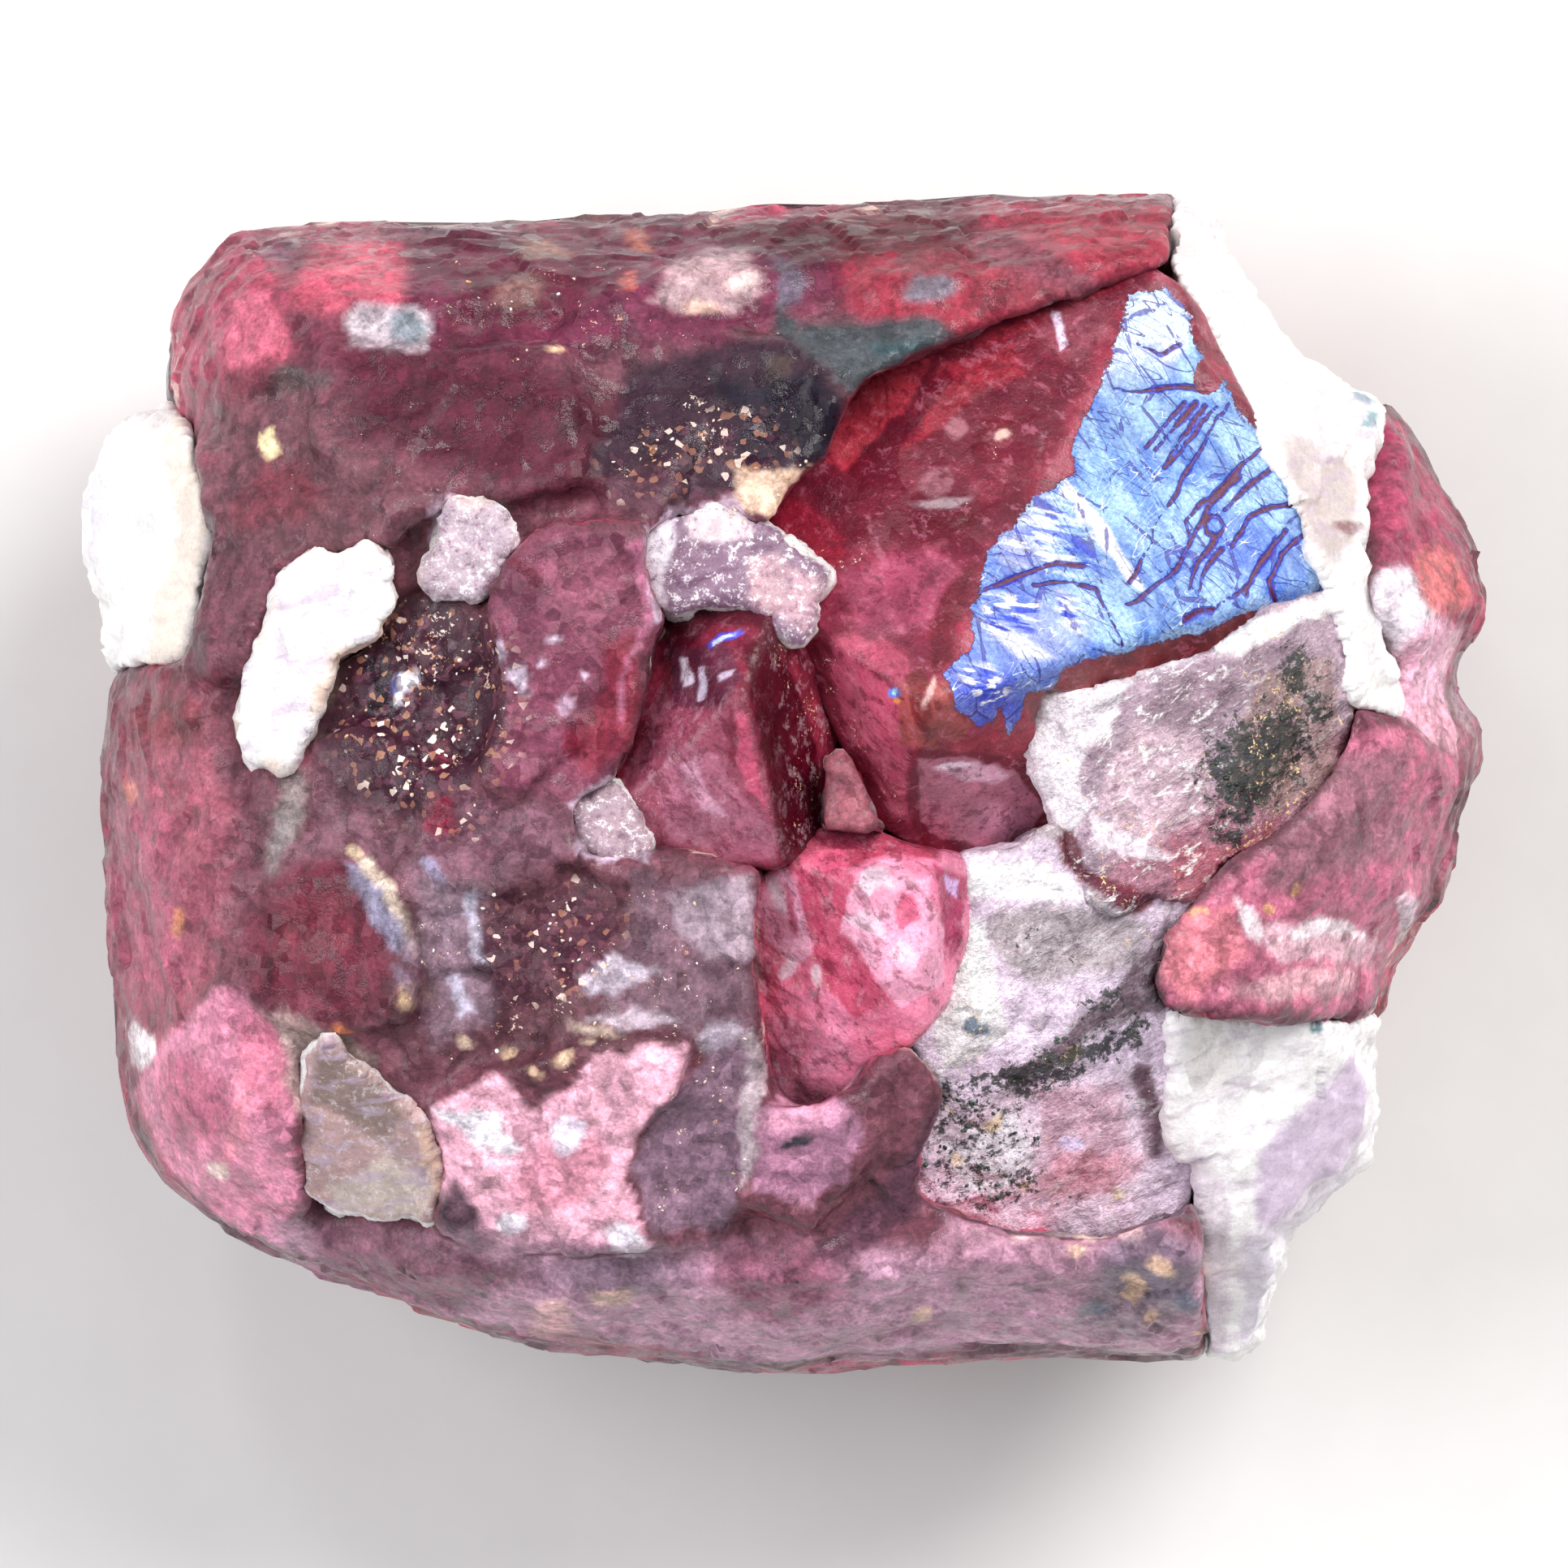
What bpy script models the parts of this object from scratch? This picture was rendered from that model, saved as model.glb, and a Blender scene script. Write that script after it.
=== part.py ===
"""A rough spinel specimen: spinel crystals and calcite grains in a lump of intergrown spinel.

Units are metres, +Z up. The specimen lies on its flat broken base at z = 0 and shows its crystals upwards.
Lengths below are in millimetres, and MM turns them into metres where a mesh is made.

Every piece is parted from one whole stone, so neighbours share their seams and the outer form stays whole.
The lump is the stone kept where its own grains are: upright grains over the crown, blocks round the flank.
Every other node is the stone inside an upright seat of its own outline, cut by the flat faces of its crystal.
"""

import math
import random

import bmesh
import bpy
from mathutils import Vector

MM = 0.001

# ---------------------------------------------------------------- driving dimensions, mm

STONE_HEIGHT = 7.60  # from the base to the crest
SEAM = 0.05  # open hairline between two pieces
ABOVE = 9.0  # any height clear of the stone, where cutters end
JITTER_REACH = 0.012  # unevenness of the stone's sections, as a share of their reach
JITTER_HEIGHT = 0.06  # and of their height
SAME_FACE = math.radians(2.0)  # faces nearer than this to one plane count as one
SEED = 7

# The stone's plan: its outer line seen from above, anticlockwise from the far right corner.
STONE_PLAN = [
    (3.50, 5.04), (2.00, 5.02), (0.00, 4.91), (-2.00, 4.81), (-4.30, 4.78), (-4.80, 4.63),
    (-5.05, 4.35), (-5.17, 4.00), (-5.22, 3.55), (-5.24, 3.22),
    (-5.60, 3.08), (-5.86, 2.78), (-6.00, 2.35), (-5.98, 1.98), (-5.87, 1.60), (-5.80, 1.25), (-5.73, 0.98),
    (-5.78, 0.60), (-5.81, 0.10), (-5.78, -0.90), (-5.71, -1.90), (-5.69, -2.45), (-5.58, -2.95),
    (-5.32, -3.38), (-4.95, -3.68), (-4.45, -3.95), (-3.90, -4.20), (-3.30, -4.41), (-2.55, -4.68),
    (-2.10, -4.81), (-1.20, -4.88), (0.00, -5.04), (0.60, -4.98), (1.80, -4.89), (3.85, -4.88),
    (4.08, -4.75), (4.14, -4.50), (4.24, -3.88),
    (4.65, -3.52), (4.88, -3.22), (5.01, -2.90), (5.02, -2.60), (4.97, -2.28),
    (5.08, -1.92), (5.22, -1.55), (5.40, -1.25), (5.62, -0.98), (5.72, -0.65), (5.75, -0.30),
    (5.86, -0.05), (5.95, 0.25), (5.90, 0.50), (5.70, 0.86),
    (5.78, 1.08), (5.97, 1.38), (6.00, 1.62), (5.86, 2.02), (5.62, 2.55), (5.38, 2.95), (5.15, 3.24),
    (4.85, 3.34), (4.20, 3.77), (4.03, 4.08), (3.84, 4.50), (3.68, 4.90),
]

# The stone's section: height over the base as a share of STONE_HEIGHT, and reach as a share of the plan.
STONE_SECTION = [
    (0.000, 0.76), (0.045, 0.85), (0.150, 0.93), (0.310, 0.985), (0.460, 1.000), (0.610, 0.975),
    (0.730, 0.920), (0.840, 0.830), (0.920, 0.700), (1.000, 0.400),
]
RIM_LEVEL = 4  # the section's widest level, which stays true to the plan

# The body that carries the grains: (height as a share, reach as a share), wide of the stone at its rim band
# and inside it everywhere else, so that grooves open between the grains.
BODY_SECTION = [
    (-0.10, 0.62), (0.040, 0.72), (0.150, 0.81), (0.300, 0.885), (0.385, 0.940), (0.425, 1.080),
    (0.545, 1.080), (0.640, 0.925), (0.745, 0.850), (0.830, 0.740), (0.890, 0.560), (0.915, 0.330),
]
BODY_STEP = 3  # the body follows every third point of the plan

# The blocks round the flank, under the rim: two rows of this many, in mm of height, each with its own
# outer face that lies some way inside the stone and leans a little.
FLANK_BLOCKS = 13
FLANK_ROWS = [(-0.40, 1.42), (1.38, 3.16)]
FLANK_DROP = (0.04, 0.42)
FLANK_LEAN = 0.20

# Breaks that cross several grains of the flank: the way each faces as (azimuth, elevation) in degrees,
# and how much it takes off, in mm, measured in from the farthest point that way.
FLANK_BREAKS = [
    (72, -32, 0.62), (14, -36, 0.66), (-48, -34, 0.74), (-104, -38, 0.60), (-158, -33, 0.66), (128, -40, 0.80),
]

WHITE = (0.93, 0.90, 0.88)


class Seat:
    """A node's place in the stone: its outline, how deep it is set, and the flat faces of its crystal.

    A face is three points of a plane, as (x, y, z) in mm, and everything over the plane is cut away.
    A grain with no crystal faces takes a flat break that lies some way under the stone's dome.
    """

    def __init__(self, name, floor, outline, faces=(), under_dome=None, colour=WHITE, roughness=0.5):
        self.name = name
        self.floor = floor
        self.outline = outline
        self.faces = faces
        self.under_dome = under_dome
        self.colour = colour
        self.roughness = roughness


SEATS = [
    Seat(
        "blue_faced_crystal",
        4.6,
        [
            (-0.15, 2.15), (0.05, 2.50), (0.35, 2.78), (0.50, 3.15), (0.68, 3.43), (1.20, 3.68),
            (1.80, 3.92), (2.35, 4.10), (2.80, 4.30), (3.12, 4.38), (3.38, 4.18), (3.50, 4.02),
            (3.66, 3.70), (3.92, 3.20), (4.10, 2.80), (4.30, 2.42), (4.46, 2.00), (4.62, 1.62),
            (4.10, 1.48), (3.70, 1.12), (3.00, 0.88), (2.60, 0.78), (2.20, 0.82), (2.10, 0.55),
            (2.12, 0.10), (2.30, -0.36), (2.00, -0.54), (1.50, -0.62), (1.12, -0.56), (0.80, -0.30),
            (0.62, 0.10), (0.46, 0.45), (0.29, 0.85), (0.13, 1.20), (0.22, 1.55), (0.36, 1.76), (0.10, 1.97),
        ],
        faces=[
            ((3.10, 4.20, 5.90), (1.40, 0.95, 7.22), (4.60, 1.62, 6.25)),  # the iridescent face
            ((3.05, 4.15, 5.92), (2.12, 2.45, 6.62), (0.40, 3.00, 5.90)),  # the long far flank
            ((1.72, 1.75, 6.92), (1.40, 0.95, 7.22), (0.20, 1.60, 6.45)),  # the wine-red flank
            ((1.20, 0.45, 7.16), (2.10, 0.40, 7.02), (1.60, -0.60, 6.52)),  # the smooth window at its foot
            ((1.10, 0.60, 7.12), (1.16, -0.40, 6.74), (0.50, 0.30, 6.40)),  # the narrow side facet
            ((2.10, 0.92, 6.98), (4.10, 1.62, 6.35), (3.00, 0.86, 6.30)),  # the rim under the blue face
        ],
        colour=(0.20, 0.06, 0.10),
        roughness=0.25,
    ),
    Seat(
        "central_crystal",
        5.2,
        [
            (-1.10, 1.12), (-0.95, 1.42), (-0.65, 1.55), (-0.35, 1.56), (-0.02, 1.34), (0.13, 1.20),
            (0.29, 0.85), (0.46, 0.45), (0.36, 0.12), (0.30, -0.40), (0.10, -0.60), (-0.05, -0.70),
            (-0.60, -0.66), (-1.08, -0.52), (-1.28, -0.25), (-1.42, 0.02), (-1.26, 0.38), (-1.16, 0.78),
        ],
        faces=[
            ((-0.50, 0.62, 7.48), (-0.02, -0.62, 7.14), (-1.22, -0.36, 6.98)),  # the pink near face
            ((-0.50, 0.62, 7.48), (-1.34, -0.10, 6.98), (-1.12, 0.95, 6.60)),  # the left face
            ((-0.50, 0.72, 7.46), (-0.20, 1.10, 7.24), (-0.70, 1.55, 6.62)),  # the cap towards the calcite
            ((-0.24, 1.10, 7.22), (0.00, -0.62, 7.12), (0.42, 0.44, 6.26)),  # the dark face on the right
        ],
        colour=(0.28, 0.08, 0.13),
        roughness=0.22,
    ),
    Seat(
        "lower_crystal",
        5.1,
        [
            (-0.22, -0.85), (-0.05, -0.70), (0.10, -0.60), (0.30, -0.40), (0.78, -0.42), (1.12, -0.56),
            (1.50, -0.62), (1.55, -1.00), (1.50, -1.45), (1.36, -1.85), (1.05, -2.18), (0.70, -2.36),
            (0.50, -2.62), (0.28, -2.76), (-0.02, -2.66), (-0.16, -2.20), (-0.26, -1.60), (-0.28, -1.15),
        ],
        faces=[
            ((0.62, -0.85, 7.22), (0.86, -1.85, 6.98), (1.22, -1.00, 7.10)),  # the bright pink face
            ((1.20, -0.85, 7.14), (1.16, -1.85, 6.96), (1.54, -1.20, 6.52)),  # the bevel right of it
            ((0.60, -0.85, 7.22), (0.84, -1.85, 6.96), (-0.26, -1.40, 6.42)),  # the left face
            ((0.50, -0.86, 7.20), (1.10, -0.82, 7.14), (0.70, -0.42, 6.70)),  # the short far face
            ((0.10, -1.75, 6.72), (1.00, -1.85, 6.96), (0.30, -2.72, 6.10)),  # the near slope
        ],
        colour=(0.45, 0.14, 0.22),
        roughness=0.2,
    ),
    Seat(
        "veined_marble_slab",
        4.4,
        [
            (2.20, 0.82), (2.60, 0.78), (3.00, 0.88), (3.70, 1.12), (4.10, 1.48), (4.62, 1.62),
            (4.76, 1.20), (4.82, 0.70), (4.74, 0.30), (4.52, -0.10), (4.16, -0.44), (3.76, -0.64),
            (3.46, -1.02), (3.10, -0.92), (2.80, -1.10), (2.55, -0.95), (2.36, -0.62), (2.30, -0.36),
            (2.12, 0.10), (2.10, 0.55),
        ],
        faces=[
            ((2.20, 0.70, 6.74), (3.90, 1.30, 6.58), (3.30, -0.90, 6.36)),  # the grey veined face
            ((3.90, 1.30, 6.58), (4.20, -0.40, 6.16), (4.80, 0.70, 6.02)),  # its right shoulder
            ((2.70, 0.40, 6.66), (2.40, -0.60, 6.42), (2.14, 0.30, 6.48)),  # its white left edge
        ],
        colour=(0.42, 0.33, 0.33),
        roughness=0.6,
    ),
    Seat(
        "speckled_marble",
        4.2,
        [
            (1.50, -0.62), (2.00, -0.54), (2.30, -0.36), (2.36, -0.62), (2.55, -0.95), (2.80, -1.10),
            (3.10, -0.92), (3.46, -1.02), (3.22, -1.30), (3.08, -1.70), (3.30, -1.95), (3.30, -2.40),
            (3.22, -2.80), (3.46, -3.24), (3.40, -3.66), (2.70, -3.86), (1.90, -3.80), (1.10, -3.50),
            (1.16, -3.06), (1.36, -2.62), (1.05, -2.18), (1.36, -1.85), (1.50, -1.45), (1.55, -1.00),
        ],
        faces=[
            ((1.60, -0.70, 6.62), (3.10, -1.20, 6.20), (1.40, -1.90, 6.42)),  # its upper face
            ((1.50, -2.10, 6.36), (3.20, -2.00, 5.92), (2.20, -3.80, 5.20)),  # the near slope
        ],
        colour=(0.72, 0.68, 0.70),
        roughness=0.6,
    ),
    Seat(
        "calcite_ridge",
        2.7,
        [
            (3.38, 4.18), (3.50, 4.02), (3.66, 3.70), (3.92, 3.20), (4.10, 2.80), (4.30, 2.42),
            (4.46, 2.00), (4.62, 1.62), (4.76, 1.20), (4.82, 0.70), (5.04, 0.60), (5.22, 0.56),
            (5.22, 1.00), (5.02, 1.30), (4.97, 1.70), (4.88, 2.05), (4.93, 2.50), (5.06, 2.90),
            (5.05, 3.22), (5.30, 3.80), (4.70, 4.60), (4.20, 5.60), (3.45, 5.60), (3.36, 4.95), (3.28, 4.50),
        ],
        faces=[
            ((3.40, 4.10, 6.02), (4.62, 1.70, 6.40), (4.92, 3.00, 5.20)),  # the broad outer slope
            ((3.40, 4.20, 5.90), (3.80, 4.00, 5.72), (3.62, 4.90, 4.70)),  # the far tip
            ((4.50, 1.90, 6.42), (4.82, 0.80, 6.20), (5.02, 1.40, 5.86)),  # the narrow crest
        ],
        colour=(0.92, 0.90, 0.88),
    ),
    Seat(
        "calcite_left_lump",
        2.0,
        [
            (-5.22, 3.27), (-6.60, 3.60), (-6.60, 0.60), (-5.74, 0.95), (-5.50, 1.03), (-5.08, 1.08),
            (-4.96, 1.60), (-4.88, 2.05), (-4.93, 2.50), (-5.05, 2.92),
        ],
        faces=[
            ((-5.00, 2.30, 5.42), (-5.20, 1.20, 5.28), (-5.80, 2.10, 4.55)),  # its top
            ((-5.30, 2.80, 5.00), (-5.70, 2.60, 4.60), (-5.25, 3.20, 4.40)),  # the far shoulder
        ],
        colour=(0.95, 0.94, 0.92),
    ),
    Seat(
        "calcite_foot",
        1.5,
        [
            (3.30, -1.95), (4.00, -1.98), (4.75, -2.02), (5.05, -1.98), (5.70, -2.35), (5.80, -3.70),
            (5.00, -5.60), (3.62, -5.60), (3.58, -4.60), (3.55, -3.80), (3.46, -3.24), (3.22, -2.80),
            (3.30, -2.40),
        ],
        faces=[
            ((3.40, -2.10, 5.95), (4.70, -2.10, 5.42), (3.80, -3.60, 5.02)),  # the bright sloping face
            ((4.30, -2.60, 5.40), (4.15, -3.60, 4.86), (4.95, -2.80, 4.50)),  # the lilac lobe
            ((3.60, -3.80, 4.98), (4.10, -3.90, 4.70), (3.90, -4.80, 3.90)),  # the corner below
        ],
        colour=(0.90, 0.88, 0.90),
        roughness=0.4,
    ),
    Seat(
        "grey_calcite_grain",
        3.6,
        [
            (-4.06, -2.30), (-3.86, -2.16), (-3.50, -2.46), (-3.02, -2.84), (-2.88, -3.30), (-2.96, -3.72),
            (-3.50, -3.62), (-3.84, -3.58), (-4.04, -3.40), (-4.12, -2.80),
        ],
        under_dome=0.24,
        colour=(0.40, 0.34, 0.32),
        roughness=0.6,
    ),
    Seat(
        "calcite_blade",
        5.2,
        [
            (-4.26, 1.78), (-4.02, 1.95), (-3.76, 1.92), (-3.52, 2.08), (-3.38, 1.90), (-3.34, 1.58),
            (-3.46, 1.26), (-3.80, 1.05), (-3.95, 0.72), (-4.00, 0.46), (-4.20, 0.14), (-4.54, 0.20),
            (-4.60, 0.42), (-4.52, 1.00), (-4.44, 1.34),
        ],
        under_dome=0.10,
        colour=(0.93, 0.90, 0.90),
    ),
    Seat(
        "calcite_chip",
        5.9,
        [
            (-3.08, 1.72), (-2.90, 2.00), (-2.80, 2.40), (-2.50, 2.36), (-2.30, 2.05), (-2.40, 1.85),
            (-2.50, 1.65), (-2.60, 1.55),
        ],
        under_dome=0.14,
        colour=(0.80, 0.74, 0.78),
    ),
    Seat(
        "calcite_cap",
        5.9,
        [
            (-1.20, 2.10), (-0.90, 2.25), (-0.60, 2.35), (-0.30, 2.22), (-0.15, 2.15), (0.10, 1.97),
            (0.36, 1.76), (0.22, 1.55), (0.13, 1.20), (-0.02, 1.34), (-0.35, 1.56), (-0.65, 1.55),
            (-0.95, 1.42), (-1.08, 1.55), (-1.18, 1.80),
        ],
        under_dome=0.62,
        colour=(0.72, 0.60, 0.62),
    ),
    Seat(
        "calcite_tooth",
        6.15,
        [
            (-1.78, -0.20), (-1.60, -0.08), (-1.42, 0.02), (-1.28, -0.25), (-1.10, -0.50), (-1.16, -0.66),
            (-1.42, -0.62), (-1.72, -0.54),
        ],
        under_dome=0.42,
        colour=(0.78, 0.70, 0.72),
    ),
]
SEAT_INSET = 0.06  # a seat's floor is this much narrower all round, mm
SEAT_SHOULDER = 0.55  # height over the floor where a seat reaches its full outline, mm

# The lump's own grains over the crown: outline in plan, how far the flat break lies under the dome,
# and its lean as the extra rise per mm along X and Y.
CROWN_GRAINS = {
    "far_left_corner": (
        [(-6.2, 3.10), (-5.9, 5.4), (-3.30, 5.4), (-3.20, 4.05), (-3.70, 3.90), (-4.20, 3.80), (-4.45, 3.30)],
        0.16, (0.04, 0.00),
    ),
    "far_band_left": (
        [(-3.26, 5.4), (-1.70, 5.4), (-1.60, 4.20), (-1.90, 3.75), (-3.10, 3.68), (-3.16, 4.05)],
        0.34, (0.05, -0.06),
    ),
    "pale_patch": (
        [(-4.30, 3.86), (-3.60, 4.16), (-2.90, 4.10), (-2.90, 3.56), (-3.80, 3.56), (-4.40, 3.50)],
        0.50, (0.00, 0.00),
    ),
    "far_band_middle": (
        [(-1.66, 5.4), (0.30, 5.4), (0.60, 4.50), (-0.08, 4.10), (-0.60, 3.78), (-1.56, 4.18)],
        0.22, (-0.04, 0.03),
    ),
    "far_band_right": (
        [(0.36, 5.4), (3.60, 5.6), (3.28, 4.50), (2.60, 4.24), (1.40, 3.80), (0.90, 3.98), (0.64, 4.50)],
        0.30, (0.03, 0.00),
    ),
    "green_hollow": (
        [(-0.06, 4.06), (0.62, 4.44), (0.88, 3.96), (1.36, 3.78), (0.68, 3.46), (0.44, 3.20), (0.06, 3.70)],
        0.52, (0.06, 0.00),
    ),
    "grey_notch": (
        [(-0.50, 3.60), (-0.60, 3.84), (0.00, 4.16), (0.20, 3.90), (0.10, 3.56)],
        0.80, (0.00, 0.00),
    ),
    "dark_hollow_left": (
        [(-1.86, 3.68), (-1.56, 4.12), (-0.62, 3.72), (-0.80, 3.00), (-1.10, 2.26), (-1.66, 2.60)],
        0.58, (-0.10, 0.06),
    ),
    "dark_hollow_right": (
        [(-0.56, 3.72), (0.00, 3.68), (0.46, 3.16), (0.33, 2.80), (0.03, 2.52), (-0.17, 2.24), (-0.58, 2.40),
         (-1.02, 2.26), (-0.74, 3.00)],
        0.74, (0.06, 0.10),
    ),
    "far_field": (
        [(-3.90, 3.72), (-3.10, 3.62), (-1.94, 3.68), (-1.72, 2.58), (-2.30, 2.50), (-3.26, 2.34), (-3.96, 2.90)],
        0.40, (0.00, -0.05),
    ),
    "left_field": (
        [(-5.00, 3.20), (-4.42, 3.28), (-3.94, 3.64), (-4.00, 2.90), (-3.30, 2.30), (-3.42, 2.06), (-3.76, 1.92),
         (-4.02, 1.96), (-4.28, 1.80), (-4.46, 1.34), (-4.54, 0.94), (-5.00, 1.04), (-4.86, 2.05)],
        0.30, (0.03, 0.02),
    ),
    "left_lobe_far": (
        [(-6.2, 1.10), (-5.04, 1.04), (-4.56, 0.92), (-4.62, 0.30), (-4.80, -0.20), (-6.4, -0.30)],
        0.24, (-0.04, 0.03),
    ),
    "left_lobe_near": (
        [(-6.4, -0.34), (-4.80, -0.24), (-4.52, -0.60), (-4.75, -1.56), (-5.20, -1.85), (-6.4, -1.95)],
        0.12, (0.03, 0.00),
    ),
    "sparkle_pit": (
        [(-3.94, 0.80), (-3.44, 1.30), (-3.00, 1.56), (-2.52, 1.50), (-2.36, 0.80), (-2.54, 0.12), (-3.00, 0.05),
         (-3.52, 0.45), (-3.98, 0.34)],
        0.72, (0.10, 0.03),
    ),
    "left_shelf": (
        [(-4.42, 0.10), (-4.02, 0.30), (-3.50, 0.42), (-2.98, 0.02), (-3.10, -0.50), (-3.30, -0.86), (-4.44, -0.62)],
        0.44, (0.02, 0.05),
    ),
    "blade_foot": (
        [(-4.92, 0.40), (-4.40, 0.44), (-4.34, -0.72), (-4.60, -0.70), (-4.92, -0.40)],
        0.60, (0.00, 0.00),
    ),
    "tan_hollow": (
        [(-4.50, -1.80), (-3.10, -1.80), (-3.10, -2.90), (-3.60, -2.30), (-4.10, -2.10), (-4.30, -2.60)],
        0.64, (0.00, 0.00),
    ),
    "middle_shelf": (
        [(-2.94, 0.02), (-2.50, 0.08), (-1.82, -0.24), (-1.76, -0.56), (-2.30, -0.86), (-3.24, -0.86), (-3.04, -0.50)],
        0.34, (-0.05, 0.02),
    ),
    "mauve_crystal": (
        [(-2.46, 1.52), (-2.28, 1.86), (-1.95, 2.12), (-1.22, 2.10), (-1.18, 1.80), (-1.06, 1.52), (-1.12, 1.10),
         (-1.16, 0.78), (-1.27, 0.38), (-1.45, 0.02), (-1.78, -0.18), (-2.44, 0.06), (-2.32, 0.80)],
        0.26, (-0.10, 0.04),
    ),
    "round_red_grain": (
        [(-4.72, -0.78), (-3.92, -0.74), (-3.30, -0.96), (-3.16, -1.40), (-3.20, -1.92), (-3.90, -2.04),
         (-4.35, -1.92), (-4.85, -1.50)],
        0.20, (0.00, 0.04),
    ),
    "brown_hollow_left": (
        [(-3.22, -0.94), (-2.30, -0.88), (-1.86, -1.30), (-1.96, -2.34), (-2.50, -2.46), (-3.40, -2.38),
         (-3.12, -1.92)],
        0.62, (-0.04, 0.02),
    ),
    "brown_hollow_right": (
        [(-2.24, -0.88), (-1.74, -0.58), (-1.10, -0.64), (-0.30, -0.76), (-0.30, -1.90), (-0.90, -2.12),
         (-1.28, -2.14), (-1.90, -2.32), (-1.80, -1.30)],
        0.50, (0.05, -0.04),
    ),
    "pink_corner_crystal": (
        [(-6.4, -1.90), (-5.20, -1.88), (-4.78, -1.60), (-4.38, -1.96), (-4.14, -2.60), (-4.06, -3.40),
         (-4.30, -4.6), (-6.4, -3.80)],
        0.10, (0.05, 0.05),
    ),
    "pink_low_crystal": (
        [(-2.98, -2.80), (-2.46, -2.50), (-1.92, -2.38), (-1.32, -2.18), (-0.88, -2.20), (-0.98, -2.60),
         (-1.32, -2.95), (-1.36, -3.30), (-1.18, -3.88), (-2.40, -3.94), (-2.92, -3.72)],
        0.14, (0.04, 0.03),
    ),
    "brown_notch": (
        [(-0.92, -2.50), (-0.60, -2.18), (-0.27, -1.95), (-0.22, -2.90), (-0.40, -3.40), (-0.60, -3.88),
         (-1.12, -3.84), (-1.30, -3.25), (-1.22, -2.92)],
        0.52, (-0.06, 0.00),
    ),
    "foot_crystal": (
        [(-0.24, -2.78), (0.10, -2.82), (0.55, -2.68), (0.75, -2.95), (0.50, -3.40), (0.20, -3.65), (-0.34, -3.50)],
        0.22, (0.06, 0.02),
    ),
    "near_band_left": (
        [(-5.0, -4.9), (-4.20, -3.92), (-4.04, -3.46), (-3.50, -3.68), (-2.90, -3.78), (-2.40, -4.00),
         (-2.00, -5.6), (-4.6, -5.6)],
        0.24, (0.00, 0.04),
    ),
    "near_band_middle": (
        [(-1.96, -5.6), (-2.34, -4.00), (-1.18, -3.94), (-0.32, -3.92), (0.16, -3.72), (0.50, -4.10), (0.60, -5.6)],
        0.32, (0.04, 0.02),
    ),
    "near_band_right": (
        [(0.64, -5.6), (0.54, -4.10), (1.06, -3.54), (1.90, -3.84), (2.70, -3.90), (3.54, -3.72), (3.60, -5.6)],
        0.26, (-0.03, 0.00),
    ),
    "diagonal_groove": (
        [(0.76, -2.52), (1.02, -2.20), (1.32, -2.62), (1.12, -3.10), (1.02, -3.50), (0.52, -4.06), (0.18, -3.68),
         (0.54, -3.38), (0.78, -2.95)],
        0.56, (0.00, 0.04),
    ),
    "brown_wedge": (
        [(0.30, 0.12), (0.48, 0.46), (0.64, 0.10), (0.82, -0.30), (0.78, -0.40), (0.31, -0.40)],
        0.70, (0.00, 0.00),
    ),
    "far_red_lobe": (
        [(5.05, 3.24), (5.5, 3.9), (6.6, 2.40), (6.5, 1.60), (5.00, 1.52), (4.90, 2.06), (4.94, 2.50)],
        0.14, (0.06, 0.00),
    ),
    "middle_red_lobe": (
        [(5.02, 1.48), (6.5, 1.54), (6.4, 0.88), (5.22, 0.84), (5.18, 1.04), (5.04, 1.30)],
        0.30, (0.04, 0.05),
    ),
    "near_red_lobe": (
        [(5.22, 0.80), (6.5, 0.82), (6.5, 0.02), (5.60, 0.20), (5.22, 0.54)],
        0.40, (0.02, 0.10),
    ),
    "right_red_shoulder": (
        [(4.83, 0.68), (5.02, 0.74), (5.20, 0.54), (5.60, 0.16), (6.5, -0.02), (6.4, -1.50), (5.20, -1.56),
         (4.92, -1.10), (4.40, -0.34), (4.54, -0.10), (4.76, 0.30)],
        0.24, (-0.02, 0.04),
    ),
    "near_red_slope": (
        [(3.48, -1.02), (3.78, -0.64), (4.18, -0.44), (4.38, -0.36), (4.88, -1.10), (5.18, -1.60), (6.2, -1.60),
         (5.80, -2.40), (5.05, -1.97), (4.75, -2.00), (4.00, -1.96), (3.32, -1.93), (3.10, -1.70), (3.24, -1.30)],
        0.20, (0.03, -0.04),
    ),
}
GRAIN_OVERLAP = 0.06  # a grain is this much wider all round than its outline, so that neighbours meet, mm
GRAIN_STEP = 0.62  # share of a grain's drop that it takes, which sets how high the steps between grains are
GRAIN_DEPTH = 1.4  # how far a crown grain reaches down into the body, mm
GRAIN_LOWEST = 3.3  # but no lower than the rim band, under which the flank blocks begin, mm


# ---------------------------------------------------------------- plan and section


def turned_anticlockwise(outline):
    area = sum(a[0] * b[1] - b[0] * a[1] for a, b in zip(outline, outline[1:] + outline[:1]))
    return list(outline) if area > 0 else list(reversed(outline))


def grown(outline, distance):
    """The outline moved outwards by distance, or inwards where that is negative, with mitred corners."""
    points = turned_anticlockwise(outline)
    moved = []
    for before, point, after in zip(points[-1:] + points[:-1], points, points[1:] + points[:1]):
        into = (Vector(point) - Vector(before)).normalized()
        out_of = (Vector(after) - Vector(point)).normalized()
        mitre = Vector((into.y, -into.x)) + Vector((out_of.y, -out_of.x))
        along = mitre.length_squared / 2
        moved.append(tuple(Vector(point) + mitre * (distance / max(along, 0.5))))
    return moved


def middle_of(outline):
    return sum((Vector(point) for point in outline), Vector((0.0, 0.0))) / len(outline)


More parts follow.
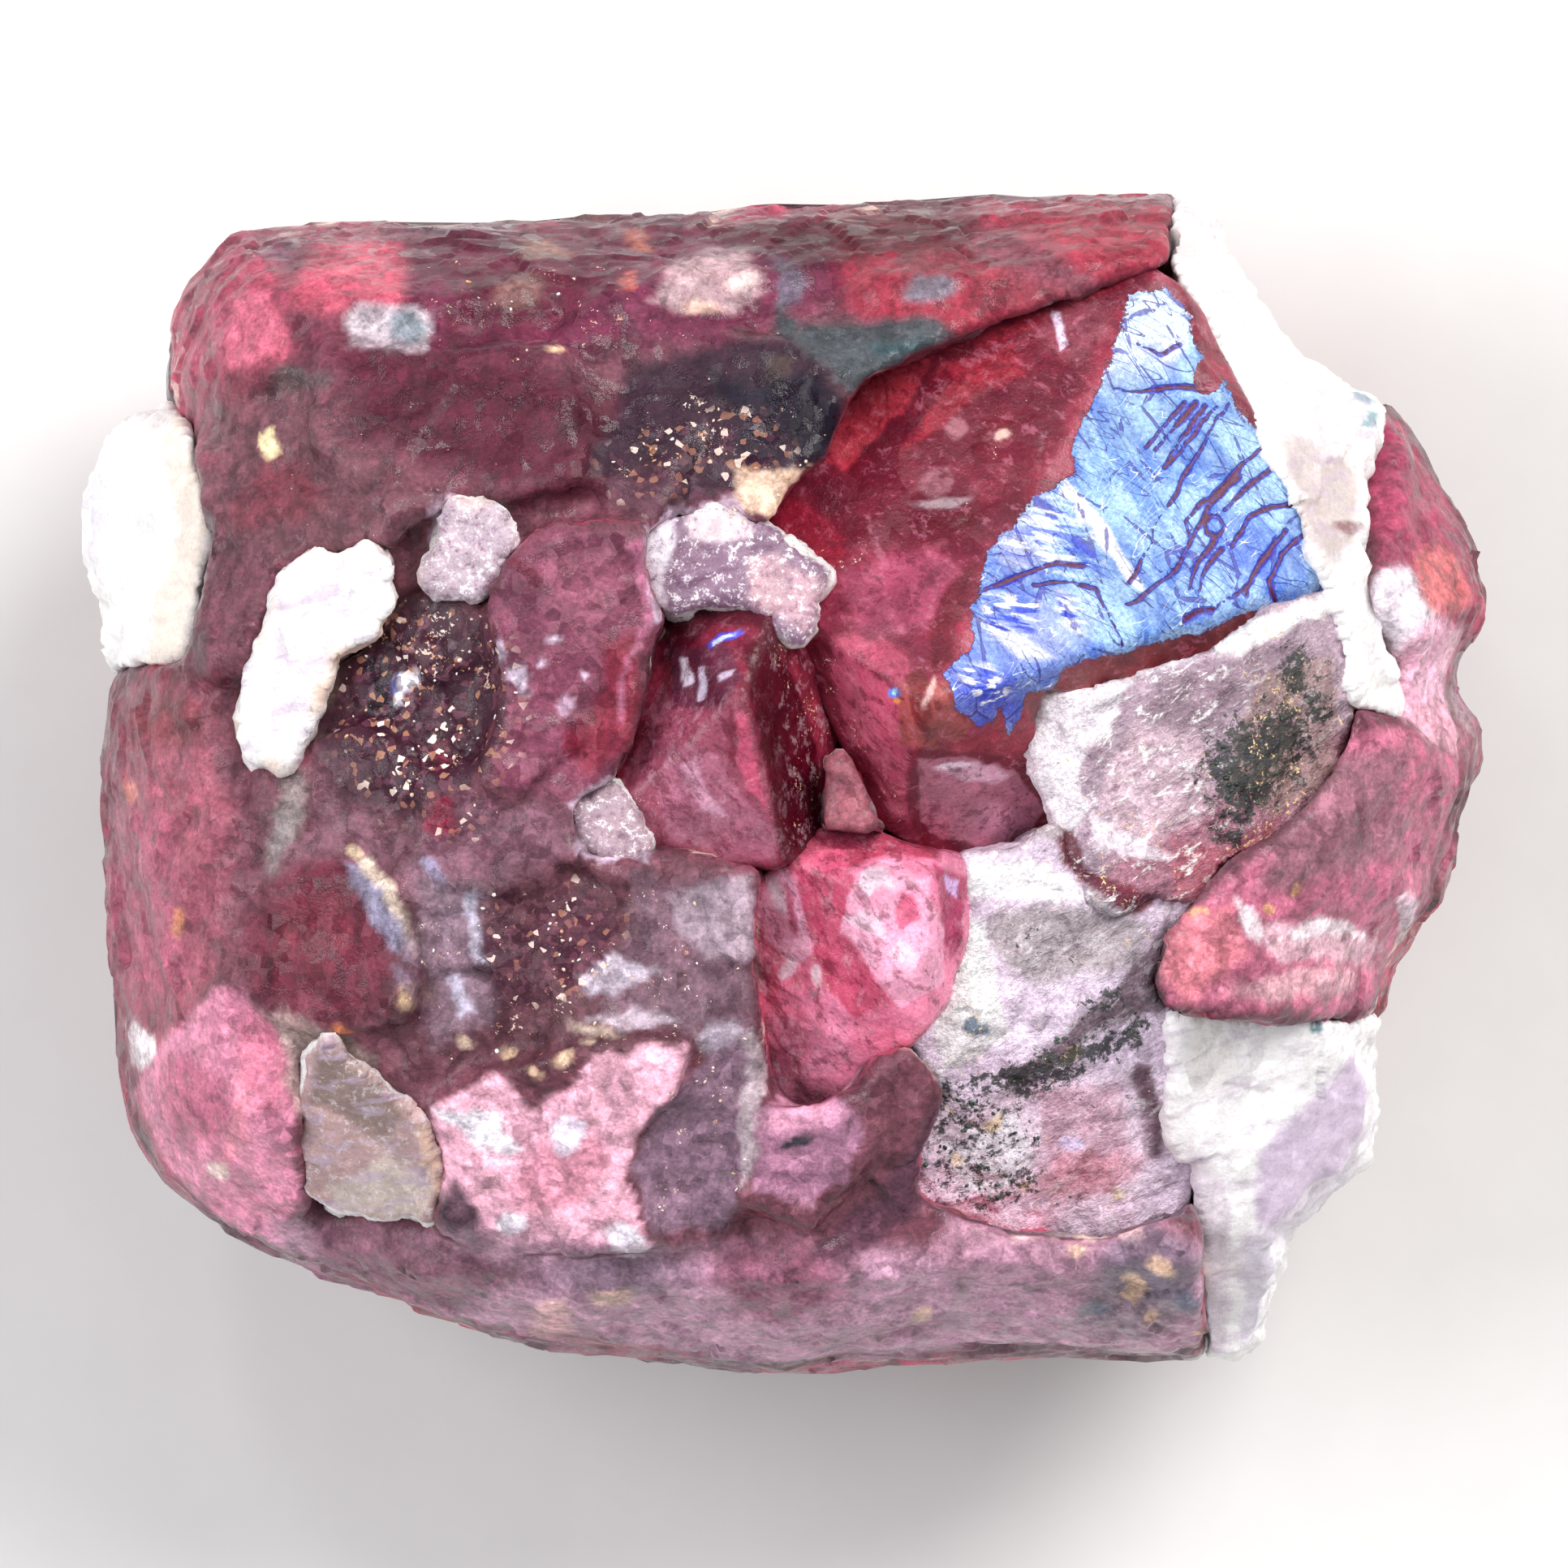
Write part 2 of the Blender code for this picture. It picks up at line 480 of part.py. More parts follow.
def reach_of_plan(angle):
    """How far the plan reaches from the stone's axis at an angle, mm."""
    ray = Vector((math.cos(angle), math.sin(angle)))
    reach = 0.0
    for start, end in zip(STONE_PLAN, STONE_PLAN[1:] + STONE_PLAN[:1]):
        side = Vector(end) - Vector(start)
        across = ray.x * side.y - ray.y * side.x
        if abs(across) < 1e-9:
            continue
        distance = (start[0] * side.y - start[1] * side.x) / across
        share = (start[0] * ray.y - start[1] * ray.x) / across
        if distance > 0 and -1e-6 <= share <= 1 + 1e-6:
            reach = max(reach, distance)
    return reach


def between(pairs, value):
    """Reads a list of (value, result) pairs, in rising order of value, with straight lines between them."""
    for (low, low_result), (high, high_result) in zip(pairs, pairs[1:]):
        if value <= high:
            part = max(0.0, (value - low) / (high - low))
            return low_result + (high_result - low_result) * part
    return pairs[-1][1]


def dome(x, y):
    """Height of the whole stone's upper surface at (x, y), mm."""
    share = math.hypot(x, y) / reach_of_plan(math.atan2(y, x))
    falling = [(reach, height * STONE_HEIGHT) for height, reach in reversed(STONE_SECTION[RIM_LEVEL:])]
    return between(falling, share)


def plane_under_dome(outline, drop, lean):
    """The plane that best follows the dome over an outline, lowered and leaned: (point, upward normal)."""
    middle = middle_of(outline)
    offsets = [(Vector(point) - middle) * 0.7 for point in outline if dome(*point) > STONE_HEIGHT * 0.5]
    rises = [dome(*(middle + offset)) for offset in offsets]
    level = sum(rises) / len(rises)
    sxx = sum(offset.x ** 2 for offset in offsets)
    syy = sum(offset.y ** 2 for offset in offsets)
    sxy = sum(offset.x * offset.y for offset in offsets)
    sxz = sum(offset.x * (rise - level) for offset, rise in zip(offsets, rises))
    syz = sum(offset.y * (rise - level) for offset, rise in zip(offsets, rises))
    divisor = sxx * syy - sxy * sxy
    slope_x = (sxz * syy - syz * sxy) / divisor + lean[0]
    slope_y = (syz * sxx - sxz * sxy) / divisor + lean[1]
    return Vector((middle.x, middle.y, level - drop)), Vector((-slope_x, -slope_y, 1.0)).normalized()


# ---------------------------------------------------------------- solids


def lofted(sections):
    """A closed bmesh through sections, each a list of (x, y, z) in mm with the same count."""
    made = bmesh.new()
    rings = []
    for section in sections:
        corners = [made.verts.new(Vector(point) * MM) for point in section]
        rings.append([made.edges.new((a, b)) for a, b in zip(corners, corners[1:] + corners[:1])])
    for low, high in zip(rings, rings[1:]):
        bmesh.ops.bridge_loops(made, edges=low + high)
    for ring in (rings[0], rings[-1]):
        bmesh.ops.edgeloop_fill(made, edges=ring)
    bmesh.ops.triangulate(made, faces=made.faces)
    bmesh.ops.recalc_face_normals(made, faces=made.faces)
    return made


def shaved(solid, point, facing):
    """Cuts away what lies in front of a plane, and closes the cut with a flat face."""
    geometry = solid.verts[:] + solid.edges[:] + solid.faces[:]
    cut = bmesh.ops.bisect_plane(
        solid, geom=geometry, dist=1e-8, plane_co=Vector(point) * MM, plane_no=facing, clear_outer=True
    )
    edges = [item for item in cut["geom_cut"] if isinstance(item, bmesh.types.BMEdge)]
    if edges:
        bmesh.ops.edgeloop_fill(solid, edges=edges)
    bmesh.ops.triangulate(solid, faces=[face for face in solid.faces if len(face.verts) > 3])


def at_height(outline, height):
    return [(x, y, height) for x, y in outline]


def seat_prism(outline, floor):
    """A seat: drawn in at its floor, and upright from its shoulder to above the stone."""
    return lofted([
        at_height(grown(outline, -SEAT_INSET), floor),
        at_height(outline, floor + SEAT_SHOULDER),
        at_height(outline, ABOVE),
    ])


def section_solid(plan, section_list, uneven):
    """A stone shape from sections of a plan. The rim band stays even, so that the plan stays true."""
    sections = []
    for height, share in section_list:
        section = []
        for x, y in plan:
            reach, rise = share, STONE_HEIGHT * height
            if 0 < height < 1 and share < 1:
                reach *= 1 + uneven.uniform(-JITTER_REACH, JITTER_REACH)
                rise += uneven.uniform(-JITTER_HEIGHT, JITTER_HEIGHT)
            section.append((x * reach, y * reach, rise))
        sections.append(section)
    return lofted(sections)


def whole_stone():
    """The stone before it is parted, with the breaks that cross its flank."""
    solid = section_solid(STONE_PLAN, STONE_SECTION, random.Random(SEED))
    for azimuth, elevation, depth in FLANK_BREAKS:
        across, up = math.radians(azimuth), math.radians(elevation)
        facing = Vector((math.cos(across) * math.cos(up), math.sin(across) * math.cos(up), math.sin(up)))
        farthest = max(vert.co.dot(facing) for vert in solid.verts) / MM
        shaved(solid, facing * (farthest - depth), facing)
    return solid


def crown_grain(outline, drop, lean):
    """An upright grain whose flat top follows the dome, reaching down into the body."""
    points = turned_anticlockwise(outline)
    top, facing = plane_under_dome(points, drop * GRAIN_STEP, lean)
    lowest = max(GRAIN_LOWEST, min(dome(*point) for point in points) - GRAIN_DEPTH)
    wide = grown(points, GRAIN_OVERLAP)
    solid = lofted([at_height(wide, lowest), at_height(wide, ABOVE)])
    shaved(solid, top, facing)
    return solid


def flank_block(start, end, low, high, uneven):
    """A block of the flank between two azimuths and two heights, with its own leaning outer face."""
    middle_height = max(0.0, (low + high) / 2)
    stone_share = between([(height * STONE_HEIGHT, reach) for height, reach in STONE_SECTION], middle_height)
    corners = []
    for angle, height in ((start, low), (end, low), (end, high), (start, high)):
        turned = angle + uneven.uniform(-0.05, 0.05)
        raised = height + uneven.uniform(-0.16, 0.16)
        corners.append((turned, raised))
    sections = []
    for share in (0.45, 1.15):
        sections.append([
            (math.cos(angle) * reach_of_plan(angle) * share, math.sin(angle) * reach_of_plan(angle) * share, height)
            for angle, height in corners
        ])
    solid = lofted(sections)
    left, right = Vector(sections[1][0]), Vector(sections[1][1])
    outward = (right - left).cross(Vector((0, 0, 1))).normalized()
    middle = (start + end) / 2
    face_point = Vector((math.cos(middle), math.sin(middle), 0)) * reach_of_plan(middle) * stone_share
    face_point.z = middle_height
    face_point -= outward * uneven.uniform(*FLANK_DROP)
    lean = Vector((uneven.uniform(-FLANK_LEAN, FLANK_LEAN), uneven.uniform(-FLANK_LEAN, FLANK_LEAN), 0))
    fall = 0.16 if low > 0 else 0.40
    facing = (outward + lean + Vector((0, 0, -fall + uneven.uniform(-FLANK_LEAN, FLANK_LEAN)))).normalized()
    shaved(solid, face_point, facing)
    return solid


# ---------------------------------------------------------------- objects


def clear_scene():
    for thing in list(bpy.data.objects):
        bpy.data.objects.remove(thing)


def collection_named(name):
    made = bpy.data.collections.new(name)
    bpy.context.scene.collection.children.link(made)
    return made


def finish_named(name, colour, roughness):
    finish = bpy.data.materials.new(name)
    finish.use_nodes = True
    shader = finish.node_tree.nodes["Principled BSDF"]
    shader.inputs["Base Color"].default_value = (*colour, 1.0)
    shader.inputs["Roughness"].default_value = roughness
    shader.inputs["Metallic"].default_value = 0.0
    return finish


def object_from(solid, name, collection, finish=None):
    mesh = bpy.data.meshes.new(name)
    bmesh.ops.recalc_face_normals(solid, faces=solid.faces)
    solid.to_mesh(mesh)
    solid.free()
    made = bpy.data.objects.new(name, mesh)
    collection.objects.link(made)
    if finish:
        mesh.materials.append(finish)
    return made


def helper_from(solid, name, collection):
    made = object_from(solid, name, collection)
    made.hide_render = True
    made.display_type = "WIRE"
    return made


def combined_with(target, operation, operand):
    """Adds a Boolean of the target with an object or with all of a collection."""
    modifier = target.modifiers.new(operation.title(), "BOOLEAN")
    modifier.operation = operation
    modifier.solver = "EXACT"
    modifier.use_self = True
    if isinstance(operand, bpy.types.Collection):
        modifier.operand_type = "COLLECTION"
        modifier.collection = operand
    else:
        modifier.object = operand


def flattened(target):
    """Joins the pieces that Booleans leave on one flat face back into one face."""
    modifier = target.modifiers.new("Flat faces", "DECIMATE")
    modifier.decimate_type = "DISSOLVE"
    modifier.angle_limit = SAME_FACE


def build_grains(grains):
    """The grains of the lump: over the crown from the table, and round the flank by rule."""
    for name, (outline, drop, lean) in CROWN_GRAINS.items():
        helper_from(crown_grain(outline, drop, lean), "grain_" + name, grains)
    uneven = random.Random(SEED + 1)
    for row, (low, high) in enumerate(FLANK_ROWS):
        borders = []
        for column in range(FLANK_BLOCKS):
            step = column + row * 0.5 + uneven.uniform(-0.18, 0.18)
            borders.append(2 * math.pi * step / FLANK_BLOCKS)
        borders.append(borders[0] + 2 * math.pi)
        for column, (start, end) in enumerate(zip(borders, borders[1:])):
            block = flank_block(start, end, low, high, uneven)
            helper_from(block, f"flank_block_{row}_{column}", grains)


def build_lump(parts, grained_body, pockets):
    """The lump of intergrown spinel: the stone where its grains are, less the seats of the other pieces."""
    finish = finish_named("massive spinel", (0.16, 0.06, 0.08), 0.45)
    lump = object_from(whole_stone(), "spinel_lump", parts, finish)
    combined_with(lump, "INTERSECT", grained_body)
    combined_with(lump, "DIFFERENCE", pockets)
    flattened(lump)


def build_seated(seat, stone, parts):
    """One crystal or grain: its seat cut by its faces, then kept only where the stone is."""
    solid = seat_prism(grown(seat.outline, -SEAM / 2), seat.floor)
    for a, b, c in seat.faces:
        facing = (Vector(b) - Vector(a)).cross(Vector(c) - Vector(a)).normalized()
        shaved(solid, a, facing if facing.z > 0 else -facing)
    if seat.under_dome is not None:
        shaved(solid, *plane_under_dome(seat.outline, seat.under_dome, (0.0, 0.0)))
    made = object_from(solid, seat.name, parts, finish_named(seat.name, seat.colour, seat.roughness))
    combined_with(made, "INTERSECT", stone)
    flattened(made)


def main():
    clear_scene()
    parts = collection_named("spinel_specimen")
    grains = collection_named("grain_cutters")
    pockets = collection_named("seat_cutters")
    helpers = collection_named("helpers")
    build_grains(grains)
    stone = helper_from(whole_stone(), "stone_before_parting", helpers)
    body = section_solid(STONE_PLAN[::BODY_STEP], BODY_SECTION, random.Random(SEED + 2))
    grained_body = helper_from(body, "grained_body", helpers)
    combined_with(grained_body, "UNION", grains)
    for seat in SEATS:
        cutter = seat_prism(grown(seat.outline, SEAM / 2), seat.floor - SEAM)
        helper_from(cutter, "seat_of_" + seat.name, pockets)
    build_lump(parts, grained_body, pockets)
    for seat in SEATS:
        build_seated(seat, stone, parts)


main()
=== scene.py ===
"""A rough spinel specimen: the broken surfaces and the finish of its crystals, grains and crumbs.

Each piece starts from its solid in the frame, is worked in millimetres, and goes back to metres at the end.
Colours that follow the stone's own patches, among them some painted highlights, reflections and shade, are
painted into the mesh as attributes, and the materials add grain, veils, cracks and specks on top of them in
object coordinates. The blue film's colour is painted reflection.
"""

import itertools
import math

import bmesh
import bpy
import numpy as np
from bpy.props import FloatProperty, IntProperty, PointerProperty
from bpy.types import Operator, Panel, PropertyGroup
from mathutils import Matrix, Vector


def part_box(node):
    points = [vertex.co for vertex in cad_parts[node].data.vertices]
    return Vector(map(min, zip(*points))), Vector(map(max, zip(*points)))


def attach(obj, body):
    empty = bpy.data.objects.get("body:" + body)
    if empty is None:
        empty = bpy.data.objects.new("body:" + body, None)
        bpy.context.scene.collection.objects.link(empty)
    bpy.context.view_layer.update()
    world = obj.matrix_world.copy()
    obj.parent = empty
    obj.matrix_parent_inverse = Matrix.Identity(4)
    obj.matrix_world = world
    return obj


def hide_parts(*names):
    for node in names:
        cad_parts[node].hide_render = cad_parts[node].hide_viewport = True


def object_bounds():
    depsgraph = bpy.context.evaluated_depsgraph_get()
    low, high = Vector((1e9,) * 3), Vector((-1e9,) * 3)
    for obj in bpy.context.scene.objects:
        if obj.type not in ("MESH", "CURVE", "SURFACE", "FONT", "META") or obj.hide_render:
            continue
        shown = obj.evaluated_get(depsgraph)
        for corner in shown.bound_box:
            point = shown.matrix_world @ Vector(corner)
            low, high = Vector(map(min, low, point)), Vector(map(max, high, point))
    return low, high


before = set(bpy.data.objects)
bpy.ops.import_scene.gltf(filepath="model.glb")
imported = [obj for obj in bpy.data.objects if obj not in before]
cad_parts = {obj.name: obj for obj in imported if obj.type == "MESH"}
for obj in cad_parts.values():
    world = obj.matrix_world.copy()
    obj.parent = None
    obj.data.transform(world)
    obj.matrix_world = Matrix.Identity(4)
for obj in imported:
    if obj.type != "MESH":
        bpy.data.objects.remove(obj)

bl_info = {
    "name": "Spinel specimen",
    "version": (1, 0, 0),
    "blender": (4, 5, 0),
    "location": "3D View > Sidebar > Specimen",
    "description": "Builds the finished pieces of a rough spinel specimen over its solids",
    "category": "Object",
}

MM = 0.001
CAD_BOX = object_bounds()
CAD_LOW = np.array(CAD_BOX[0]) / MM
CAD_HIGH = np.array(CAD_BOX[1]) / MM
CROWN_EDGE = 4.8  # height of the crown's edge, mm

# ------------------------------------------------------------------ colours, as screen values


COLOURS = {
    "maroon": (96, 42, 54),
    "plum": (82, 56, 66),
    "wine": (150, 46, 66),
    "rose": (196, 84, 106),
    "mauve": (130, 80, 98),
    "grey_mauve": (118, 92, 100),
    "brown": (98, 66, 64),
    "cream": (250, 228, 206),
    "white": (250, 248, 246),
    "grey": (160, 148, 146),
    "floor": (226, 224, 222),
}


def linear(screen):
    """The linear value of a colour given as 0 to 255 screen values."""
    shares = np.asarray(screen, float) / 255
    return np.where(shares <= 0.04045, shares / 12.92, ((shares + 0.055) / 1.055) ** 2.4)


def tone(name):
    """The linear colour of a palette name, or of plain screen values."""
    return linear(COLOURS[name] if isinstance(name, str) else name)


# ------------------------------------------------------------------ noise, worked for all points at once


PRIMES = tuple(np.uint32(prime) for prime in (374761393, 668265263, 2246822519, 3266489917))
WORD = 2**32


def hashed(cells, salt):
    """A steady random number from 0 to 1 for each row of three whole numbers."""
    x, y, z = (cells[..., axis].astype(np.int64).astype(np.uint32) for axis in range(3))
    mixed = x * PRIMES[0] + y * PRIMES[1] + z * PRIMES[2]
    mixed = mixed + np.uint32(salt * int(PRIMES[3]) % WORD)
    mixed = (mixed ^ (mixed >> np.uint32(15))) * PRIMES[2]
    mixed = (mixed ^ (mixed >> np.uint32(13))) * PRIMES[3]
    return (mixed ^ (mixed >> np.uint32(16))) / (WORD - 1)


def soft_noise(points, size, salt):
    """Smooth noise from -1 to 1 whose lumps are about size mm across."""
    scaled = points / size + salt * 0.371
    corner = np.floor(scaled).astype(np.int64)
    part = scaled - corner
    part = part * part * (3 - 2 * part)
    total = np.zeros(len(points))
    for step in itertools.product((0, 1), repeat=3):
        share = np.prod(np.where(step, part, 1 - part), axis=1)
        total += share * hashed(corner + step, salt)
    return total * 2 - 1


# A turn that lines up with no axis.
TURN = np.array([[0.36, 0.48, -0.80], [-0.80, 0.60, 0.00], [0.48, 0.64, 0.60]])


def layered_noise(points, size, salt, layers=4):
    """Smooth noise with finer layers over it, each half as large and turned against the last."""
    total, weight = np.zeros(len(points)), 0.0
    for layer in range(layers):
        share = 0.5**layer
        total += share * soft_noise(points, size * share, salt + 11 * layer)
        weight += share
        points = points @ TURN
    return total / weight * 1.6


def grains(points, size, salt):
    """Splits space into irregular grains: (middle of each point's grain, its whole numbers, border gap)."""
    scaled = points / size
    corner = np.floor(scaled).astype(np.int64)
    nearest = np.full(len(points), 9.0)
    second = np.full(len(points), 9.0)
    middle = np.zeros_like(points)
    name = np.zeros_like(corner)
    for step in itertools.product((-1, 0, 1), repeat=3):
        cell = corner + step
        seed = cell + np.stack([hashed(cell, salt + axis) for axis in range(3)], axis=1)
        distance = np.linalg.norm(scaled - seed, axis=1)
        closer = distance < nearest
        second = np.where(closer, nearest, np.minimum(second, distance))
        nearest = np.where(closer, distance, nearest)
        middle[closer] = seed[closer]
        name[closer] = cell[closer]
    return middle * size, name, (second - nearest) * size


def broken_facets(points, size, salt):
    """Height of small flat breaks, each grain leaning its own way: about -size/2 to size/2."""
    middle, name, _ = grains(points, size, salt)
    lean = np.stack([hashed(name, salt + 5 + axis) for axis in range(3)], axis=1) * 2 - 1
    return ((points - middle) * lean).sum(axis=1)


def smoothstep(low, high, value):
    part = np.clip((value - low) / (high - low), 0, 1)
    return part * part * (3 - 2 * part)


# ------------------------------------------------------------------ outlines in plan


def squared_distance(start, end, points):
    """The square of each point's distance in plan from one straight stretch, in mm."""
    (ax, ay), (bx, by) = start, end
    x, y, ex, ey = points[:, 0], points[:, 1], bx - ax, by - ay
    share = np.clip(((x - ax) * ex + (y - ay) * ey) / (ex * ex + ey * ey), 0, 1)
    return (x - ax - share * ex) ** 2 + (y - ay - share * ey) ** 2


def depth_inside(outline, points):
    """How far each point is inside an outline in plan, in mm. It is negative outside."""
    x, y = points[:, 0], points[:, 1]
    corners = np.asarray(outline, float)
    nearest = np.full(len(points), np.inf)
    inside = np.zeros(len(points), bool)
    for (ax, ay), (bx, by) in zip(corners, np.roll(corners, -1, axis=0)):
        nearest = np.minimum(nearest, squared_distance((ax, ay), (bx, by), points))
        if by - ay:
            inside ^= ((ay > y) != (by > y)) & (x < (bx - ax) * (y - ay) / (by - ay) + ax)
    return np.sqrt(nearest) * np.where(inside, 1, -1)


def distance_to_lines(lines, points):
    """How far each point is from the nearest of some open lines in plan, in mm."""
    nearest = np.full(len(points), np.inf)
    for line in lines:
        for start, end in zip(line, line[1:]):
            nearest = np.minimum(nearest, squared_distance(start, end, points))
    return np.sqrt(nearest)


def spot_depth(spot, points):
    """Depth inside an oval spot in plan: (x, y, half width, half height), then its turn in degrees if any."""
    x, y, wide, high = spot[:4]
    angle = math.radians(spot[4]) if len(spot) > 4 else 0.0
    dx, dy = points[:, 0] - x, points[:, 1] - y
    along = (dx * math.cos(angle) + dy * math.sin(angle)) / wide
    across = (dy * math.cos(angle) - dx * math.sin(angle)) / high
    return (1 - np.hypot(along, across)) * min(wide, high)


def patch_depth(shape, points):
    return spot_depth(shape, points) if isinstance(shape, tuple) else depth_inside(shape, points)


def plain(colour, points):
    """The same colour for each point."""
    return np.tile(tone(colour), (len(points), 1))


def alike(head, *shapes):
    """Patches that differ in shape alone."""
    return [(*head, shape) for shape in shapes]


def painted(colour, points, patches, salt, ragged=1.0, share=1.0):
    """Lays patches over each other in turn: (colour, softness in mm, strength, outline or spot)."""
    moved = points.copy()
    for axis in range(2):
        wander = layered_noise(points, 0.55, salt + axis, 4) * 0.10
        moved[:, axis] += (wander + soft_noise(points, 0.09, salt + 7 + axis) * 0.03) * ragged
    for name, soft, strength, shape in patches:
        cover = smoothstep(-0.6 * soft, 0.6 * soft, patch_depth(shape, moved)) * strength * share
        colour += (tone(name) - colour) * cover[:, None]
    return colour


# ------------------------------------------------------------------ meshes, in mm


def solid_copy(node):
    """A copy of a node's solid, merged and scaled to mm, as a new object in the scene."""
    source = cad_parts[node]
    mesh = source.data.copy()
    mesh.transform(source.matrix_world)
    mesh.transform(Matrix.Scale(1 / MM, 4))
    form = bmesh.new()
    form.from_mesh(mesh)
    bmesh.ops.remove_doubles(form, verts=form.verts, dist=1e-5)
    form.to_mesh(mesh)
    form.free()
    mesh.materials.clear()
    piece = bpy.data.objects.new(node + "_surface", mesh)
    bpy.context.scene.collection.objects.link(piece)
    return piece


def settled(piece):
    """Turns the piece's modifiers into plain mesh."""
    graph = bpy.context.evaluated_depsgraph_get()
    graph.update()
    mesh = bpy.data.meshes.new_from_object(piece.evaluated_get(graph))
    old = piece.data
    piece.modifiers.clear()
    piece.data = mesh
    bpy.data.meshes.remove(old)
    return piece


def remeshed(piece, voxel):
    """An even mesh over the piece's form, with squares about voxel mm wide."""
    remesh = piece.modifiers.new("Even mesh", "REMESH")
    remesh.mode = "VOXEL"
    remesh.voxel_size = voxel
    return settled(piece)


def coordinates(mesh):
    flat = np.empty(len(mesh.vertices) * 3)
    mesh.vertices.foreach_get("co", flat)
    return flat.reshape(-1, 3)


def normals(mesh):
    flat = np.empty(len(mesh.vertices) * 3)
    mesh.vertex_normals.foreach_get("vector", flat)
    return flat.reshape(-1, 3)


def place(mesh, points):
    mesh.vertices.foreach_set("co", points.astype(np.float32).ravel())
    mesh.update()


def softened(mesh, rounds):
    """Evens out a mesh by drawing each point half way to the middle of its neighbours."""
    ends = np.empty(len(mesh.edges) * 2, np.int64)
    mesh.edges.foreach_get("vertices", ends)
    a, b = ends.reshape(-1, 2).T
    points = coordinates(mesh)
    count = np.bincount(a, minlength=len(points)) + np.bincount(b, minlength=len(points))
    for _ in range(rounds):
        total = np.zeros_like(points)
        for axis in range(3):
            total[:, axis] += np.bincount(a, points[b, axis], len(points))
            total[:, axis] += np.bincount(b, points[a, axis], len(points))
        points += (total / count[:, None] - points) * 0.5
    place(mesh, points)


WEIGHT_STEPS = 4  # how many weights a group of points is given


def thinned(piece, spare, share):
    """Collapses faces where spare is above nought, until share of all the faces is left."""
    group = piece.vertex_groups.new(name="spare")
    weights = np.round(np.clip(spare, 0, 1) * WEIGHT_STEPS).astype(int)
    for step in range(1, WEIGHT_STEPS + 1):
        chosen = np.nonzero(weights == step)[0].tolist()
        if chosen:
            group.add(chosen, step / WEIGHT_STEPS, "REPLACE")
    collapse = piece.modifiers.new("Fewer faces", "DECIMATE")
    collapse.ratio = share
    collapse.vertex_group = group.name
    collapse.vertex_group_factor = 1.0
    return settled(piece)


def unseen(mesh, low, high):
    """How hidden each point of a piece is from above: 1 in pockets and on the base, 0 on the crown."""
    points, facing = coordinates(mesh), normals(mesh)
    side = 1 - smoothstep(-0.15, 0.25, facing[:, 2])
    deep = 1 - smoothstep(low, high, points[:, 2])
    return np.maximum(side, deep)


def keep(mesh, **layers):
    """Stores one number or one colour for each point, under each name given."""
    for name, values in layers.items():
        if values.ndim == 1:
            layer = mesh.attributes.new(name, "FLOAT", "POINT")
            layer.data.foreach_set("value", values.astype(np.float32))
        else:
            layer = mesh.attributes.new(name, "FLOAT_COLOR", "POINT")
            solid = np.ones((len(values), 4), np.float32)
            solid[:, :3] = np.clip(values, 0, 1)
            layer.data.foreach_set("color", solid.ravel())


def finished(piece, name, material, slot, *nodes):
    """Puts a piece back into metres inside the solids' box, dresses it and joins it to the frame."""
    mesh = piece.data
    points = np.clip(coordinates(mesh), CAD_LOW, CAD_HIGH)
    place(mesh, points * MM)
    mesh.materials.clear()
    mesh.materials.append(material)
    mesh.polygons.foreach_set("use_smooth", np.ones(len(mesh.polygons), bool))
    mesh.update()
    piece.vertex_groups.clear()
    piece.name = mesh.name = name
    if nodes:
        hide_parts(*nodes)
    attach(piece, "root")
    return piece


# ------------------------------------------------------------------ materials


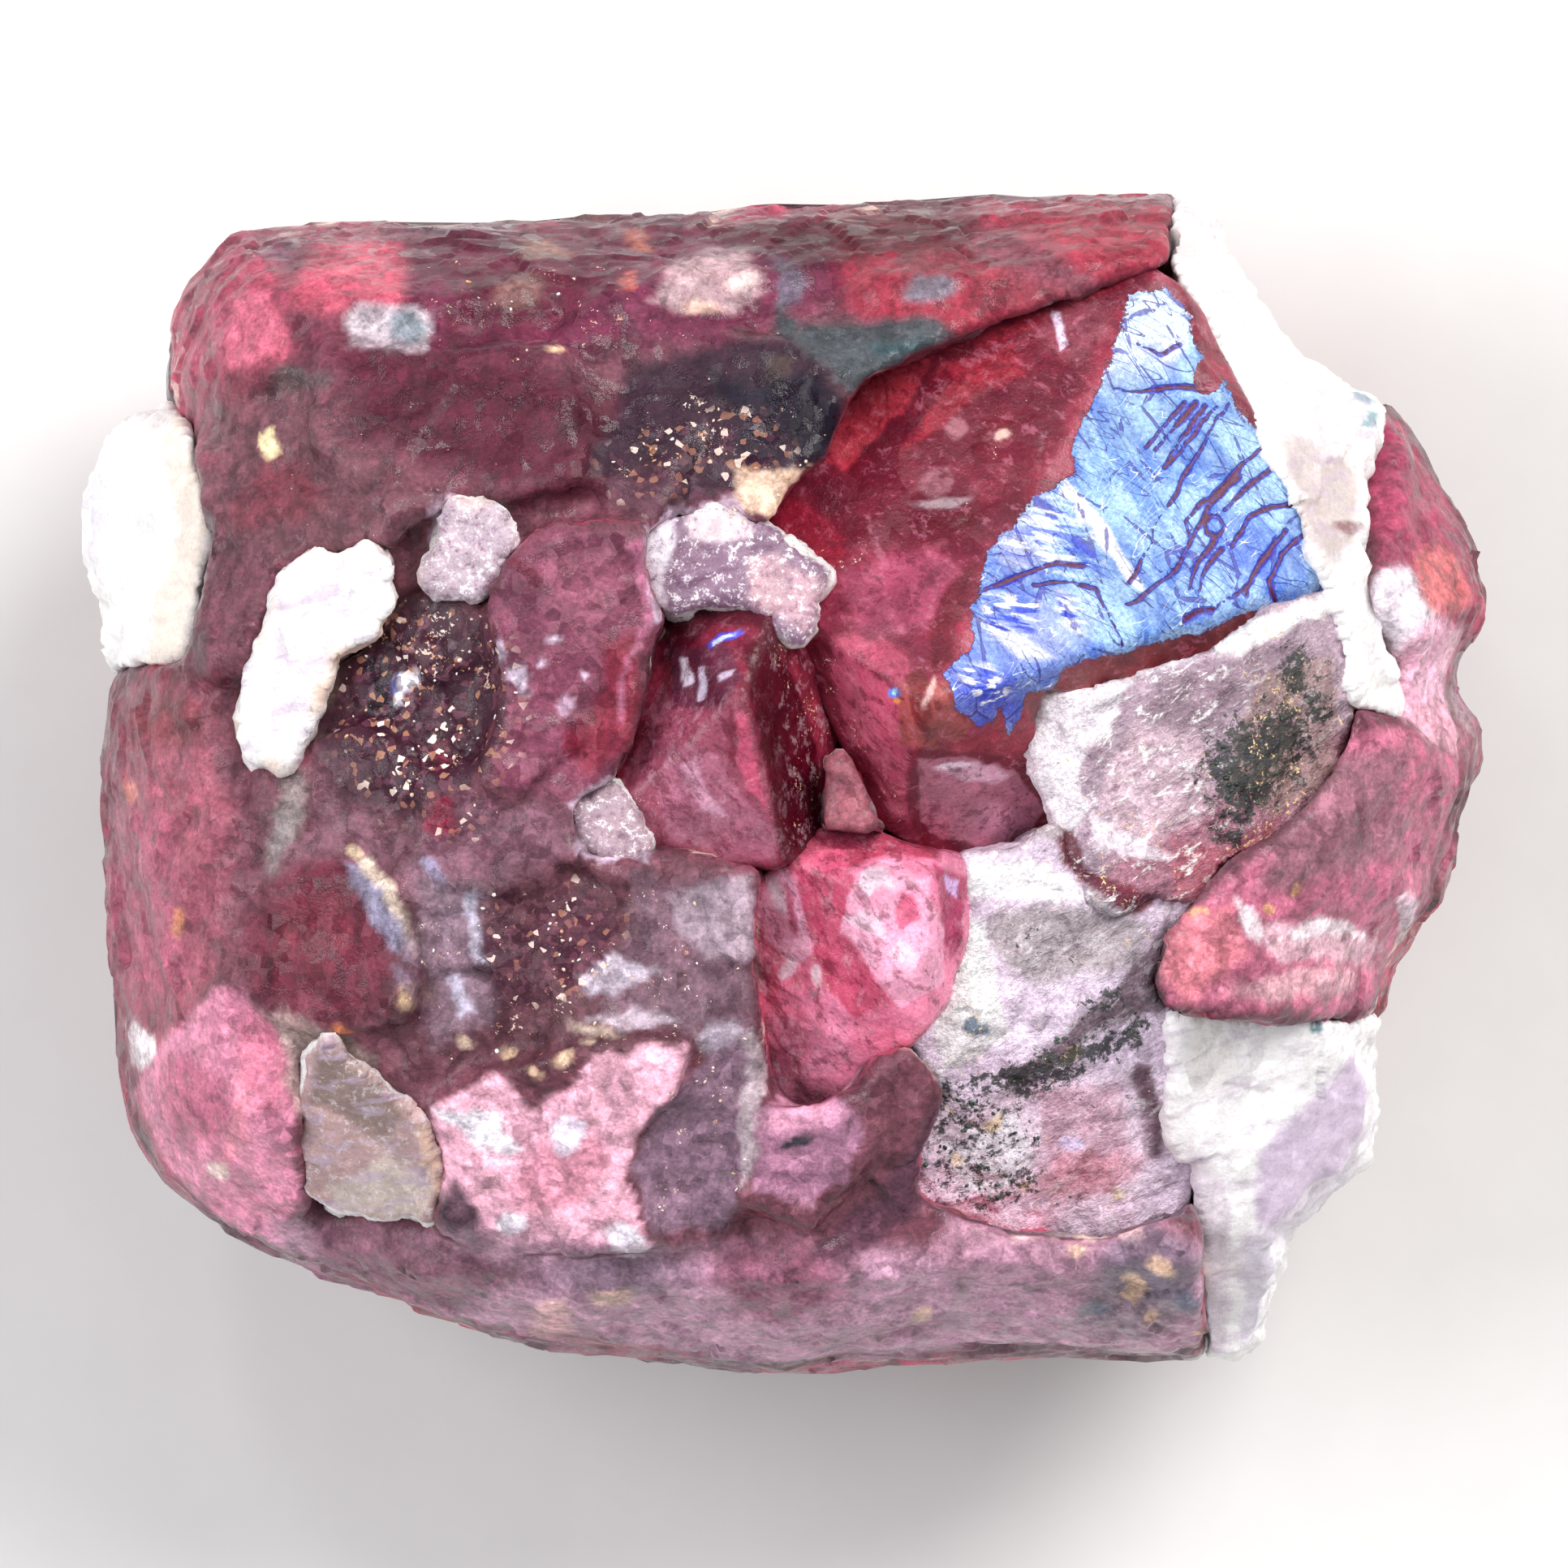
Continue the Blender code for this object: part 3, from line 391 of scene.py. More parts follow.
class Finish:
    """One procedural material, built by short calls. Sizes are in mm in the piece's own coordinates."""

    def __init__(self, name):
        self.material = bpy.data.materials.new(name)
        self.material.use_nodes = True
        self.tree = self.material.node_tree
        self.tree.nodes.clear()
        self.shader = self.tree.nodes.new("ShaderNodeBsdfPrincipled")
        output = self.tree.nodes.new("ShaderNodeOutputMaterial")
        self.tree.links.new(self.shader.outputs["BSDF"], output.inputs["Surface"])
        texture = self.tree.nodes.new("ShaderNodeTexCoord")
        self.place = self.stretched((1 / MM,) * 3, texture.outputs["Object"])

    def feed(self, socket, value):
        """Links a socket to another one, or sets it to a plain value or a colour of the palette."""
        if isinstance(value, bpy.types.NodeSocket):
            self.tree.links.new(value, socket)
        elif socket.type == "RGBA":
            socket.default_value = (*tone(value), 1)
        else:
            socket.default_value = value

    def stretched(self, scale, place=None):
        node = self.tree.nodes.new("ShaderNodeVectorMath")
        node.operation = "MULTIPLY"
        self.feed(node.inputs[0], place or self.place)
        node.inputs[1].default_value = scale
        return node.outputs[0]

    def turned(self, degrees, scale=(1, 1, 1)):
        """Coordinates turned about Z and then stretched, for streaks that run one way."""
        node = self.tree.nodes.new("ShaderNodeMapping")
        self.feed(node.inputs["Vector"], self.place)
        node.inputs["Rotation"].default_value = (0, 0, math.radians(degrees))
        return self.stretched(scale, node.outputs[0])

    def maths(self, operation, *values):
        node = self.tree.nodes.new("ShaderNodeMath")
        node.operation = operation
        for socket, value in zip(node.inputs, values):
            self.feed(socket, value)
        return node.outputs[0]

    def noise(self, size, detail=3.0, rough=0.6, place=None, twist=0.0):
        node = self.tree.nodes.new("ShaderNodeTexNoise")
        self.feed(node.inputs["Vector"], place or self.place)
        node.inputs["Scale"].default_value = 1 / size
        node.inputs["Detail"].default_value = detail
        node.inputs["Roughness"].default_value = rough
        node.inputs["Distortion"].default_value = twist
        return node.outputs["Fac"]

    def borders(self, size, place):
        """How far each point is from the border between irregular cells."""
        node = self.tree.nodes.new("ShaderNodeTexVoronoi")
        node.feature = "DISTANCE_TO_EDGE"
        self.feed(node.inputs["Vector"], place)
        node.inputs["Scale"].default_value = 1 / size
        return node.outputs["Distance"]

    def step(self, value, low, high, start=0.0, end=1.0):
        """A smooth rise from start to end while value goes from low to high."""
        node = self.tree.nodes.new("ShaderNodeMapRange")
        node.interpolation_type = "SMOOTHSTEP"
        names = ("Value", "From Min", "From Max", "To Min", "To Max")
        for name, given in zip(names, (value, low, high, start, end)):
            self.feed(node.inputs[name], given)
        return node.outputs[0]

    def mixed(self, share, first, second, blend="MIX"):
        node = self.tree.nodes.new("ShaderNodeMix")
        node.data_type = "RGBA"
        node.blend_type = blend
        self.feed(node.inputs[0], share)
        self.feed(node.inputs[6], first)
        self.feed(node.inputs[7], second)
        return node.outputs[2]

    def shaded(self, colour, light):
        """The colour made darker or lighter by a number round 1."""
        grey = self.tree.nodes.new("ShaderNodeCombineColor")
        for socket in grey.inputs:
            self.feed(socket, light)
        return self.mixed(1.0, colour, grey.outputs[0], "MULTIPLY")

    def varied(self, colour, field, dark, light, low=0.30, high=0.72):
        """The colour made darker where a field is low and lighter where it is high."""
        return self.shaded(colour, self.step(field, low, high, dark, light))

    def covered(self, colour, other, field, low, high, most=1.0, where=None):
        """Another colour laid over this one as a field goes from low to high, as far as where says."""
        share = self.step(field, low, high, 0.0, most)
        return self.mixed(share if where is None else self.maths("MULTIPLY", share, where), colour, other)

    def layer(self, name, output="Fac"):
        """A value, or with output Color a colour, that the mesh carries for each point."""
        node = self.tree.nodes.new("ShaderNodeAttribute")
        node.attribute_name = name
        return node.outputs[output]

    def facets(self, size, place=None):
        """Flat breaks about size mm wide that each lean their own way: (height in mm, a grey for each)."""
        cell = self.tree.nodes.new("ShaderNodeTexVoronoi")
        self.feed(cell.inputs["Vector"], place or self.place)
        cell.inputs["Scale"].default_value = 1 / size
        arm, lean, height = (self.tree.nodes.new("ShaderNodeVectorMath") for _ in range(3))
        arm.operation = lean.operation = "SUBTRACT"
        height.operation = "DOT_PRODUCT"
        self.feed(arm.inputs[0], place or self.place)
        self.feed(arm.inputs[1], cell.outputs["Position"])
        self.feed(lean.inputs[0], cell.outputs["Color"])
        lean.inputs[1].default_value = (0.5, 0.5, 0.5)
        self.feed(height.inputs[0], arm.outputs[0])
        self.feed(height.inputs[1], lean.outputs[0])
        grey = self.tree.nodes.new("ShaderNodeSeparateColor")
        self.feed(grey.inputs[0], cell.outputs["Color"])
        return height.outputs["Value"], grey.outputs[0]

    def relief(self, *parts):
        """A normal bent by heights laid over each other: (height, how many mm it stands for)."""
        total = self.maths("MULTIPLY", *parts[0])
        for height, share in parts[1:]:
            total = self.maths("MULTIPLY_ADD", height, share, total)
        node = self.tree.nodes.new("ShaderNodeBump")
        node.inputs["Distance"].default_value = MM
        self.feed(node.inputs["Height"], total)
        return node.outputs[0]

    def finish(self, **sockets):
        """Feeds the shader's sockets, named with _ for spaces, and hands over the material."""
        for name, value in sockets.items():
            self.feed(self.shader.inputs[name.replace("_", " ")], value)
        return self.material


def flecks(finish, size, few, turn):
    """Small ragged flecks of uneven size, in clusters, thick where the layer called specks is near 1."""
    scattered = finish.noise(size, 2.0, 0.8, finish.turned(turn))
    clusters = finish.noise(size * 6, 3.0, 0.7, finish.turned(turn + 30))
    crowd = finish.step(clusters, 0.40, 0.70, 0.0, 0.26)
    field = finish.maths("MULTIPLY_ADD", finish.layer("specks"), crowd, scattered)
    return finish.step(field, few, few + 0.09)


# The kinds of glassy grain: (from and to which random grey, strength, colour).
GLASS_KINDS = (
    (0.60, 0.40, 0.70, (52, 16, 36)),
    (0.74, 0.80, 0.34, (136, 78, 100)),
    (0.90, 0.92, 0.55, (200, 142, 104)),
    (0.97, 0.975, 0.9, (255, 236, 226)),
)
SPINEL_IOR = 1.72
CALCITE_IOR = 1.6


def spinel_material():
    """Massive spinel: mottled red-violet grains, cream flecks, dark pores and small glassy breaks."""
    f = Finish("Massive spinel")
    fine = f.noise(0.045, 3.0, 0.8)
    small, grey = f.facets(0.13, f.turned(50))
    colour = f.varied(f.layer("tint", "Color"), f.noise(0.36, 4.0, 0.66), 0.74, 1.28)
    colour = f.varied(colour, grey, 0.88, 1.13, 0.0, 1.0)
    colour = f.covered(colour, (46, 24, 38), f.noise(0.17, 3.0, 0.7, f.turned(40)), 0.50, 0.66, 0.36)
    colour = f.varied(colour, f.noise(0.13, 3.0, 0.7, f.turned(80)), 1.0, 1.28, 0.50, 0.66)
    colour = f.varied(colour, fine, 0.82, 1.19)
    glass = f.layer("glass")
    _, kind = f.facets(0.055)
    for low, high, most, shade in GLASS_KINDS:
        colour = f.covered(colour, shade, kind, low, high, most, glass)
    cream = f.maths("MULTIPLY", flecks(f, 0.052, 0.76, 15), 0.85)
    colour = f.mixed(cream, colour, f.mixed(grey, (212, 140, 96), (255, 238, 226)))
    return f.finish(
        Base_Color=colour,
        Roughness=f.maths("MULTIPLY_ADD", glass, -0.06, f.step(grey, 0.1, 0.9, 0.12, 0.50)),
        Normal=f.relief((small, 0.36), (fine, 0.009)),
        Specular_IOR_Level=0.30,
    )


def crystal_material(name, clear, veils):
    """Glassy wine-red spinel: veils, dark streaks, flecks and fine chips in a partly clear body."""
    f = Finish(name)
    fine = f.noise(0.035, 3.0, 0.8)
    chips, grey = f.facets(0.16, f.turned(-38, (1, 0.6, 1)))
    colour = f.varied(f.layer("tint", "Color"), f.noise(0.5, 4.0, 0.6), 0.74, 1.26)
    colour = f.varied(colour, grey, 0.88, 1.14, 0.0, 1.0)
    streaks = f.noise(0.13, 4.0, 0.75, f.turned(-38, (1, 0.45, 1)), 0.4)
    colour = f.covered(colour, (92, 18, 40), streaks, 0.50, 0.64, 0.60)
    milk = f.noise(0.12, 4.0, 0.75, f.turned(25, (1, 0.75, 1)), 0.2)
    where = f.maths("MULTIPLY_ADD", f.layer("specks"), 0.6, 0.3)
    colour = f.covered(colour, (246, 206, 226), milk, 0.52, 0.66, veils, where)
    colour = f.varied(colour, fine, 0.82, 1.20)
    colour = f.mixed(flecks(f, 0.027, 0.755, 55), colour, (246, 210, 176))
    return f.finish(
        Base_Color=colour,
        Roughness=f.step(milk, 0.35, 0.7, 0.10, 0.36),
        Normal=f.relief((chips, 0.34), (fine, 0.008)),
        IOR=SPINEL_IOR,
        Specular_IOR_Level=0.20,
        Transmission_Weight=clear,
        Coat_Weight=0.10,
        Coat_Roughness=0.06,
    )


LINES_IN_FIELD = 7  # how often a noise is cut into lines between its lowest and its highest value


def hairline(finish, degrees, size, width):
    """Long thin wavering lines that run one way."""
    field = finish.noise(size, 1.0, 0.4, finish.turned(degrees, (0.05, 1, 1)), 0.1)
    part = finish.maths("FRACT", finish.maths("MULTIPLY", field, LINES_IN_FIELD))
    off = finish.maths("ABSOLUTE", finish.maths("SUBTRACT", part, 0.5))
    return finish.step(off, 0.030 * width, 0.012 * width)


def film_material():
    """The wine-red crystal, cracked right through; the blue of the film on one face is painted reflection."""
    f = Finish("Blue-filmed spinel")
    fine = f.noise(0.035, 3.0, 0.8)
    chips, grey = f.facets(0.17, f.turned(-52, (1, 0.5, 1)))
    wine = f.varied(f.layer("tint", "Color"), f.noise(0.5, 4.0, 0.6), 0.72, 1.28)
    wine = f.varied(wine, grey, 0.88, 1.14, 0.0, 1.0)
    streaks = f.noise(0.12, 4.0, 0.75, f.turned(-52, (1, 0.4, 1)), 0.4)
    wine = f.covered(wine, (92, 18, 40), streaks, 0.50, 0.64, 0.62)
    wine = f.covered(wine, (210, 124, 150), streaks, 0.46, 0.34, 0.34)
    wine = f.mixed(flecks(f, 0.030, 0.76, 55), wine, (250, 222, 196))
    film = f.step(f.maths("ADD", f.layer("film"), f.step(fine, 0.0, 1.0, -0.03, 0.03)), 0.0, 0.012)
    # Painted reflection: the film's blue, violet, pale and striped colours stand for its iridescent sheen,
    # laid into the base colour.
    tones = f.noise(0.30, 4.0, 0.65, f.turned(-35, (1, 0.45, 1)), 0.8)
    blue = f.covered((80, 124, 210), (158, 196, 238), tones, 0.36, 0.64)
    blue = f.mixed(f.layer("violet"), blue, (74, 72, 214))
    blue = f.mixed(f.layer("pale"), blue, (240, 240, 255))
    plates, shade = f.facets(0.42, f.turned(-35, (1, 0.5, 1)))
    blue = f.varied(blue, shade, 0.82, 1.12, 0.0, 1.0)
    hairs = f.borders(0.36, f.turned(-35, (1, 0.42, 1)))
    hair = f.step(f.maths("ADD", hairs, f.step(f.noise(0.3), 0.40, 0.60, 0.03, -0.01)), 0.026, 0.008)
    fan = f.maths("MAXIMUM", hairline(f, 58, 0.16, 1.2), hairline(f, 22, 0.24, 0.8))
    hair = f.maths("MAXIMUM", hair, f.maths("MULTIPLY", fan, f.step(f.noise(0.5), 0.40, 0.54)))
    blue = f.mixed(f.maths("MULTIPLY", hair, 0.8), blue, (48, 30, 150))
    # Painted highlight: white glinting streaks across the film.
    where = f.step(f.noise(0.4, 2.0, 0.5, f.turned(9)), 0.48, 0.6)
    blue = f.mixed(f.maths("MULTIPLY", hairline(f, 140, 0.14, 1.2), where), blue, (236, 244, 255))
    stripes = f.noise(0.055, 1.0, 0.5, f.turned(9, (0.05, 1, 1)))
    blue = f.covered(blue, (26, 60, 206), stripes, 0.54, 0.60, 1.0, f.layer("striped"))
    blue = f.covered(blue, (246, 246, 255), stripes, 0.46, 0.40, 1.0, f.layer("striped"))
    blue = f.varied(blue, fine, 0.76, 1.22)
    crack = f.layer("crack")
    blue = f.covered(blue, (50, 38, 176), crack, 0.032, 0.018, 0.85)
    blue = f.covered(blue, (88, 14, 54), crack, 0.018, 0.009)
    gap = f.maths("MAXIMUM", hair, f.step(crack, 0.03, 0.015))
    raised = f.maths("MULTIPLY", film, f.maths("SUBTRACT", 1.0, gap))
    rough = f.maths("MULTIPLY", chips, f.maths("SUBTRACT", 1.0, film))
    return f.finish(
        Base_Color=f.varied(f.mixed(film, wine, blue), fine, 0.84, 1.16),
        Roughness=f.step(film, 0.0, 1.0, 0.24, 0.42),
        Normal=f.relief((rough, 0.28), (plates, 0.12), (fine, 0.010), (raised, 0.010)),
        IOR=SPINEL_IOR,
        Specular_IOR_Level=0.25,
        Transmission_Weight=0.05,
        Coat_Weight=0.05,
        Coat_Roughness=0.2,
    )


def marble_material():
    """Coarse marble: grey and white grains, white veins that run one way, dark green chlorite."""
    f = Finish("Marble")
    broad = f.noise(0.26, 4.0, 0.7, f.turned(-34, (0.6, 1, 1)))
    fine = f.noise(0.04, 3.0, 0.8)
    small, grey = f.facets(0.12, f.turned(-34, (0.6, 1, 1)))
    colour = f.varied(f.layer("tint", "Color"), broad, 0.80, 1.24)
    colour = f.varied(colour, grey, 0.86, 1.14, 0.0, 1.0)
    veins = f.noise(0.10, 4.0, 0.78, f.turned(-34, (0.5, 1.1, 1)), 0.4)
    colour = f.covered(colour, (112, 88, 106), veins, 0.46, 0.34, 0.65, f.layer("veins"))
    colour = f.covered(colour, (255, 252, 252), veins, 0.53, 0.64, 1.0, f.layer("veins"))
    stains = f.maths("MULTIPLY_ADD", f.layer("green"), 0.42, f.noise(0.10, 4.0, 0.8, twist=0.3))
    green = f.maths("MULTIPLY", f.step(stains, 0.70, 0.82), 0.92)
    colour = f.mixed(green, colour, f.mixed(grey, (12, 26, 34), (60, 66, 58)))
    colour = f.mixed(flecks(f, 0.05, 0.71, 70), colour, (240, 206, 156))
    colour = f.varied(colour, fine, 0.70, 1.26)
    return f.finish(
        Base_Color=colour,
        Roughness=f.step(broad, 0.3, 0.7, 0.34, 0.7),
        Normal=f.relief((small, 0.50), (veins, 0.03), (fine, 0.018)),
    )


def calcite_material():
    """White calcite: translucent, with cleavage steps, faint lilac bands and warm cream rims along some
    outlines.
    """
    f = Finish("Calcite")
    f.shader.subsurface_method = "BURLEY"
    cloud = f.noise(0.24, 4.0, 0.7)
    fine = f.noise(0.04, 3.0, 0.8)
    cleaved, grey = f.facets(0.20, f.turned(28, (1, 0.5, 1)))
    colour = f.varied(f.layer("tint", "Color"), cloud, 0.92, 1.10)
    colour = f.varied(colour, grey, 0.95, 1.05, 0.0, 1.0)
    sugar = f.noise(0.085, 5.0, 0.8)
    colour = f.covered(colour, (255, 248, 255), sugar, 0.53, 0.62, 0.9, f.layer("sugar"))
    colour = f.covered(colour, (118, 82, 110), sugar, 0.46, 0.38, 0.75, f.layer("sugar"))
    bands = f.noise(0.11, 3.0, 0.6, f.turned(-12, (0.25, 1, 0.6)), 0.4)
    colour = f.covered(colour, (190, 168, 196), bands, 0.50, 0.64, 1.0, f.layer("bands"))
    colour = f.mixed(f.layer("rim"), colour, (250, 214, 190))
    colour = f.mixed(flecks(f, 0.05, 0.78, 35), colour, (206, 150, 150))
    colour = f.varied(colour, fine, 0.90, 1.08)
    return f.finish(
        Base_Color=colour,
        Roughness=f.step(cloud, 0.3, 0.7, 0.28, 0.55),
        Normal=f.relief((cleaved, 0.30), (fine, 0.010)),
        IOR=CALCITE_IOR,
        Subsurface_Weight=0.20,
        Subsurface_Radius=(1.0, 0.9, 0.9),
        Subsurface_Scale=0.4 * MM,
    )


def crumb_material(name, dark, light):
    """Loose crumbs and specks, each a little different."""
    f = Finish(name)
    fine = f.noise(0.025, 3.0, 0.7)
    colour = f.covered(dark, light, f.noise(0.12, 3.0, 0.6), 0.36, 0.64)
    colour = f.varied(colour, fine, 0.82, 1.12, 0.25, 0.75)
    return f.finish(Base_Color=colour, Roughness=0.35, Normal=f.relief((fine, 0.008)), IOR=CALCITE_IOR)


def floor_material():
    """A plain pale sweep with the faintest tooth."""
    f = Finish("Pale floor")
    tooth = f.noise(1.2, 4.0, 0.6)
    colour = f.varied("floor", tooth, 0.985, 1.015, 0.3, 0.7)
    return f.finish(Base_Color=colour, Roughness=0.8, Normal=f.relief((tooth, 0.006)))


# ------------------------------------------------------------------ where the colours lie, in mm in plan

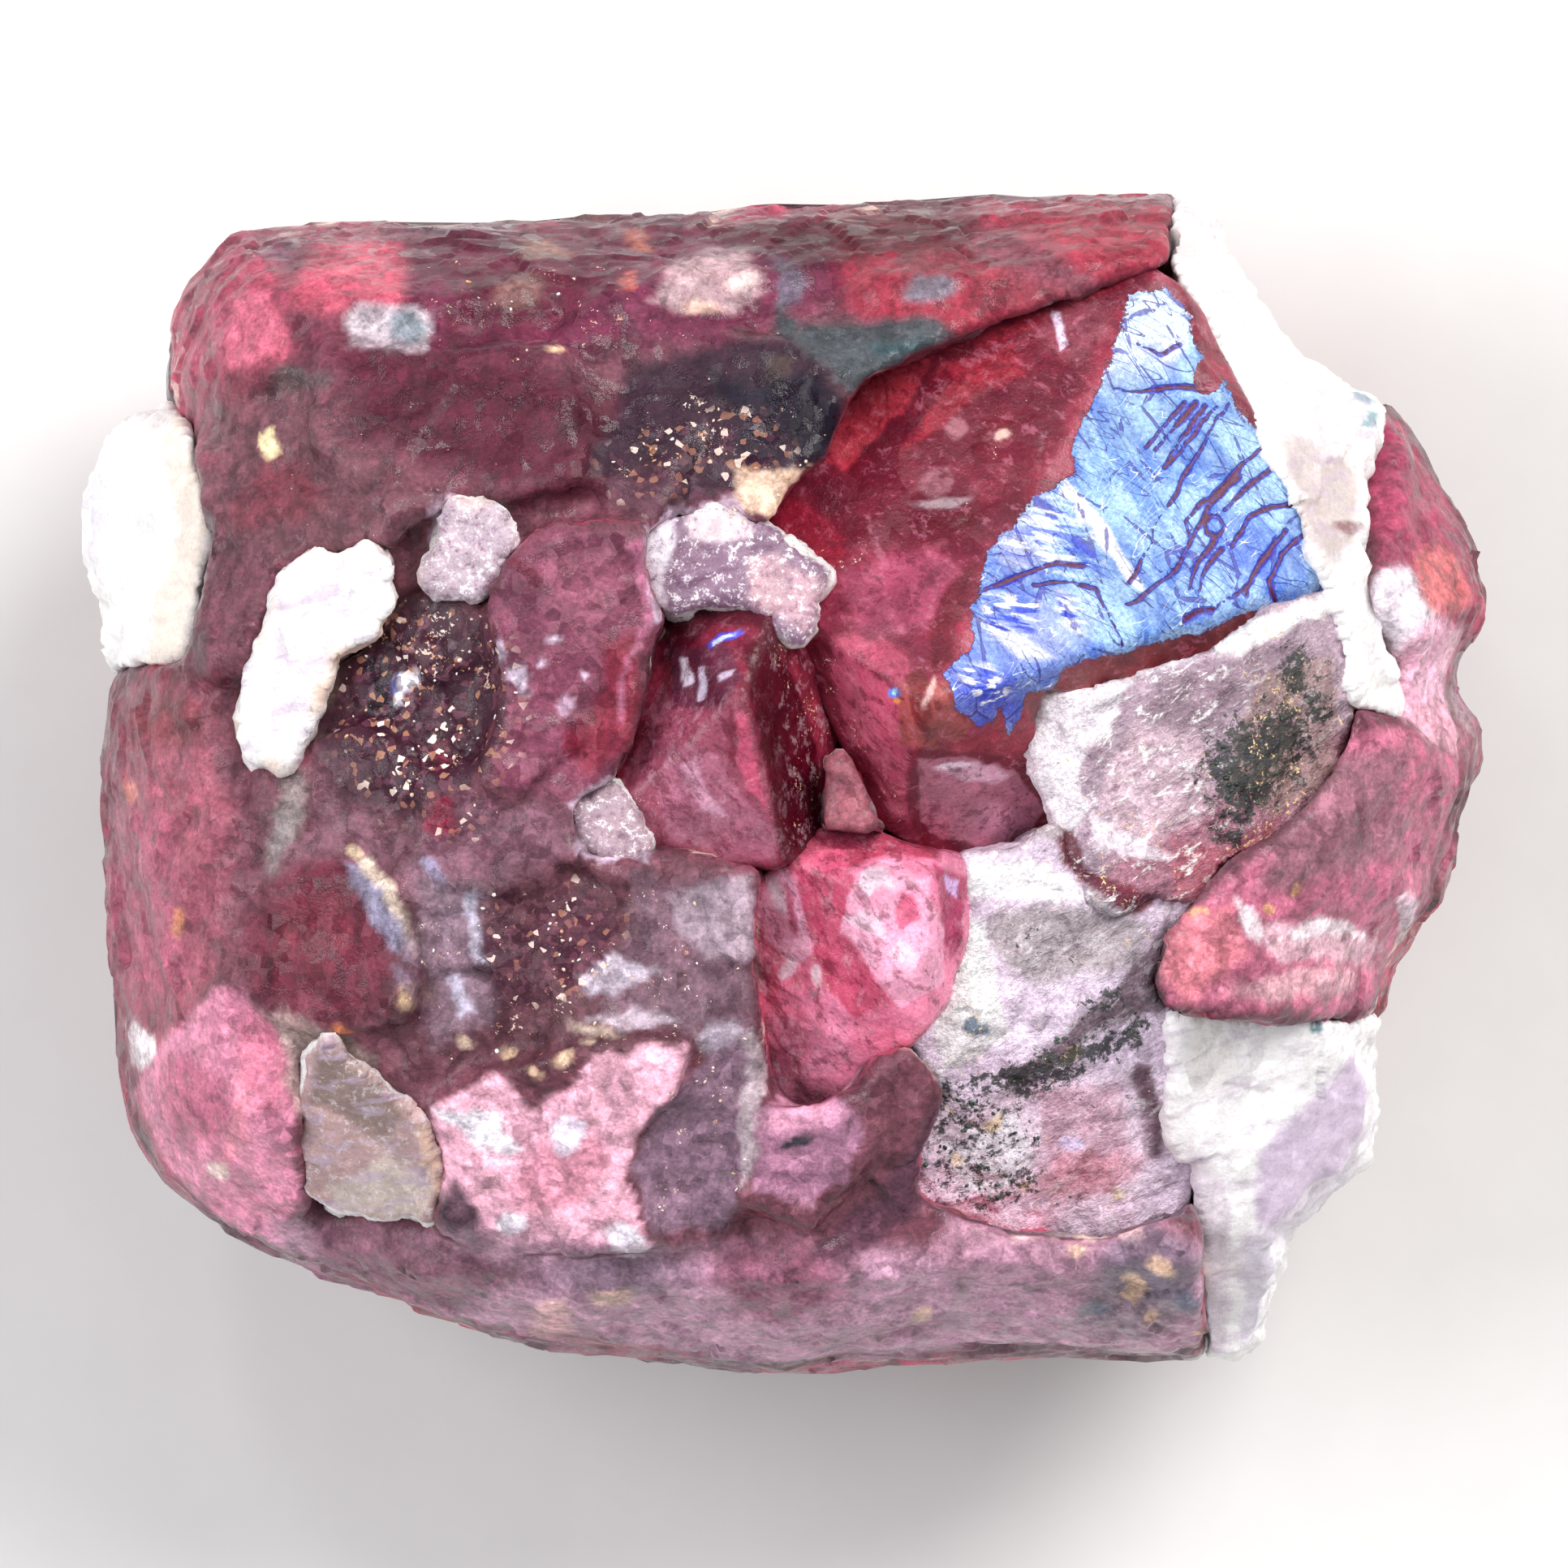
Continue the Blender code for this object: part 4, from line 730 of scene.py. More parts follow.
# Each patch is (colour, softness, strength, outline or spot) and is laid over those above it. A spot is
# (x, y, half width, half height), with its turn in degrees where it has one.
LUMP_PATCHES = [
    # the far band and the corner at its left end
    ((104, 40, 64), 0.3, 1, [(-3.3, 5.2), (0.6, 5.2), (0.6, 4.2), (-0.6, 3.7), (-3.3, 3.6)]),
    ((148, 48, 64), 0.25, 1, [(0.2, 5.3), (3.8, 5.3), (3.4, 4.4), (2.4, 4.1), (1.3, 3.7), (0.5, 4.1)]),
    ((150, 70, 80), 0.2, 0.6, [(1, 4.9), (2.2, 4.5), (2.6, 4.2), (2.1, 4.1), (1, 4.5)]),
    ((118, 66, 78), 0.15, 0.7, [(1.4, 4.95), (2.1, 4.6), (2.9, 4.2), (2.5, 4.1), (1.9, 4.3), (1.2, 4.75)]),
    ((160, 66, 86), 0.2, 1, [(-5.4, 5), (-3.2, 5), (-3.2, 4), (-4.2, 3.6), (-4.6, 3), (-5.4, 3)]),
    ((110, 56, 70), 0.12, 0.9, [(-4.24, 4.9), (-3.9, 4.9), (-3.9, 4.1), (-3.3, 3.9), (-3.3, 3.5),
        (-4.24, 3.4)]),
    ((206, 106, 126), 0.16, 0.9, [(-4.92, 4.05), (-4.6, 4.2), (-4.28, 4.1), (-4.26, 3.6), (-4.6, 3.5),
        (-4.9, 3.7)]),
    ((196, 88, 106), 0.16, 0.9, [(-4.19, 4.1), (-3.9, 4.7), (-3.4, 4.7), (-3.2, 4.3), (-3.25, 3.95),
        (-3.9, 3.98)]),
    ((98, 72, 90), 0.06, 0.8, (-4.33, 4.56, 0.18, 0.13)),
    ((184, 90, 110), 0.12, 0.7, (-5.05, 3.3, 0.22, 0.55, 10)),
    ((132, 84, 92), 0.1, 0.6, (-4.75, 3.05, 0.35, 0.25)),
    # Painted highlight: a whitish patch with a teal spot, for a blurred glint.
    ((206, 198, 200), 0.06, 0.8, [(-3.73, 3.95), (-3.5, 4.03), (-2.97, 4.02), (-3, 3.72), (-3.3, 3.65),
        (-3.65, 3.7)]),
    ((108, 128, 132), 0.05, 0.8, (-3.18, 3.86, 0.16, 0.12)),
    ((214, 176, 150), 0.05, 0.9, (-2.08, 4.5, 0.24, 0.08, -8)),
    ((206, 170, 150), 0.06, 0.8, (-2.24, 4.17, 0.22, 0.1, 25)),
    # Painted highlight: a whitish patch with brighter spots in it, for a blurred glint.
    ((190, 160, 160), 0.1, 0.85, [(-1.15, 4.1), (-0.95, 4.5), (-0.3, 4.52), (-0.25, 4.2), (-0.5, 3.98),
        (-0.9, 4)]),
    ((226, 200, 190), 0.05, 0.8, (-0.42, 4.3, 0.14, 0.07, 10)),
    ((232, 190, 166), 0.04, 0.8, (-0.72, 4.02, 0.16, 0.05)),
    ((226, 140, 110), 0.03, 0.9, (-1.2, 4.68, 0.09, 0.09)),
    ((206, 110, 96), 0.04, 0.8, (-1.35, 4.22, 0.08, 0.08)),
    ((226, 190, 150), 0.03, 0.9, (-1.95, 3.71, 0.09, 0.04)),
    ((232, 210, 150), 0.03, 0.9, (-0.02, 3.48, 0.1, 0.09)),
    ((66, 0, 18), 0.25, 0.95, [(-0.7, 5.2), (1.7, 5.2), (1.5, 4.55), (0.2, 4.4), (-0.6, 4.6)]),
    ((84, 22, 40), 0.25, 0.7, [(-3.3, 5), (-0.7, 5), (-1.3, 4.4), (-1.9, 3.9), (-2.9, 3.8), (-2.7, 4.2),
        (-3.2, 4.4)]),
    # the far field and its hollows
    ((76, 20, 38), 0.35, 0.9, [(-3.8, 3.7), (-2.2, 3.7), (-0.9, 2.9), (-1.2, 2.4), (-2.4, 2.5), (-3.6, 3)]),
    ((104, 66, 72), 0.3, 0.8, [(-5, 3.3), (-4.3, 3.5), (-3.5, 2.9), (-2.9, 2.3), (-3.4, 1.9), (-4.9, 1.9)]),
    ((86, 84, 78), 0.08, 0.6, [(-4.35, 3.5), (-3.85, 3.45), (-3.8, 3.3), (-4.3, 3.25)]),
    ((246, 226, 170), 0.03, 1, (-4.39, 2.82, 0.11, 0.11)),
    ((116, 48, 60), 0.15, 0.7, (-4.3, 2.45, 0.4, 0.25, 20)),
    ((94, 30, 44), 0.1, 0.8, (-5.1, 0.88, 0.36, 0.12, -8)),
    # Near black in the hollow: partly the stone's dark glassy colour, partly painted shade.
    ((46, 26, 40), 0.14, 0.95, [(-1.7, 2.7), (-1.3, 3.5), (-0.4, 3.75), (0.2, 3.7), (0.6, 3.2), (0.3, 2.7),
        (-0.4, 2.4), (-1.1, 2.3)]),
    ((18, 12, 30), 0.1, 0.9, [(-0.6, 3.4), (0.3, 3.4), (0.55, 3.1), (0.2, 2.75), (-0.3, 2.75)]),
    ((88, 54, 64), 0.1, 0.8, (-1.15, 2.48, 0.34, 0.22)),
    ((222, 190, 160), 0.04, 0.95, [(-0.42, 2.72), (-0.2, 2.62), (0.1, 2.66), (0.3, 2.74), (0.1, 2.42),
        (-0.15, 2.2), (-0.42, 2.3)]),
    ((66, 76, 78), 0.1, 0.95, [(-0.1, 4.2), (0.1, 3.85), (0.5, 3.95), (0.9, 3.98), (1.35, 3.9), (1.5, 3.75),
        (0.9, 3.5), (0.6, 3.3), (0.2, 3.6), (-0.05, 3.8)]),
    ((48, 78, 80), 0.05, 0.7, (0.95, 3.72, 0.25, 0.07, -5)),
    ((106, 116, 124), 0.08, 0.8, (1.2, 4.2, 0.2, 0.14)),
    ((98, 100, 112), 0.08, 0.7, (0, 4.25, 0.13, 0.18)),
    # the left side
    ((158, 86, 100), 0.25, 1, [(-6, 0.9), (-4.9, 0.8), (-4.7, 0), (-4.75, -1.4), (-5.1, -2.4), (-6, -2.6)]),
    ((174, 92, 112), 0.2, 0.8, [(-5.8, -0.2), (-5.2, -0.3), (-5.1, -1.6), (-5.9, -1.8)]),
    ((124, 62, 66), 0.15, 0.8, (-5.3, 0.55, 0.4, 0.25)),
    ((228, 150, 110), 0.03, 0.9, (-5.15, -1.18, 0.08, 0.1)),
    ((220, 140, 120), 0.03, 0.8, (-5.6, -0.07, 0.07, 0.09)),
    ((118, 78, 88), 0.2, 0.9, [(-4.5, 0.6), (-3.9, 0.6), (-2.9, 0.1), (-2.9, -0.6), (-3.2, -0.9),
        (-4.4, -0.7)]),
    ((112, 54, 66), 0.15, 0.8, (-4.25, 0.2, 0.22, 0.5, 10)),
    ((150, 150, 140), 0.08, 0.6, (-4.25, -0.35, 0.12, 0.4, -15)),
    ((122, 82, 94), 0.2, 0.9, [(-2.9, 0), (-1.8, -0.2), (-1.7, -0.6), (-2.3, -0.9), (-3.2, -0.9),
        (-3, -0.4)]),
    ((100, 34, 50), 0.2, 0.95, (-3.85, -1.35, 0.72, 0.66)),
    ((122, 44, 58), 0.15, 0.5, (-3.95, -1.25, 0.35, 0.3)),
    ((228, 140, 90), 0.03, 0.9, (-3.74, -2.07, 0.07, 0.07)),
    ((158, 166, 190), 0.06, 0.6, [(-3.7, -0.7), (-3.45, -0.75), (-3, -1.4), (-3.15, -1.6), (-3.5, -1.2)]),
    ((224, 206, 180), 0.05, 0.9, [(-3.58, -0.66), (-3.45, -0.64), (-3, -1.4), (-3.08, -1.52), (-3.3, -1.15)]),
    ((236, 210, 150), 0.04, 0.9, (-3.14, -1.78, 0.14, 0.1, 15)),
    ((178, 172, 202), 0.04, 0.8, [(-3.05, -0.62), (-2.92, -0.66), (-2.72, -1.1), (-2.7, -1.5), (-2.8, -1.5),
        (-2.86, -1.1)]),
    ((236, 226, 230), 0.04, 0.9, (-3.08, -1.46, 0.16, 0.08, -50)),
    ((160, 150, 176), 0.05, 0.7, [(-3.3, -1.55), (-3.15, -1.6), (-2.95, -2.1), (-3.1, -2.1)]),
    ((226, 200, 160), 0.03, 0.9, (-3.58, -0.6, 0.1, 0.05)),
    ((190, 180, 190), 0.06, 0.6, (-2.8, -1.2, 0.06, 0.32, 10)),
    ((92, 56, 63), 0.2, 0.9, [(-3.2, -0.9), (-1.8, -0.7), (-0.9, -0.9), (-0.4, -1.6), (-0.6, -2.2),
        (-2, -2.4), (-3.3, -2.4)]),
    ((86, 50, 60), 0.15, 0.8, (-2.5, -1.6, 0.5, 0.4)),
    ((88, 44, 58), 0.12, 0.8, (-1.75, -1.3, 0.28, 0.32, 20)),
    ((118, 90, 100), 0.12, 0.8, [(-1.35, -0.75), (-0.3, -0.8), (-0.25, -2), (-0.9, -2.1), (-1.5, -1.8),
        (-1.3, -1.3)]),
    ((160, 138, 150), 0.2, 0.5, [(-3.1, -0.8), (-2.5, -0.9), (-2.5, -1.9), (-3, -2.2)]),
    ((218, 214, 228), 0.03, 0.8, [(-2.68, -0.95), (-2.6, -0.93), (-2.52, -1.25), (-2.44, -1.55),
        (-2.54, -1.5), (-2.64, -1.2)]),
    ((204, 200, 216), 0.03, 0.7, [(-2.92, -1.62), (-2.78, -1.6), (-2.66, -1.85), (-2.8, -1.92)]),
    ((216, 206, 216), 0.04, 0.8, [(-1.72, -1.6), (-1.4, -1.5), (-1.06, -1.66), (-1.3, -1.74),
        (-1.62, -1.74)]),
    ((196, 182, 190), 0.04, 0.7, [(-1.66, -1.9), (-1.2, -1.86), (-0.86, -1.98), (-1.3, -2.02)]),
    *alike(((232, 200, 160), 0.03, 0.85), (-2.42, -2.28, 0.07, 0.05), (-2.12, -2.42, 0.06, 0.05),
        (-1.86, -2.3, 0.08, 0.05, 20)),
    *alike(((232, 206, 176), 0.03, 0.8), (-1.62, -2.16, 0.06, 0.04), (-2.74, -2.14, 0.07, 0.05, -20)),
    ((168, 150, 158), 0.05, 0.8, [(-1, -0.85), (-0.3, -0.82), (-0.28, -1.5), (-0.7, -1.55), (-0.95, -1.25)]),
    ((206, 196, 206), 0.06, 0.7, (-0.55, -2.1, 0.22, 0.12, 30)),
    ((200, 180, 160), 0.05, 0.8, (-1.6, -2.02, 0.2, 0.05, -8)),
    # the pit of broken glassy grains
    ((70, 38, 48), 0.15, 0.95, (-3.23, 0.72, 0.86, 0.92)),
    ((96, 84, 70), 0.08, 0.7, [(-3.95, 1.1), (-3.6, 1.5), (-3.3, 1.55), (-3.6, 1.1), (-3.75, 0.7),
        (-3.95, 0.6)]),
    ((20, 10, 22), 0.05, 0.95, (-3.42, 0.76, 0.15, 0.3)),
    # Painted highlight: a white crescent and a bluish reflection beside it on the pit's glassy grain.
    ((246, 246, 255), 0.015, 1, [(-3.3, 0.96), (-3.18, 1), (-3.1, 0.92), (-3.16, 0.92), (-3.24, 0.86),
        (-3.28, 0.74), (-3.34, 0.66), (-3.36, 0.8)]),
    ((120, 130, 190), 0.015, 0.9, [(-3.38, 0.9), (-3.34, 0.96), (-3.32, 0.8), (-3.38, 0.68)]),
    ((122, 24, 48), 0.05, 0.95, [(-3, -0.05), (-2.82, -0.1), (-2.72, -0.35), (-2.9, -0.45), (-3, -0.3)]),
    ((120, 30, 50), 0.04, 0.9, (-2.85, 0.25, 0.1, 0.1)),
    # the mauve crystal
    ((124, 66, 84), 0.05, 1, [(-2.46, 1.52), (-2.28, 1.86), (-1.95, 2.12), (-1.22, 2.1), (-1.06, 1.52),
        (-1.16, 0.78), (-1.45, 0.02), (-1.78, -0.18), (-2.44, 0.06), (-2.32, 0.8)]),
    ((148, 88, 104), 0.15, 0.6, (-1.75, 1.65, 0.4, 0.3, 30)),
    ((132, 34, 52), 0.12, 0.75, [(-1.52, 1.3), (-1.14, 1.3), (-1.12, 0.7), (-1.3, 0.2), (-1.7, 0.05),
        (-1.75, 0.4), (-1.5, 0.8)]),
    ((104, 28, 44), 0.03, 0.85, [(-2.26, 1.92), (-2.12, 1.86), (-2.02, 1.64), (-2.1, 1.58), (-2.2, 1.72)]),
    ((108, 60, 76), 0.08, 0.7, [(-2.3, 1.9), (-2, 1.7), (-1.85, 1.3), (-2.1, 1.1), (-2.35, 1.5)]),
    *alike(((226, 214, 228), 0.03, 0.8), (-2.2, 0.85, 0.06, 0.14, 10), (-2.36, 1.1, 0.05, 0.1)),
    ((112, 24, 46), 0.05, 0.9, (-1.68, 0.38, 0.12, 0.14)),
    *alike(((222, 206, 222), 0.02, 0.8), (-2.02, 0.98, 0.04, 0.04), (-1.94, 1.22, 0.04, 0.03),
        (-1.72, 0.88, 0.03, 0.05, 20)),
    ((206, 176, 196), 0.03, 0.7, (-1.86, 0.66, 0.05, 0.08, 30)),
    ((190, 116, 142), 0.03, 0.8, [(-1.3, 2.05), (-1.16, 2.05), (-1.12, 1.5), (-1.22, 0.9), (-1.34, 0.5),
        (-1.28, 0.95), (-1.22, 1.5)]),
    # the near side, from left to right
    ((218, 140, 162), 0.08, 1, [(-5.6, -2.6), (-5.2, -2.1), (-4.85, -1.7), (-4.5, -1.8), (-4.2, -2.3),
        (-4.12, -3), (-4.1, -3.6), (-4.4, -4.1), (-5.2, -3.7)]),
    ((214, 120, 142), 0.1, 0.7, (-4.4, -2.4, 0.2, 0.4, 10)),
    ((226, 196, 184), 0.06, 0.8, (-4.12, -2.35, 0.12, 0.45, 12)),
    ((224, 140, 150), 0.06, 0.6, (-4.65, -2.9, 0.07, 0.5, -12)),
    ((168, 76, 102), 0.15, 0.6, (-5, -2.7, 0.3, 0.4, 20)),
    ((252, 244, 240), 0.04, 1, (-5.5, -2.22, 0.15, 0.2)),
    ((250, 226, 210), 0.04, 0.9, (-4.78, -3.3, 0.12, 0.07)),
    ((158, 140, 130), 0.08, 0.9, [(-4.4, -1.95), (-3.9, -2.05), (-3.5, -2.3), (-3.6, -2.6), (-4.1, -2.4)]),
    ((244, 184, 198), 0.06, 1, [(-3, -2.75), (-2.5, -2.45), (-2.2, -2.75), (-1.8, -2.5), (-1.3, -2.2),
        (-0.85, -2.2), (-1, -2.6), (-1.3, -3), (-1.35, -3.4), (-1.15, -3.9), (-2.4, -3.95), (-2.9, -3.5)]),
    ((206, 124, 142), 0.12, 0.6, (-1.9, -3.3, 0.4, 0.3, 30)),
    # Painted highlights: blown-out white spots on the pink grain.
    ((252, 246, 248), 0.05, 1, [(-3, -2.75), (-2.5, -2.75), (-2.25, -3.05), (-2.4, -3.1), (-2.7, -2.95)]),
    ((252, 240, 250), 0.04, 0.9, (-1.9, -2.95, 0.14, 0.18)),
    *alike(((252, 246, 250), 0.03, 1), (-2.25, -3.75, 0.12, 0.12), (-1.35, -3.88, 0.16, 0.1, -20)),
    ((132, 104, 118), 0.08, 1, [(-0.95, -2.55), (-0.6, -2.2), (-0.25, -2), (-0.25, -3), (-0.5, -3.8),
        (-1.1, -3.8), (-1.3, -3.3), (-1.2, -2.95)]),
    ((206, 190, 190), 0.05, 0.8, [(-0.38, -2.1), (-0.24, -2), (-0.2, -3.3), (-0.34, -3.5), (-0.42, -3)]),
    ((60, 44, 56), 0.08, 0.9, (-2.72, -3.65, 0.16, 0.3, 10)),
    ((170, 120, 142), 0.05, 1, [(-0.22, -2.75), (0.55, -2.7), (0.72, -2.95), (0.5, -3.4), (0.2, -3.62),
        (-0.25, -3.5)]),
    ((222, 160, 180), 0.08, 0.7, (0.15, -2.85, 0.35, 0.12)),
    *alike(((206, 184, 198), 0.03, 0.8), [(-3, 2.1), (-2.88, 2.44), (-2.68, 2.46), (-2.42, 2.34),
        (-2.24, 2.04), (-2.46, 1.8), (-2.9, 1.8)], [(-1.84, -0.16), (-1.62, -0.02), (-1.38, 0.04),
        (-1.36, -0.2), (-1.14, -0.62), (-1.5, -0.68), (-1.76, -0.58)], [(-1.18, 2.06), (-0.92, 2.34),
        (-0.6, 2.28), (-0.4, 2.34), (-0.28, 2.1), (0.26, 1.94), (0.36, 1.72), (0.2, 1.2), (-0.2, 1.5),
        (-1.16, 1.4)]),
    ((30, 46, 50), 0.02, 0.9, (0.14, -3.07, 0.16, 0.05, 15)),
    ((194, 150, 168), 0.3, 1, [(-4.4, -3.8), (-2.8, -3.8), (-1.2, -4), (3.6, -3.9), (4, -5.2), (-4.6, -5.2)]),
    ((128, 84, 96), 0.2, 0.9, [(-4, -3.7), (-2.9, -3.8), (-2.1, -4.2), (-3, -4.5), (-4.1, -4.1)]),
    ((110, 100, 112), 0.15, 0.6, (-1.4, -4.15, 0.6, 0.2, 5)),
    ((138, 66, 86), 0.2, 0.7, (0, -4.2, 0.6, 0.3)),
    ((240, 190, 180), 0.06, 0.8, (-2, -4.55, 0.22, 0.14, 20)),
    ((240, 200, 176), 0.05, 0.8, (-1.45, -4.4, 0.12, 0.1)),
    ((178, 134, 150), 0.2, 0.7, [(1.4, -3.6), (3.3, -3.5), (3.5, -4.2), (2.4, -4.4), (1.2, -4.1)]),
    ((120, 118, 120), 0.15, 0.6, (3, -4.4, 0.5, 0.3, 10)),
    # the right side
    ((96, 60, 74), 0.08, 0.9, [(3.46, -0.98), (3.2, -1.3), (1.3, -2.8), (0.3, -4), (0.6, -4.1), (1.7, -2.9),
        (3, -1.8), (3.5, -1.3)]),
    ((190, 108, 130), 0.1, 1, [(4.8, 0.7), (5.5, 0.3), (5.9, 0.1), (5.8, -0.75), (5.2, -1.6), (5, -1.95),
        (3.2, -1.95), (3.25, -1.4), (3.5, -1), (4.3, -0.4), (4.7, 0.2)]),
    ((132, 98, 104), 0.14, 0.7, [(4.6, 0.3), (5.3, 0.2), (5.3, -0.5), (4.5, -0.9), (4, -0.9), (4.2, -0.4)]),
    ((220, 132, 140), 0.1, 0.9, [(3.2, -1.2), (3.8, -1), (3.9, -1.5), (3.4, -1.95), (3.15, -1.6)]),
    ((226, 190, 196), 0.08, 0.75, [(3.9, -1.25), (4.5, -1.15), (5.1, -1.3), (4.9, -1.6), (4.2, -1.5)]),
    ((236, 196, 196), 0.06, 0.6, (4.3, -1.75, 0.5, 0.12, 5)),
    *alike(((250, 236, 236), 0.03, 0.85), [(3.84, -0.98), (4.02, -1.04), (4.1, -1.28), (4.02, -1.42),
        (3.88, -1.22)], [(4.3, -1.22), (4.62, -1.18), (4.96, -1.3), (4.7, -1.36), (4.4, -1.34)]),
    ((250, 236, 240), 0.03, 0.75, [(5.16, -1), (5.34, -0.92), (5.48, -1.1), (5.3, -1.2)]),
    *alike(((240, 180, 130), 0.02, 0.85), (4.18, -1.06, 0.06, 0.04), (3.52, -1.1, 0.05, 0.04),
        (4.42, -0.86, 0.06, 0.04, 30)),
    ((160, 66, 92), 0.15, 1, [(5, 3.3), (5.4, 3.1), (6.1, 1.8), (6, 1.2), (5.4, 1.1), (5, 1.7), (4.95, 2.6)]),
    ((246, 236, 240), 0.1, 1, [(4.95, 1.75), (5.3, 1.85), (5.55, 1.5), (5.5, 1.2), (5.2, 1.1), (5, 1.4)]),
    ((250, 196, 212), 0.1, 0.95, (5.5, 0.95, 0.35, 0.45)),
    ((232, 172, 184), 0.1, 0.9, [(5.2, 0.6), (5.6, 0.75), (6, 0.5), (5.95, 0.1), (5.5, 0.35)]),
    ((226, 130, 120), 0.08, 0.6, (5.6, 1.7, 0.2, 0.3, 20)),
    ((96, 44, 58), 0.1, 0.9, [(4.75, 0.75), (5, 0.75), (5.2, 0.5), (4.8, 0.45)]),
    ((146, 84, 92), 0.06, 1, [(0.22, 0.55), (0.5, 0.5), (0.95, -0.5), (0.2, -0.6)]),
    # spots in the near band
    ((96, 96, 110), 0.15, 0.6, (3.15, -4.1, 0.4, 0.3)),
    *alike(((244, 206, 170), 0.04, 0.9), (3.22, -4.12, 0.09, 0.08), (2.95, -4.27, 0.08, 0.07),
        (3.13, -4.52, 0.07, 0.07)),
    *alike(((244, 206, 170), 0.04, 0.8), (3.62, -4.66, 0.08, 0.06), (1.22, -4.52, 0.08, 0.06),
        (2.56, -3.95, 0.07, 0.05)),
    *alike(((90, 110, 122), 0.05, 0.7), (3.45, -4.35, 0.12, 0.1), (2.7, -4.45, 0.14, 0.08)),
    ((236, 196, 190), 0.06, 0.8, [(1.9, -3.72), (2.6, -3.66), (3.1, -3.78), (3.1, -3.92), (2.5, -3.84),
        (1.9, -3.86)]),
]

# Where cream flecks crowd, and where there are few: (level, softness, shape), laid over each other in turn.
LUMP_FLECKS = [
    (1, 0.2, (-3, 0.75, 0.75, 0.9)),
    (0.8, 0.2, [(-1.6, 2.6), (-0.8, 3.5), (0.4, 3.2), (0.2, 2.5), (-1.1, 2.3)]),
    (1, 0.1, [(-0.9, 3.4), (-0.4, 3.5), (-0.2, 2.9), (-0.3, 2.5), (-0.9, 2.7)]),
    *alike((0.8, 0.2), [(-3.2, -0.9), (-1, -0.8), (-0.3, -2), (-2, -2.6), (-3.2, -2.4)], [(-1.2, -2.2),
        (-0.3, -2), (-0.3, -3.7), (-1.2, -3.7)]),
    (0.7, 0.3, [(-3.3, 4.6), (0.2, 4.7), (0.2, 3.8), (-3.3, 3.4)]),
    (0.5, 0.3, [(-4.6, 3.2), (-2.4, 3), (-2.4, 2), (-4.6, 2)]),
    (0.9, 0.2, (4.6, -1.4, 0.9, 0.35)),
    (0.6, 0.2, [(2.4, -4), (3.6, -4), (3.6, -4.8), (2.4, -4.8)]),
    *alike((0, 0.1), [(-2.2, 2), (-1.2, 2), (-1.1, 0.8), (-1.5, 0.1), (-2.2, 0.3)], (0.2, -3.1, 0.5, 0.4)),
]

# Where the spinel is broken into dark glassy grains.
LUMP_GLASS = [
    (1, 0.25, (-3.02, 0.62, 0.74, 0.86)),
    (0.7, 0.12, [(-2.4, -0.85), (-1.7, -0.8), (-1.3, -1.1), (-1.5, -1.7), (-2.2, -1.9), (-2.7, -1.5)]),
    (0.6, 0.1, [(-1.6, 2.75), (-1, 3.1), (-0.2, 3.2), (0.1, 2.8), (-0.4, 2.5), (-1.4, 2.4)]),
    (0.6, 0.06, [(-3, 0), (-2.4, 0), (-2.4, -0.45), (-3, -0.5)]),
]

# The lump's glassy pit, and where its broken relief is smoother.
LUMP_PIT = [(1, 0.15, (-3.05, 0.7, 0.62, 0.8))]
LUMP_SMOOTH = [
    (0.75, 0.08, (-1.75, 1.1, 0.55, 0.9, 20)),
    (0.6, 0.3, (-5, -2.9, 0.7, 0.9)),
    (0.5, 0.3, (-3.85, -1.35, 0.6, 0.6)),
    (0.5, 0.2, (0.1, -3.1, 0.5, 0.4)),
]

# The outline of the blue face, and the cracks in its film.
BLUE_FACE = [
    (2.94, 4.12), (3.23, 4.21), (3.36, 4.05), (3.42, 3.89), (3.49, 3.63), (3.71, 3.37), (3.84, 3.18),
    (4.04, 2.89), (4.23, 2.6), (4.36, 2.34), (4.43, 2.08), (4.56, 1.76), (4.6, 1.62), (4.23, 1.54),
    (3.78, 1.46), (3.59, 1.34), (3.2, 1.27), (2.94, 1.17), (2.62, 1.11), (2.36, 1.01), (2.23, 0.85),
    (2.03, 0.79), (1.97, 0.59), (1.87, 0.46), (1.82, 0.7), (1.65, 0.5), (1.45, 0.66), (1.32, 0.92),
    (1.52, 1.08), (1.61, 1.24), (1.58, 1.43), (1.71, 1.76), (1.74, 1.95), (1.97, 2.21), (2.1, 2.4),
    (2.45, 2.63), (2.39, 2.79), (2.52, 3.05), (2.68, 3.37), (2.87, 3.82),
]
